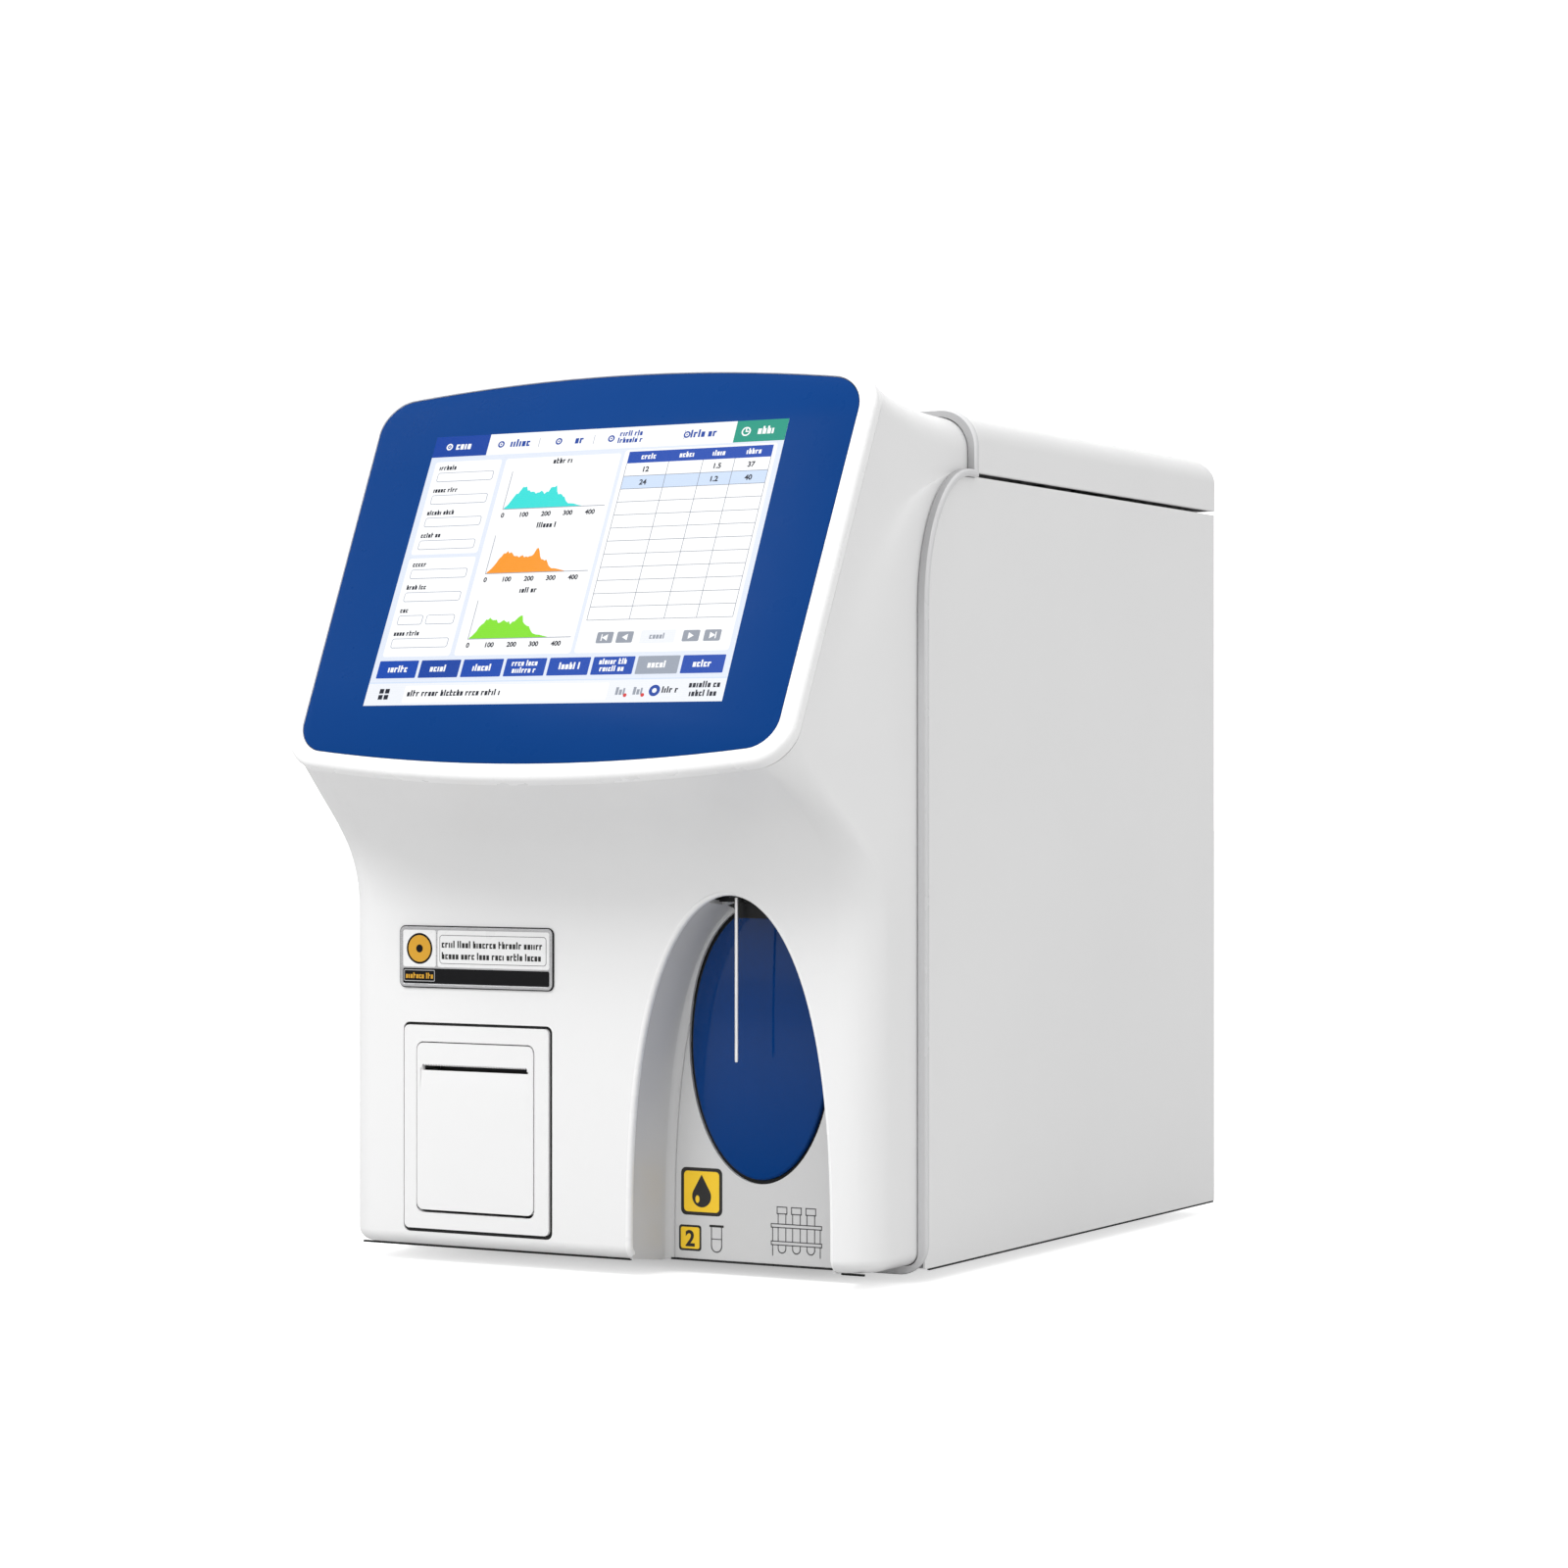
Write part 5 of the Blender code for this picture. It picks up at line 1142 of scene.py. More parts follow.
def stroke(pts, w, closed=False):
    """A drawn line as small quads."""
    out = []
    seq = list(zip(pts, pts[1:])) + ([(pts[-1], pts[0])] if closed else [])
    for a, b in seq:
        d = Vector((b[0] - a[0], b[1] - a[1]))
        if d.length < 1e-9:
            continue
        d.normalize()
        n = Vector((-d.y, d.x)) * w / 2
        e = d * w * 0.35
        out.append([(a[0] - e.x + n.x, a[1] - e.y + n.y), (a[0] - e.x - n.x, a[1] - e.y - n.y),
                    (b[0] + e.x - n.x, b[1] + e.y - n.y), (b[0] + e.x + n.x, b[1] + e.y + n.y)])
    return out


ink_yellow = plastic("ink_yellow", srgb(244, 200, 36), 0.34, 900.0, 0.04, 0.00002, 0.02)
ink_black = plastic("ink_black", srgb(24, 23, 22), 0.36, 900.0, 0.04, 0.00002, 0.08)
ink_grey = plastic("ink_grey", srgb(84, 84, 86), 0.4, 900.0, 0.04, 0.00002, 0.05)
ink_amber = plastic("ink_amber", srgb(214, 158, 34), 0.36, 900.0, 0.04, 0.00002, 0.03)
ink_soft = plastic("ink_soft_grey", srgb(128, 128, 130), 0.4, 900.0, 0.04, 0.00002, 0.04)
face_white = plastic("label_white", srgb(238, 238, 238), 0.3, 700.0, 0.04, 0.00002, 0.015)
face_black = plastic("label_black", srgb(19, 19, 21), 0.45, 700.0, 0.04, 0.00002, 0.05, spec=0.12)

shapes = []
for cx, z0, half, body, w in ((0.0432, 0.0228, 0.0122, "", 0.0018), (0.0364, 0.0045, 0.0066, "2", 0.0011)):
    shapes.append((rounded_rect((cx - half, cx + half), (z0, z0 + 2 * half), half * 0.24, 5), 1, 0))
    shapes.append((rounded_rect((cx - half + w, cx + half - w), (z0 + w, z0 + 2 * half - w), half * 0.17, 5), 0, 1))
    if body:
        shapes += [(p, 1, 2) for p in digits(body, cx, z0 + half * 0.38, half * 1.24, 0.03)]
        continue
    drop = [(cx, z0 + half * 1.72)]
    for k in range(25):
        a = math.radians(lerp(28, -208, k / 24))
        drop.append((cx + half * 0.46 * math.cos(a), z0 + half * 0.80 + half * 0.46 * math.sin(a)))
    shapes.append((drop, 1, 2))
    shapes.append(([(cx - half * 0.20 + half * 0.10 * math.cos(2 * math.pi * k / 20), z0 + half * 0.68 + half * 0.16 * math.sin(2 * math.pi * k / 20)) for k in range(20)], 0, 3))
tx, tz, tr = 0.0520, 0.0076, 0.0030
tube = [(tx - tr, 0.0176), (tx - tr, tz)]
for k in range(13):
    a = math.pi + math.pi * k / 12
    tube.append((tx + tr * math.cos(a), tz + tr * math.sin(a)))
tube.append((tx + tr, 0.0176))
shapes += [(p, 2, 0) for p in stroke(tube, 0.0006)]
shapes += [(p, 1, 0) for p in stroke([(tx - tr - 0.0008, 0.0178), (tx + tr + 0.0008, 0.0178)], 0.0012)]
shapes += [(p, 2, 0) for p in stroke([(tx - tr, 0.0112), (tx + tr, 0.0112)], 0.0005)]
# a rack with three plain tubes
rk, rw, lw = 0.0840, 0.0290, 0.00055
for z in (0.0104, 0.0192):
    shapes += [(p, 2, 0) for p in stroke([(rk, z), (rk + rw, z), (rk + rw, z + 0.0018), (rk, z + 0.0018)], lw, True)]
for x in (rk + 0.0008, rk + rw - 0.0008):
    shapes += [(p, 2, 0) for p in stroke([(x, 0.0050), (x, 0.0104)], lw)]
    shapes += [(p, 2, 0) for p in stroke([(x, 0.0122), (x, 0.0192)], lw)]
for i in range(3):
    x, r = rk + 0.0062 + 0.0083 * i, 0.0022
    for z0, z1 in ((0.0122, 0.0192), (0.0210, 0.0262)):
        shapes += [(p, 2, 0) for p in stroke([(x - r, z0), (x - r, z1)], lw)]
        shapes += [(p, 2, 0) for p in stroke([(x + r, z1), (x + r, z0)], lw)]
    shapes += [(p, 2, 0) for p in stroke([(x - r - 0.0006, 0.0262), (x + r + 0.0006, 0.0262), (x + r + 0.0006, 0.0296), (x - r - 0.0006, 0.0296)], lw, True)]
    end = [(x - r, 0.0104)]
    for k in range(11):
        a = math.pi + math.pi * k / 10
        end.append((x + r * math.cos(a), 0.0086 + r * math.sin(a)))
    end.append((x + r, 0.0104))
    shapes += [(p, 2, 0) for p in stroke(end, lw)]
marks = flat_marks("bay_marks", shapes, lambda p, l: (p[0], BAY_BACK_Y - 0.00004 - 0.00003 * l, p[1]), Vector((0, -1, 0)),
                   [ink_yellow, ink_black, ink_grey])
piece(marks, "chassis", "bay_plastic")
# dark strip along the foot of the bay's back wall: painted shadow
bm = bmesh.new()
bm_box(bm, (BAY_X - 0.0520, BAY_X + 0.0520), (BAY_BACK_Y - 0.0005, BAY_BACK_Y - 0.00002), (-0.0005, 0.0006))
piece(obj("bay_foot_shadow_line", bm, M["gap"]), "chassis", "bay_plastic")

# wash block: nozzle, body and the dark shroud in the roof of the bay
bm = bmesh.new()
bm_lathe(bm, "Z", (PROBE[0], PROBE[1], 0), [(0.0015, 0.1862), (0.0036, 0.1862), (0.0042, 0.1870), (0.0042, 0.2060), (0.0015, 0.2060)], 40)
wash = obj("wash_block_fine", bm, M["shroud"])
c = bmesh.new()
bm_box(c, (PROBE[0] - 0.0125, PROBE[0] + 0.0125), (PROBE[1] - 0.0040, PROBE[1] + 0.0088), (0.1865, 0.2000))
cut(wash, c, "UNION")
c = bmesh.new()
bm_box(c, (PROBE[0] - 0.0118, PROBE[0] + 0.0123), (-0.0010, 0.0044), (0.1838, 0.1880))
cut(wash, c, "UNION")
shroud = [(-0.0025, 0.1757), (0.0174, 0.1757), (0.0162, 0.1769), (0.0150, 0.1780), (0.0125, 0.1797), (0.0100, 0.1811), (0.0075, 0.1822), (0.0050, 0.1830), (0.0, 0.1836),
          (-0.0040, 0.1832), (-0.0080, 0.1820), (-0.0045, 0.1808), (-0.0035, 0.1798), (-0.0030, 0.1785)]
c = bmesh.new()
bm_plate(c, [(PROBE[0] + dx, z) for dx, z in shroud], 0.0006, 0.0146)
cut(wash, c, "UNION")
c = bmesh.new()
bm_box(c, (PROBE[0] - 0.0030, PROBE[0] + 0.0060), (0.0010, 0.0040), (0.1800, 0.1890))
cut(wash, c, "UNION")
c = bmesh.new()
bm_rod(c, "Z", (PROBE[0], PROBE[1], 0), 0.0015, 0.170, 0.220, 32)
cut(wash, c)
bevel(wash, 0.0003, 2)
bake(wash)
piece(wash, "chassis", "black_plastic", "wash_block")

FINE = []


def fine(name, b, mat, body, slot, width=0.0003, seg=2, sharp=32.0):
    ob = obj(name + "_fine", b, M[mat] if isinstance(mat, str) else mat, sharp)
    FINE.append((ob, name, body, slot, width, seg, sharp))
    return ob


def lathe(name, mat, axis, c, profile, body, slot, seg=48, width=0.0, sharp=32.0):
    b = bmesh.new()
    bm_lathe(b, axis, c, profile, seg)
    return fine(name, b, mat, body, slot, width, 2, sharp)


def rod(name, mat, axis, c, r, h0, h1, body, slot, seg=40, ch=0.0004):
    return lathe(name, mat, axis, c, [(0, h0), (r - ch, h0), (r, h0 + ch), (r, h1 - ch), (r - ch, h1), (0, h1)], body, slot, seg)


def box(name, mat, x, y, z, body, slot, width=0.0004, seg=2):
    b = bmesh.new()
    bm_box(b, x, y, z)
    return fine(name, b, mat, body, slot, width, seg)


def with_box(ob, *boxes, op="UNION"):
    for x, y, z in boxes:
        c = bmesh.new()
        bm_box(c, x, y, z)
        cut(ob, c, op)


lathe("sample_probe", "needle", "Z", (PROBE[0], PROBE[1], 0),
      [(0.0005, PROBE_TIP + 0.004), (0.0005, PROBE_TIP), (0.0007, PROBE_TIP), (PROBE_R, PROBE_TIP + 0.0015),
       (PROBE_R, 0.2640), (0.0005, 0.2640)], "probe_lift_body", "steel", 40)
CAR_Z = (0.2400, 0.2560)
carriage = box("probe_carriage", "dark", (PROBE[0] - 0.030, PROBE[0] + 0.030), (0.0360, 0.0540), CAR_Z, "probe_lift_body", "dark_grey", 0.0008, 3)
with_box(carriage, ((PROBE[0] - 0.006, PROBE[0] + 0.006), (PROBE[1] - 0.006, 0.0400), (CAR_Z[0] + 0.002, CAR_Z[1] - 0.004)))
bm = bmesh.new()
bm_rod(bm, "Z", (PROBE[0], PROBE[1], 0), PROBE_R + 0.0003, 0.23, 0.27, 24)
for dx in (-0.022, 0.022, 0):
    bm_rod(bm, "Z", (PROBE[0] + dx, 0.045, 0), 0.0033, 0.23, 0.27, 32)
cut(carriage, bm)
for tag, dx in (("left", -0.022), ("right", 0.022)):
    rod("guide_rod_" + tag, "bright", "Z", (PROBE[0] + dx, 0.045, 0), 0.003, 0.1966, 0.3694, "chassis", "steel")


def make_screw():
    """Lead screw with its thread, two starts, 4 mm apart."""
    b = bmesh.new()
    z0, z1, r0, r1, pitch, n = 0.1975, 0.3655, 0.0024, 0.0030, 0.0040, 24
    rows = []
    steps = int((z1 - z0) / 0.0005)
    for i in range(steps + 1):
        z = lerp(z0, z1, i / steps)
        edge = min(1.0, min(i, steps - i) / 4)
        row = []
        for k in range(n):
            a = 2 * math.pi * k / n
            ph = (z / pitch - k / n) % 1.0
            w = 1 - abs(2 * ph - 1)
            w = min(1.0, max(0.0, (w - 0.3) / 0.35))
            row.append((PROBE[0] + (r0 + (r1 - r0) * w * edge) * math.cos(a), 0.045 + (r0 + (r1 - r0) * w * edge) * math.sin(a), z))
        rows.append(row)
    for z, r in ((0.3656, 0.0024), (0.3760, 0.0024), (0.3765, 0.0020)):
        rows.append([(PROBE[0] + r * math.cos(2 * math.pi * k / n), 0.045 + r * math.sin(2 * math.pi * k / n), z) for k in range(n)])
    vs = loft(b, rows)
    b.faces.new(vs[0])
    b.faces.new(vs[-1])
    return fine("lead_screw", b, "steel", "screw", "steel", 0.0, 2, 50.0)


make_screw()
lf = box("lift_frame", "zinc", (PROBE[0] - 0.034, PROBE[0] + 0.034), (0.0340, 0.0640), (0.1930, 0.3730), "chassis", "zinc_sheet", 0.0003)
with_box(lf, ((PROBE[0] - 0.040, PROBE[0] + 0.040), (0.0300, 0.0620), (0.1950, 0.3710)), op="DIFFERENCE")
bm = bmesh.new()
for dx in (-0.022, 0.022):
    bm_rod(bm, "Z", (PROBE[0] + dx, 0.045, 0), 0.0034, 0.19, 0.1965, 32)
    bm_rod(bm, "Z", (PROBE[0] + dx, 0.045, 0), 0.0034, 0.3695, 0.38, 32)
bm_rod(bm, "Z", (PROBE[0], 0.045, 0), 0.0034, 0.3695, 0.38, 32)
cut(lf, bm)
mot = box("lift_motor", "black", (PROBE[0] - 0.0175, PROBE[0] + 0.0175), (0.0275, 0.0625), (0.3733, 0.4020), "chassis", "black_plastic", 0.0018, 3)
bm = bmesh.new()
bm_rod(bm, "Z", (PROBE[0], 0.045, 0), 0.0028, 0.36, 0.378, 32)
cut(mot, bm)

# ---------------------------------------------------------------------- printer
bm = bmesh.new()
bm_plate(bm, rounded_rect(PR_X, PR_Z, 0.0028, 8), -0.0140, 0.0480)
pf = fine("printer_frame", bm, "white", "chassis", "white_abs", 0.00045, 3)
with_box(pf, ((PR_X[0] + 0.003, PR_X[1] - 0.003), (-0.0105, 0.0462), (PR_Z[0] + 0.003, PR_Z[1] - 0.003)), op="DIFFERENCE")
bm = bmesh.new()
bm_plate(bm, rounded_rect((DOOR_X[0] - 0.0006, DOOR_X[1] + 0.0006), (DOOR_Z[0] - 0.0015, DOOR_Z[1] + 0.0006), 0.0041, 8), -0.03, -0.009)
cut(pf, bm)


def pin_cut():
    b = bmesh.new()
    bm_rod(b, "X", (0, DOOR_AXIS[0], DOOR_AXIS[1]), 0.0010, DOOR_X[0] - 0.0030, DOOR_X[1] + 0.0030, 24)
    return b


cut(pf, pin_cut())
# dark ring in the gap round the printer frame: painted shade
bm = bmesh.new()
hole = rounded_rect((PR_X[0] - 0.00095, PR_X[1] + 0.00175), (PR_Z[0] - 0.00185, PR_Z[1] + 0.00145), 0.0036)
inside = rounded_rect((PR_X[0] - 0.0001, PR_X[1] + 0.0001), (PR_Z[0] - 0.0001, PR_Z[1] + 0.0001), 0.0025)
loft(bm, [[(x, y, z) for x, z in e] for e, y in ((inside, FRONT_Y + 0.0008), (hole, FRONT_Y + 0.0008), (hole, FRONT_Y + 0.0018), (inside, FRONT_Y + 0.0018))], close_rows=True)
piece(obj("printer_gap_shade", bm, M["gap"]), "chassis", "white_abs")

bm = bmesh.new()
bm_plate(bm, rounded_rect(DOOR_X, DOOR_Z, 0.0038, 8), *DOOR_Y)
door = fine("printer_door", bm, "white", "door", "white_abs", 0.00022, 3, 30.0)
with_box(door, ((-0.1085, -0.1068), (-0.0125, -0.0028), (0.0840, 0.0925)), ((-0.0419, -0.0402), (-0.0125, -0.0028), (0.0840, 0.0925)))
# wedge below the slot, then the slot with its torn-edge teeth
bm = bmesh.new()
w0, w1 = SLOT_X[0] - 0.0012, SLOT_X[1] + 0.0012
bm_prism(bm, [(w0, -0.0160, 0.0820), (w0, -0.01431, 0.0820), (w0, -0.0134, 0.0950), (w0, -0.0160, 0.0950)],
         [(w1, -0.0160, 0.0820), (w1, -0.01431, 0.0820), (w1, -0.0134, 0.0950), (w1, -0.0160, 0.0950)])
cut(door, bm)
tooth = 0.00163
cnt = round((SLOT_X[1] - SLOT_X[0]) / tooth)
tooth = (SLOT_X[1] - SLOT_X[0]) / cnt
lp = [(SLOT_X[0], SLOT_Z[0]), (SLOT_X[1], SLOT_Z[0])]
for k in range(cnt, 0, -1):
    lp.append((SLOT_X[0] + tooth * k, SLOT_Z[1] - 0.0001))
    lp.append((SLOT_X[0] + tooth * (k - 0.22), SLOT_Z[1] + 0.0007))
    lp.append((SLOT_X[0] + tooth * (k - 0.78), SLOT_Z[1] + 0.0007))
lp.append((SLOT_X[0], SLOT_Z[1] - 0.0001))
bm = bmesh.new()
bm_plate(bm, lp, -0.02, -0.005)
cut(door, bm)
cut(door, pin_cut())
bm = bmesh.new()
bm_rod(bm, "X", (0, -0.0062, 0.0882), 0.0013, -0.112, -0.036, 24)
cut(door, bm)
rod("door_pin", "steel", "X", (0, DOOR_AXIS[0], DOOR_AXIS[1]), 0.0007, DOOR_X[0] - 0.0026, DOOR_X[1] + 0.0026, "chassis", "steel", 20, 0.0001)
lathe("platen_roller", "rubber", "X", (0, -0.0062, 0.0882),
      [(0, -0.1083), (0.0010, -0.1083), (0.0010, -0.1060), (0.0043, -0.1060), (0.0045, -0.1058), (0.0045, -0.0429), (0.0043, -0.0427), (0.0010, -0.0427),
       (0.0010, -0.0404), (0, -0.0404)], "roller", "rubber", 40)
box("print_head", "black", (-0.1050, -0.0435), (-0.0013, 0.0060), (0.0800, 0.1080), "chassis", "black_plastic", 0.0006)
ROLL = (0.0180, 0.0520)
lathe("paper_roll", "paper", "X", (0, ROLL[0], ROLL[1]),
      [(0.0062, -0.1020), (0.0236, -0.1020), (0.0240, -0.1017), (0.0240, -0.0453), (0.0236, -0.0450), (0.0062, -0.0450)], "roll", "paper", 72)
rod("paper_spindle", "black", "X", (0, ROLL[0], ROLL[1]), 0.0054, PR_X[0] + 0.0034, PR_X[1] - 0.0034, "chassis", "black_plastic", 40, 0.0005)

# ------------------------------------------------------------------- label plate
LX, LZ = (-0.1210, -0.0266), (0.1374, 0.1687)
bm = bmesh.new()
bm_plate(bm, rounded_rect(LX, LZ, 0.0030, 8), -0.0145, FRONT_Y - 0.0003)
lab = fine("label_plate", bm, "silver", "chassis", "aluminium", 0.0003, 3)
bm = bmesh.new()
bm_plate(bm, rounded_rect((LX[0] + 0.0013, LX[1] - 0.0013), (LZ[0] + 0.0013, LZ[1] - 0.0013), 0.0019, 8), -0.02, -0.0142)
cut(lab, bm)
# dark ring round the label plate's edge: painted shade of the gap
bm = bmesh.new()
edge = [(rounded_rect((LX[0] - g, LX[1] + g), (LZ[0] - g, LZ[1] + g), 0.0030 + g, 8), y)
        for g, y in ((0.0001, FRONT_Y - 0.0002), (0.0006, FRONT_Y - 0.0002), (0.0006, FRONT_Y - 0.0006), (0.0001, FRONT_Y - 0.0006))]
loft(bm, [[(x, y, z) for x, z in e] for e, y in edge], close_rows=True)
piece(obj("label_edge_shade", bm, M["gap"]), "chassis", "aluminium")
lx0, lx1, lz0, lz1 = LX[0] + 0.0014, LX[1] - 0.0014, LZ[0] + 0.0014, LZ[1] - 0.0014
div = LX[0] + 0.0230
shapes = [
    (rounded_rect((lx0, lx1), (lz0, lz1), 0.0018, 8), 4, 0),
    (rounded_rect((lx0 + 0.0004, div - 0.0005), (0.1478, lz1 - 0.0003), 0.0012, 5), 0, 1),
    (rounded_rect((div + 0.0005, lx1 - 0.0004), (0.1478, lz1 - 0.0003), 0.0012, 5), 0, 1),
    (rounded_rect((lx0 + 0.0004, lx1 - 0.0004), (lz0 + 0.0003, 0.1470), 0.0009, 5), 1, 1),
    (rounded_rect((div + 0.0018, lx1 - 0.0022), (0.1496, 0.1646), 0.0018, 8), 3, 2),
    (rounded_rect((div + 0.0021, lx1 - 0.0025), (0.1499, 0.1643), 0.0015, 8), 0, 3),
    (rounded_rect((lx0 + 0.0010, div - 0.0012), (0.1402, 0.1462), 0.0006, 4), 4, 2),
    (rounded_rect((lx0 + 0.0014, div - 0.0016), (0.1406, 0.1458), 0.0004, 4), 1, 3),
]
cxx, czz = (lx0 + div) / 2, 0.1573
for rr, mi, ly in ((0.0081, 1, 2), (0.0070, 5, 3), (0.0021, 1, 4)):
    shapes.append(([(cxx + rr * math.cos(2 * math.pi * k / 56), czz + rr * math.sin(2 * math.pi * k / 56)) for k in range(56)], mi, ly))
for row, z0 in enumerate((0.1580, 0.1520)):
    for xa, za, xb, zb in placeholder(lx1 - 0.0038 - (div + 0.0032), 0.0037, 21 + row, 0.23):
        xa, xb = xa + div + 0.0032, xb + div + 0.0032
        shapes.append(([(xa, z0 + za), (xb, z0 + za), (xb, z0 + zb), (xa, z0 + zb)], 2, 4))
for xa, za, xb, zb in placeholder(div - lx0 - 0.0040, 0.0030, 61, 0.24):
    xa, xb, za, zb = xa + lx0 + 0.0022, xb + lx0 + 0.0022, za + 0.1417, zb + 0.1417
    shapes.append(([(xa, za), (xb, za), (xb, zb), (xa, zb)], 5, 4))
lm = flat_marks("label_print", shapes, lambda p, l: (p[0], -0.01421 - 0.00003 * l, p[1]), Vector((0, -1, 0)),
                [face_white, face_black, ink_black, ink_grey, M["silver"], ink_amber])
piece(lm, "chassis", "aluminium")


# -------------------------------------------------------------- sheet-metal body
def side_panel(sign, name):
    b = bmesh.new()
    x0, x1 = SIDE_X - SHEET, SIDE_X
    y0 = RIM_Y + RIM_W / 2 + 0.0003
    yu = RIM_UP_Y + RIM_W / 2 + 0.0003
    prof = [(y0, 0.0), (BODY_REAR, 0.0), (BODY_REAR, PANEL_TOP), (yu, PANEL_TOP)]
    prof.append((yu, RIM_ELL_C[1] + RIM_ELL[1] - RIM_W / 2 - 0.0003))
    for k in range(24, -1, -1):
        f = math.pi / 2 * k / 24
        prof.append((RIM_ELL_C[0] - (RIM_ELL[0] - RIM_W / 2 - 0.0003) * math.cos(f),
                     RIM_ELL_C[1] + (RIM_ELL[1] - RIM_W / 2 - 0.0003) * math.sin(f)))
    bm_prism(b, [(sign * x0, y, z) for y, z in prof], [(sign * x1, y, z) for y, z in prof])
    ob = fine(name, b, "paint", "chassis", "painted_sheet", 0.0005, 3)
    with_box(ob, (tuple(sorted((sign * (SIDE_X - 0.012), sign * (SIDE_X - 0.0006)))), (BODY_REAR - SHEET, BODY_REAR), (0.0, PANEL_TOP)))
    return ob


side_panel(-1, "left_side_panel")
side_panel(1, "right_side_panel")

bm = bmesh.new()
bmesh.ops.create_cube(bm, size=1.0)
y0 = RIM_UP_Y + RIM_W / 2 + 0.0003
for v in bm.verts:
    v.co = Vector((SIDE_X * 2 * v.co.x, lerp(y0, COVER_REAR, v.co.y + 0.5), lerp(COVER_BOTTOM, COVER_TOP, v.co.z + 0.5)))
edges = [e for e in bm.edges if (all(v.co.z > 0.42 for v in e.verts) and not all(v.co.y < y0 + 0.01 for v in e.verts))]
bmesh.ops.bevel(bm, geom=list(set(edges)), offset=COVER_R, segments=12, affect="EDGES", profile=0.5)
bmesh.ops.delete(bm, geom=[f for f in bm.faces if f.normal.z < -0.9 or f.normal.y < -0.9], context="FACES")
for v in list(bm.verts):
    if not v.link_faces:
        bm.verts.remove(v)
cover = obj("top_cover_fine", bm, M["paint"], recalc=False)
s = cover.modifiers.new("Wall", "SOLIDIFY")
s.thickness = COVER_WALL
s.offset = -1
s.use_even_offset = True
bake(cover, weighted=False)
bevel(cover, 0.0009, 3, 50.0)
bake(cover)
piece(cover, "top_cover_body", "painted_sheet", "top_cover")

# dark strips along the foot of the side panels and of the front casing: painted shade of the gap beneath
bm = bmesh.new()
for sx in (-1, 1):
    bm_box(bm, tuple(sorted((sx * (SIDE_X - 0.0013), sx * (SIDE_X - 0.0001)))), (0.0450, 0.4105), (-0.0010, -0.0001))
bm_box(bm, (-0.1500, BAY_X - BAY_HALF - LIP - 0.0012), (FRONT_Y + 0.0066, FRONT_Y + 0.0080), (0.0009, 0.0019))
bm_box(bm, (BAY_X + BAY_HALF + LIP + 0.0012, 0.1500), (FRONT_Y + 0.0066, FRONT_Y + 0.0080), (0.0009, 0.0019))
piece(obj("foot_seal", bm, M["gap"]), "chassis", "rubber")

HINGE = (0.4155, 0.4020)
for tag, cx in (("left", -0.110), ("right", 0.110)):
    h = box("hinge_leaf_" + tag, "zinc", (cx - 0.014, cx + 0.014), (0.4101, 0.4125), (0.3840, 0.4005), "chassis", "zinc_sheet", 0.0003)
    bm = bmesh.new()
    for a, b in ((-0.014, -0.0065), (0.0065, 0.014)):
        bm_rod(bm, "X", (cx, HINGE[0], HINGE[1]), 0.0024, a, b, 32)
        bm_box(bm, (cx + a, cx + b), (0.4110, 0.4150), (0.3965, 0.4003))
    cut(h, bm, "UNION", True)
    bm = bmesh.new()
    bm_rod(bm, "X", (cx, HINGE[0], HINGE[1]), 0.0012, -0.0100, 0.0100, 24)
    cut(h, bm, "UNION")
    k = lathe("cover_knuckle_" + tag, "zinc", "X", (cx, HINGE[0], HINGE[1]),
              [(0.0015, -0.0062), (0.0024, -0.0062), (0.0024, 0.0062), (0.0015, 0.0062)], "top_cover_body", "zinc_sheet", 32)
    with_box(k, ((cx - 0.0062, cx + 0.0062), (0.4132, 0.4148), (0.4038, 0.4180)))

FAN = (0.075, 0.315)
rear = box("rear_panel", "paint", (-0.1582, 0.1582), (0.4083, 0.4098), (0.0021, 0.3995), "chassis", "painted_sheet", 0.0002)
bm = bmesh.new()
bm_rod(bm, "Y", (FAN[0], 0.409, FAN[1]), 0.0275, -0.01, 0.01, 64)
bm_box(bm, (-0.1090, -0.0810), (0.40, 0.42), (0.0340, 0.0560))
bm_box(bm, (-0.0565, -0.0435), (0.40, 0.42), (0.0340, 0.0560))
bm_box(bm, (-0.1100, -0.0100), (0.40, 0.42), (0.1900, 0.2160))
for i in range(3):
    bm_rod(bm, "Y", (0.050 + 0.030 * i, 0.409, 0.060), 0.0045, -0.01, 0.01, 32)
for i in range(7):
    z = 0.110 + 0.009 * i
    bm_plate(bm, rounded_rect((0.040, 0.120), (z, z + 0.004), 0.0019, 6), 0.40, 0.42)
cut(rear, bm)
box("base_plate", "zinc", (-0.1584, 0.1584), (0.0400, 0.4079), (0.0003, 0.0018), "chassis", "zinc_sheet", 0.0003)
for i, (fx, fy) in enumerate(((-0.120, 0.075), (0.120, 0.075), (-0.120, 0.370), (0.120, 0.370)), 1):
    lathe("foot_%d" % i, "rubber", "Z", (fx, fy, 0),
          [(0, -0.0070), (0.0093, -0.0070), (0.0097, -0.0068), (0.0108, -0.0056), (0.0110, -0.0052), (0.0110, 0.0), (0, 0.0)], "chassis", "rubber", 56)

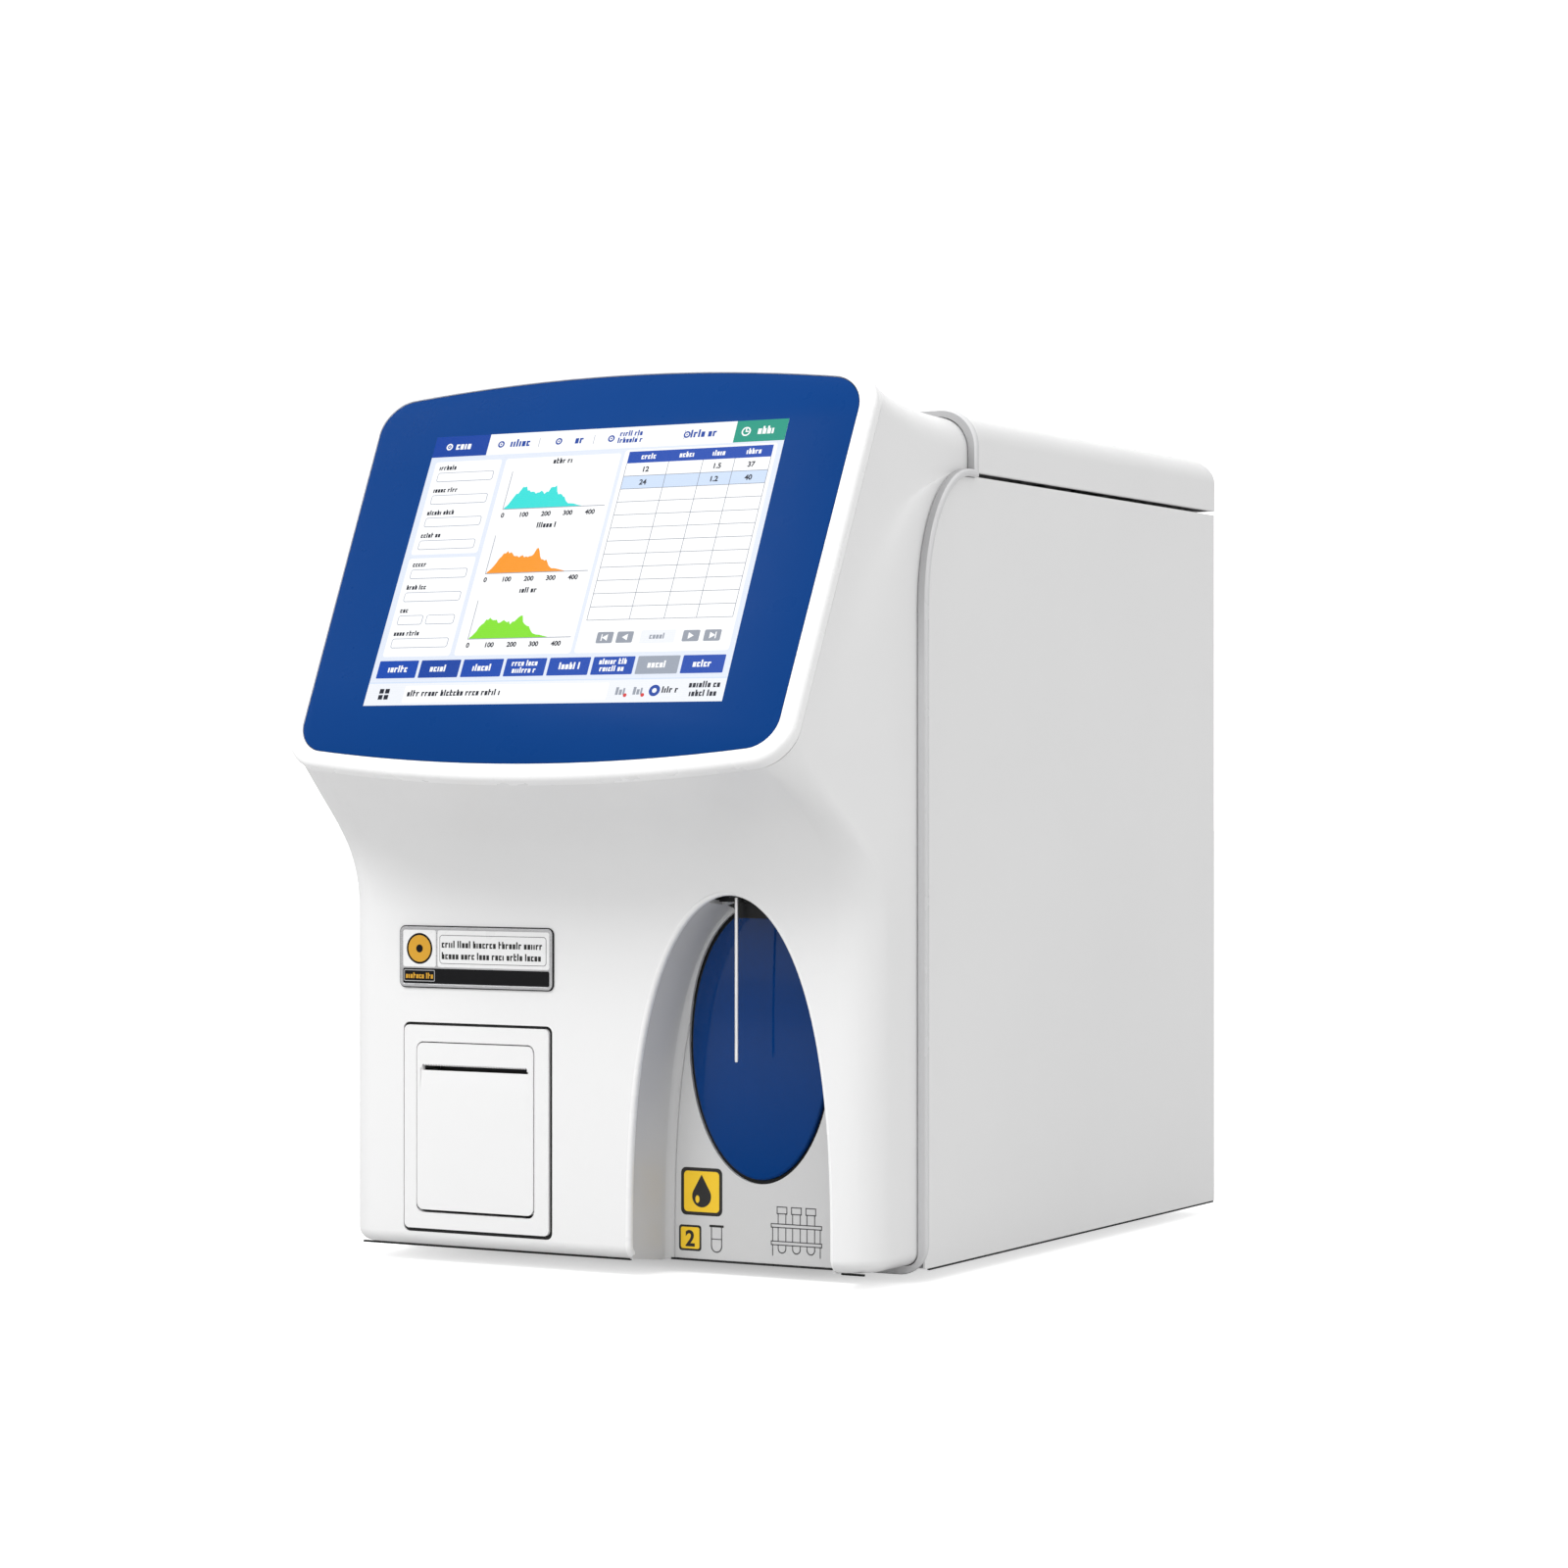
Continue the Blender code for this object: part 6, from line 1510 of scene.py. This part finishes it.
# fan
fz = box("fan_frame", "black", (FAN[0] - 0.030, FAN[0] + 0.030), (0.3930, 0.4080), (FAN[1] - 0.030, FAN[1] + 0.030), "chassis", "black_plastic", 0.0004)
bm = bmesh.new()
bm_rod(bm, "Y", (FAN[0], 0, FAN[1]), 0.0285, 0.39, 0.41, 64)
cut(fz, bm)
bm = bmesh.new()
bm_rod(bm, "Y", (FAN[0], 0, FAN[1]), 0.0115, 0.4055, 0.4078, 48)
cut(fz, bm, "UNION")
with_box(fz, ((FAN[0] - 0.0295, FAN[0] + 0.0295), (0.4056, 0.4077), (FAN[1] - 0.0015, FAN[1] + 0.0015)),
         ((FAN[0] - 0.0015, FAN[0] + 0.0015), (0.4057, 0.4076), (FAN[1] - 0.0295, FAN[1] + 0.0295)))
rotor = lathe("fan_rotor", "black", "Y", (FAN[0], 0, FAN[1]),
              [(0, 0.3945), (0.0105, 0.3945), (0.0116, 0.3950), (0.0120, 0.3960), (0.0120, 0.4050), (0, 0.4050)], "fan", "black_plastic", 48)
bm = bmesh.new()
for k in range(7):
    a0 = 2 * math.pi * k / 7
    secs = []
    for j in range(6):
        f = j / 5
        y, tw = lerp(0.3955, 0.4045, f), lerp(-0.25, 0.25, f) + 0.06 * math.sin(math.pi * f)
        pr = []
        for rr, da in ((0.0105, 0.09), (0.0105, -0.09), (0.0270, -0.045), (0.0270, 0.045)):
            a = a0 + tw + da
            pr.append((FAN[0] + rr * math.cos(a), y, FAN[1] + rr * math.sin(a)))
        secs.append(pr)
    vs = loft(bm, secs)
    bm.faces.new(vs[0])
    bm.faces.new(vs[-1])
bmesh.ops.triangulate(bm, faces=bm.faces[:])
cut(rotor, bm, "UNION")
guard = lathe("fan_guard", "bright", "Y", (FAN[0], 0, FAN[1]), [(0, 0.4101), (0.0305, 0.4101), (0.0305, 0.4116), (0, 0.4116)], "chassis", "steel", 72, 0.0004)
bm = bmesh.new()
for r0, r1 in ((0.0085, 0.0145), (0.0162, 0.0212), (0.0229, 0.0279)):
    for q in range(4):
        pts = []
        d0, d1 = 0.0012 / r0, 0.0012 / r1
        for k in range(15):
            a = lerp(d0, math.pi / 2 - d0, k / 14) + q * math.pi / 2
            pts.append((FAN[0] + r0 * math.cos(a), FAN[1] + r0 * math.sin(a)))
        for k in range(14, -1, -1):
            a = lerp(d1, math.pi / 2 - d1, k / 14) + q * math.pi / 2
            pts.append((FAN[0] + r1 * math.cos(a), FAN[1] + r1 * math.sin(a)))
        bm_plate(bm, pts, 0.405, 0.415)
cut(guard, bm)

inlet = box("power_inlet", "black", (-0.1150, -0.0410), (0.4101, 0.4120), (0.0310, 0.0590), "chassis", "black_plastic", 0.0004)
with_box(inlet, ((-0.1080, -0.0820), (0.3900, 0.4115), (0.0350, 0.0550)), ((-0.0562, -0.0438), (0.3950, 0.4115), (0.0343, 0.0557)))
with_box(inlet, ((-0.1065, -0.0835), (0.3960, 0.42), (0.0370, 0.0530)), ((-0.0548, -0.0452), (0.3980, 0.42), (0.0357, 0.0543)), op="DIFFERENCE")
for px, pz in ((-0.102, 0.0425), (-0.088, 0.0425), (-0.095, 0.0478)):
    with_box(inlet, ((px - 0.0010, px + 0.0010), (0.3950, 0.4050), (pz - 0.0020, pz + 0.0020)))
SWITCH = (0.4095, 0.0450)
bm = bmesh.new()
lp = [(0.4060, 0.0378), (0.4100, 0.0372), (0.4118, 0.0380), (0.4102, 0.0450), (0.4122, 0.0520), (0.4104, 0.0528), (0.4060, 0.0522)]
c, s_ = math.cos(math.radians(-5)), math.sin(math.radians(-5))
lp = [(SWITCH[0] + (y - SWITCH[0]) * c - (z - SWITCH[1]) * s_, SWITCH[1] + (y - SWITCH[0]) * s_ + (z - SWITCH[1]) * c) for y, z in lp]
bm_prism(bm, [(-0.0543, y, z) for y, z in lp], [(-0.0457, y, z) for y, z in lp])
fine("rocker_switch", bm, "black", "rocker", "black_plastic", 0.0004, 3)

ports = box("port_block", "zinc", (-0.1130, -0.0070), (0.4101, 0.4116), (0.1870, 0.2190), "chassis", "zinc_sheet", 0.0003)
bm = bmesh.new()
for x0, x1, z0, z1 in ((-0.1070, -0.0770, 0.1960, 0.2080), (-0.0700, -0.0560, 0.1940, 0.2000), (-0.0700, -0.0560, 0.2040, 0.2100),
                       (-0.0500, -0.0340, 0.1950, 0.2080), (-0.0280, -0.0140, 0.1940, 0.2000), (-0.0280, -0.0140, 0.2040, 0.2100)):
    bm_box(bm, (x0, x1), (0.4000, 0.4110), (z0, z1))
cut(ports, bm, "UNION")
bm = bmesh.new()
for x0, x1, z0, z1 in ((-0.1055, -0.0785, 0.1975, 0.2065), (-0.0690, -0.0570, 0.1950, 0.1990), (-0.0690, -0.0570, 0.2050, 0.2090),
                       (-0.0485, -0.0355, 0.1965, 0.2065), (-0.0270, -0.0150, 0.1950, 0.1990), (-0.0270, -0.0150, 0.2050, 0.2090)):
    bm_box(bm, (x0, x1), (0.4086, 0.42), (z0, z1))
cut(ports, bm)
bm = bmesh.new()
for x0, x1, z0, z1 in ((-0.1055, -0.0785, 0.1975, 0.2065), (-0.0690, -0.0570, 0.1950, 0.1990), (-0.0690, -0.0570, 0.2050, 0.2090),
                       (-0.0485, -0.0355, 0.1965, 0.2065), (-0.0270, -0.0150, 0.1950, 0.1990), (-0.0270, -0.0150, 0.2050, 0.2090)):
    bm_box(bm, (x0, x1), (0.4086, 0.4092), (z0, z1))
bm_box(bm, (-0.1030, -0.0810), (0.4091, 0.4110), (0.1997, 0.2043))
for x0, z0 in ((-0.0680, 0.1966), (-0.0680, 0.2066), (-0.0260, 0.1966), (-0.0260, 0.2066)):
    bm_box(bm, (x0, x0 + 0.0100), (0.4091, 0.4109), (z0, z0 + 0.0013))
piece(obj("port_inserts", bm, M["black"]), "chassis", "black_plastic")
bm = bmesh.new()
for z in (0.2006, 0.2030):
    for k in range(5 if z > 0.202 else 4):
        bm_rod(bm, "Y", (-0.1008 + 0.0044 * k + (0 if z > 0.202 else 0.0022), 0, z), 0.0006, 0.4109, 0.4111, 12)
for k in range(8):
    bm_box(bm, (-0.0464 + 0.00118 * k, -0.0459 + 0.00118 * k), (0.4091, 0.4100), (0.2040, 0.2060))
piece(obj("port_contacts", bm, M["brass"]), "chassis", "brass")
for i, nm in enumerate(("waste_port", "diluent_port", "lyse_port")):
    lathe(nm, "steel" if i else "brass", "Y", (0.050 + 0.030 * i, 0, 0.060),
          [(0.0012, 0.3990), (0.0042, 0.3990), (0.0042, 0.4101), (0.0063, 0.4101), (0.0065, 0.4103), (0.0065, 0.4118), (0.0063, 0.4120), (0.0030, 0.4128),
           (0.0036, 0.4145), (0.0026, 0.4160), (0.0032, 0.4165), (0.0022, 0.4178), (0.0012, 0.4178)], "chassis", "steel" if i else "brass", 40)
for i, (sx, sz) in enumerate(((-0.140, 0.020), (0.140, 0.020)), 1):
    ob = lathe("rear_screw_%d" % i, "steel", "Y", (sx, 0, sz),
               [(0, 0.4118), (0.0026, 0.4117), (0.0032, 0.4113), (0.0034, 0.4107), (0.0034, 0.4101), (0, 0.4101)], "chassis", "steel", 40)
    bm = bmesh.new()
    bm_box(bm, (sx - 0.0017, sx + 0.0017), (0.4111, 0.43), (sz - 0.0003, sz + 0.0003))
    cut(ob, bm)
    bm = bmesh.new()
    bm_box(bm, (sx - 0.0003, sx + 0.0003), (0.4111, 0.43), (sz - 0.0017, sz + 0.0017))
    cut(ob, bm)

# -------------------------------------------------------------------- internals
board = box("main_board", "board", (-0.1350, -0.1334), (0.1100, 0.3700), (0.0900, 0.3600), "chassis", "circuit_board", 0.0002)
chips = [(0.170, 0.290, 0.040, 0.040, 0.004), (0.250, 0.300, 0.028, 0.060, 0.003), (0.320, 0.250, 0.030, 0.020, 0.012),
         (0.180, 0.180, 0.050, 0.020, 0.008), (0.270, 0.160, 0.030, 0.030, 0.003)]
bm = bmesh.new()
for y, z, w, h, t in chips:
    bm_box(bm, (-0.1334, -0.1334 + t), (y - w / 2, y + w / 2), (z - h / 2, z + h / 2))
ch = obj("board_chips", bm, M["black"])
bevel(ch, 0.0005, 2)
bake(ch)
piece(ch, "chassis", "black_plastic")
rnd = random.Random(11)
bm = bmesh.new()
bl = bmesh.new()
for k in range(90):
    y, z = rnd.uniform(0.118, 0.362), rnd.uniform(0.098, 0.352)
    if any(abs(y - c[0]) < c[2] / 2 + 0.006 and abs(z - c[1]) < c[3] / 2 + 0.006 for c in chips):
        continue
    if k % 9 == 0:
        bm_rod(bm, "X", (-0.1334, y, z), 0.0035, 0.0, 0.0090, 20)
    else:
        w, h = rnd.choice(((0.0030, 0.0016), (0.0016, 0.0030), (0.0050, 0.0040)))
        bm_box(bl, (-0.1334, -0.1334 + 0.0013), (y, y + w), (z, z + h))
ob = obj("board_capacitors", bm, M["alu"])
piece(ob, "chassis", "circuit_board")
ob = obj("board_chip_parts", bl, M["dark"])
piece(ob, "chassis", "circuit_board")
psu = box("power_supply", "zinc", (-0.1450, -0.0450), (0.2700, 0.3750), (0.0021, 0.0600), "chassis", "zinc_sheet", 0.0006)
bm = bmesh.new()
for i in range(8):
    y = 0.285 + 0.010 * i
    bm_box(bm, (-0.130, -0.060), (y, y + 0.004), (0.0585, 0.0700))
cut(psu, bm)
for nm, cx in (("wbc_bath", 0.050), ("rbc_bath", 0.103)):
    lathe(nm, "acryl", "Z", (cx, 0.1270, 0),
          [(0.0020, 0.1400), (0.0050, 0.1400), (0.0050, 0.1500), (0.0140, 0.1620), (0.0140, 0.2050), (0.0115, 0.2050),
           (0.0115, 0.1640), (0.0020, 0.1540)], "chassis", "acrylic", 56)
br = box("bath_bracket", "zinc", (0.0200, 0.1330), (0.1414, 0.1430), (0.0021, 0.2300), "chassis", "zinc_sheet", 0.0003)
with_box(br, ((0.0200, 0.1330), (0.1420, 0.1650), (0.0021, 0.0037)))
SY = (0.1150, 0.2000)
lathe("syringe_barrel", "acryl", "Z", (SY[0], SY[1], 0),
      [(0.0066, 0.1000), (0.0095, 0.1000), (0.0095, 0.1600), (0.0035, 0.1630), (0.0035, 0.1700), (0.0012, 0.1700), (0.0012, 0.1580), (0.0066, 0.1560)],
      "chassis", "acrylic", 56)
lathe("syringe_plunger", "bright", "Z", (SY[0], SY[1], 0),
      [(0, 0.0560), (0.0100, 0.0560), (0.0100, 0.0600), (0.0030, 0.0600), (0.0030, 0.1050), (0.0062, 0.1050), (0.0062, 0.1120), (0, 0.1150)],
      "plunger", "steel", 48)
sm = box("syringe_motor", "black", (SY[0] - 0.0175, SY[0] + 0.0175), (SY[1] - 0.0175, SY[1] + 0.0175), (0.0021, 0.0330), "chassis", "black_plastic", 0.0018, 3)
bm = bmesh.new()
bm_rod(bm, "Z", (SY[0], SY[1], 0), 0.0030, 0.030, 0.0555, 32)
cut(sm, bm, "UNION")
sb = box("syringe_bracket", "zinc", (0.0950, 0.1350), (0.2200, 0.2216), (0.0021, 0.1700), "chassis", "zinc_sheet", 0.0003)
with_box(sb, ((0.1020, 0.1280), (0.2105, 0.2208), (0.1200, 0.1500)), ((0.0950, 0.1350), (0.2208, 0.2450), (0.0021, 0.0037)))
PUMP = (0.0500, 0.0550)
lathe("pump_body", "dark", "Y", (PUMP[0], 0, PUMP[1]),
      [(0, 0.3000), (0.0180, 0.3000), (0.0180, 0.2660), (0.0270, 0.2660), (0.0270, 0.2400), (0.0240, 0.2400), (0.0240, 0.2630), (0, 0.2630)],
      "chassis", "dark_grey", 64, 0.0004)
pr = lathe("pump_rotor", "liner", "Y", (PUMP[0], 0, PUMP[1]), [(0, 0.2425), (0.0120, 0.2425), (0.0120, 0.2620), (0, 0.2620)], "pump", "bay_plastic", 48)
bm = bmesh.new()
for k in range(3):
    a = 2 * math.pi * k / 3 + 0.3
    bm_rod(bm, "Y", (PUMP[0] + 0.0150 * math.cos(a), 0, PUMP[1] + 0.0150 * math.sin(a)), 0.0050, 0.2445, 0.2600, 28)
cut(pr, bm, "UNION")
vm = box("valve_manifold", "alu", (-0.0500, 0.0100), (0.1200, 0.1440), (0.0500, 0.0680), "chassis", "aluminium", 0.0006)
bm = bmesh.new()
for i in range(4):
    bm_rod(bm, "Z", (-0.0425 + 0.015 * i, 0.1320, 0), 0.0062, 0.0670, 0.0980, 32)
cut(vm, bm, "UNION")
with_box(vm, ((-0.0480, -0.0400), (0.1250, 0.1390), (0.0021, 0.0510)), ((0.0000, 0.0080), (0.1250, 0.1390), (0.0021, 0.0510)))

for ob, name, body, slot, width, seg, sharp in FINE:
    if width:
        bevel(ob, width, seg)
    bake(ob, sharp)
    piece(ob, body, slot, name)

# CAD nodes that stay as they are: only their look is set
for node, key in (("lcd_module", "dark"), ("key_switch", "black")):
    me = bpy.data.objects[node].data
    me.materials.clear()
    me.materials.append(M[key])

# ---------------------------------------------------------------- floor and light
bpy.ops.mesh.primitive_plane_add(size=40.0, location=(0, 0, 0))
floor = bpy.context.object
floor.name = "studio_floor"
fm, nt, b = _mat("studio_floor")
v = _coords(nt)
nt.links.new(_ramp(nt, _noise(nt, v, 3.0, 3.0), [(0.3, (0.58, 0.58, 0.58)), (0.7, (0.60, 0.60, 0.60))]), b.inputs["Base Color"])
nt.links.new(_range(nt, _noise(nt, v, 120.0), 0.75, 0.85), b.inputs["Roughness"])
b.inputs["Specular IOR Level"].default_value = 0.1
b.inputs["Emission Color"].default_value = (1, 1, 1, 1)


def vmath(op, a, c=None):
    n = nt.nodes.new("ShaderNodeVectorMath")
    n.operation = op
    nt.links.new(a, n.inputs[0])
    if c is not None:
        n.inputs[1].default_value = c
    return n


# distance from the middle of the body's footprint: the glow fades in towards
# the edge of the contact shadow, so the weaker glow near the body is a painted contact shadow
d = vmath("ABSOLUTE", vmath("SUBTRACT", _coords(nt), (0.0, 0.034, 0.0)).outputs["Vector"])
d = vmath("MAXIMUM", vmath("SUBTRACT", d.outputs["Vector"], (0.0860, 0.1380, 10.0)).outputs["Vector"], (0.0, 0.0, 0.0))
far = _range(nt, vmath("LENGTH", d.outputs["Vector"]).outputs["Value"], 0.0, 1.0, 0.0, 0.18)
painted_shadow_glow = _ramp(nt, far, [(0.0, (0.44, 0.44, 0.44)), (0.22, (0.60, 0.60, 0.60)), (0.39, (0.71, 0.71, 0.71)), (0.56, (0.80, 0.80, 0.80))])
lp = nt.nodes.new("ShaderNodeLightPath")
mul = nt.nodes.new("ShaderNodeMath")
mul.operation = "MULTIPLY"
nt.links.new(painted_shadow_glow, mul.inputs[0])
nt.links.new(_range(nt, lp.outputs["Is Camera Ray"], 0.0, 1.0, 0.0, 1.0), mul.inputs[1])
nt.links.new(mul.outputs["Value"], b.inputs["Emission Strength"])
floor.data.materials.append(fm)

scene = bpy.context.scene
world = bpy.data.worlds.new("studio")
scene.world = world
world.use_nodes = True
wt = world.node_tree
bg = wt.nodes["Background"]
tc = wt.nodes.new("ShaderNodeTexCoord")


def lobe(direction, lo, hi, gain):
    dot = wt.nodes.new("ShaderNodeVectorMath")
    dot.operation = "DOT_PRODUCT"
    d = Vector(direction).normalized()
    dot.inputs[1].default_value = d
    wt.links.new(tc.outputs["Generated"], dot.inputs[0])
    r = wt.nodes.new("ShaderNodeMapRange")
    r.interpolation_type = "SMOOTHSTEP"
    r.inputs["From Min"].default_value = lo
    r.inputs["From Max"].default_value = hi
    r.inputs["To Min"].default_value = 0.0
    r.inputs["To Max"].default_value = gain
    wt.links.new(dot.outputs["Value"], r.inputs["Value"])
    return r.outputs["Result"]


def add(a, b):
    m = wt.nodes.new("ShaderNodeMath")
    m.operation = "ADD"
    for k, x in enumerate((a, b)):
        if isinstance(x, float):
            m.inputs[k].default_value = x
        else:
            wt.links.new(x, m.inputs[k])
    return m.outputs["Value"]


total = add(0.45, lobe((-0.488, 0.873, 0.10), 0.50, 0.90, 0.85))
total = add(total, lobe((0.90, -0.25, 0.35), 0.20, 0.95, 0.66))
total = add(total, lobe((-0.35, -0.65, 0.65), 0.30, 0.95, 0.30))
seen = wt.nodes.new("ShaderNodeLightPath")
back = wt.nodes.new("ShaderNodeMath")
back.operation = "MULTIPLY"
back.inputs[1].default_value = 0.62
wt.links.new(seen.outputs["Is Camera Ray"], back.inputs[0])
total = add(total, back.outputs["Value"])
wt.links.new(total, bg.inputs["Strength"])
bg.inputs["Color"].default_value = (1, 1, 1, 1)


def area(name, loc, target, size, energy):
    li = bpy.data.lights.new(name, "AREA")
    li.shape = "RECTANGLE"
    li.size, li.size_y = size
    li.energy = energy
    ob = bpy.data.objects.new(name, li)
    scene.collection.objects.link(ob)
    ob.location = loc
    ob.rotation_euler = (Vector(target) - Vector(loc)).to_track_quat("-Z", "Y").to_euler()
    return ob


area("key_light", (-0.7, -1.7, 2.1), (0, 0, 0.15), (1.5, 1.0), 35.0)
area("top_light", (0.1, 0.2, 2.4), (0, 0, 0.2), (1.6, 1.6), 6.0)

cam = bpy.data.cameras.new("camera")
cam.lens = 87.95
cam.sensor_width = 36.0
cam.sensor_fit = "HORIZONTAL"
cam.shift_y = 0.00423
cam.clip_start, cam.clip_end = 0.05, 100.0
cam.dof.use_dof = False
co = bpy.data.objects.new("camera", cam)
scene.collection.objects.link(co)
co.location = (1.03414, -1.83460, 0.24676)
co.rotation_euler = Vector((-0.48787, 0.87293, 0.0)).to_track_quat("-Z", "Y").to_euler()
scene.camera = co
scene.view_settings.view_transform = "Standard"
scene.view_settings.look = "None"
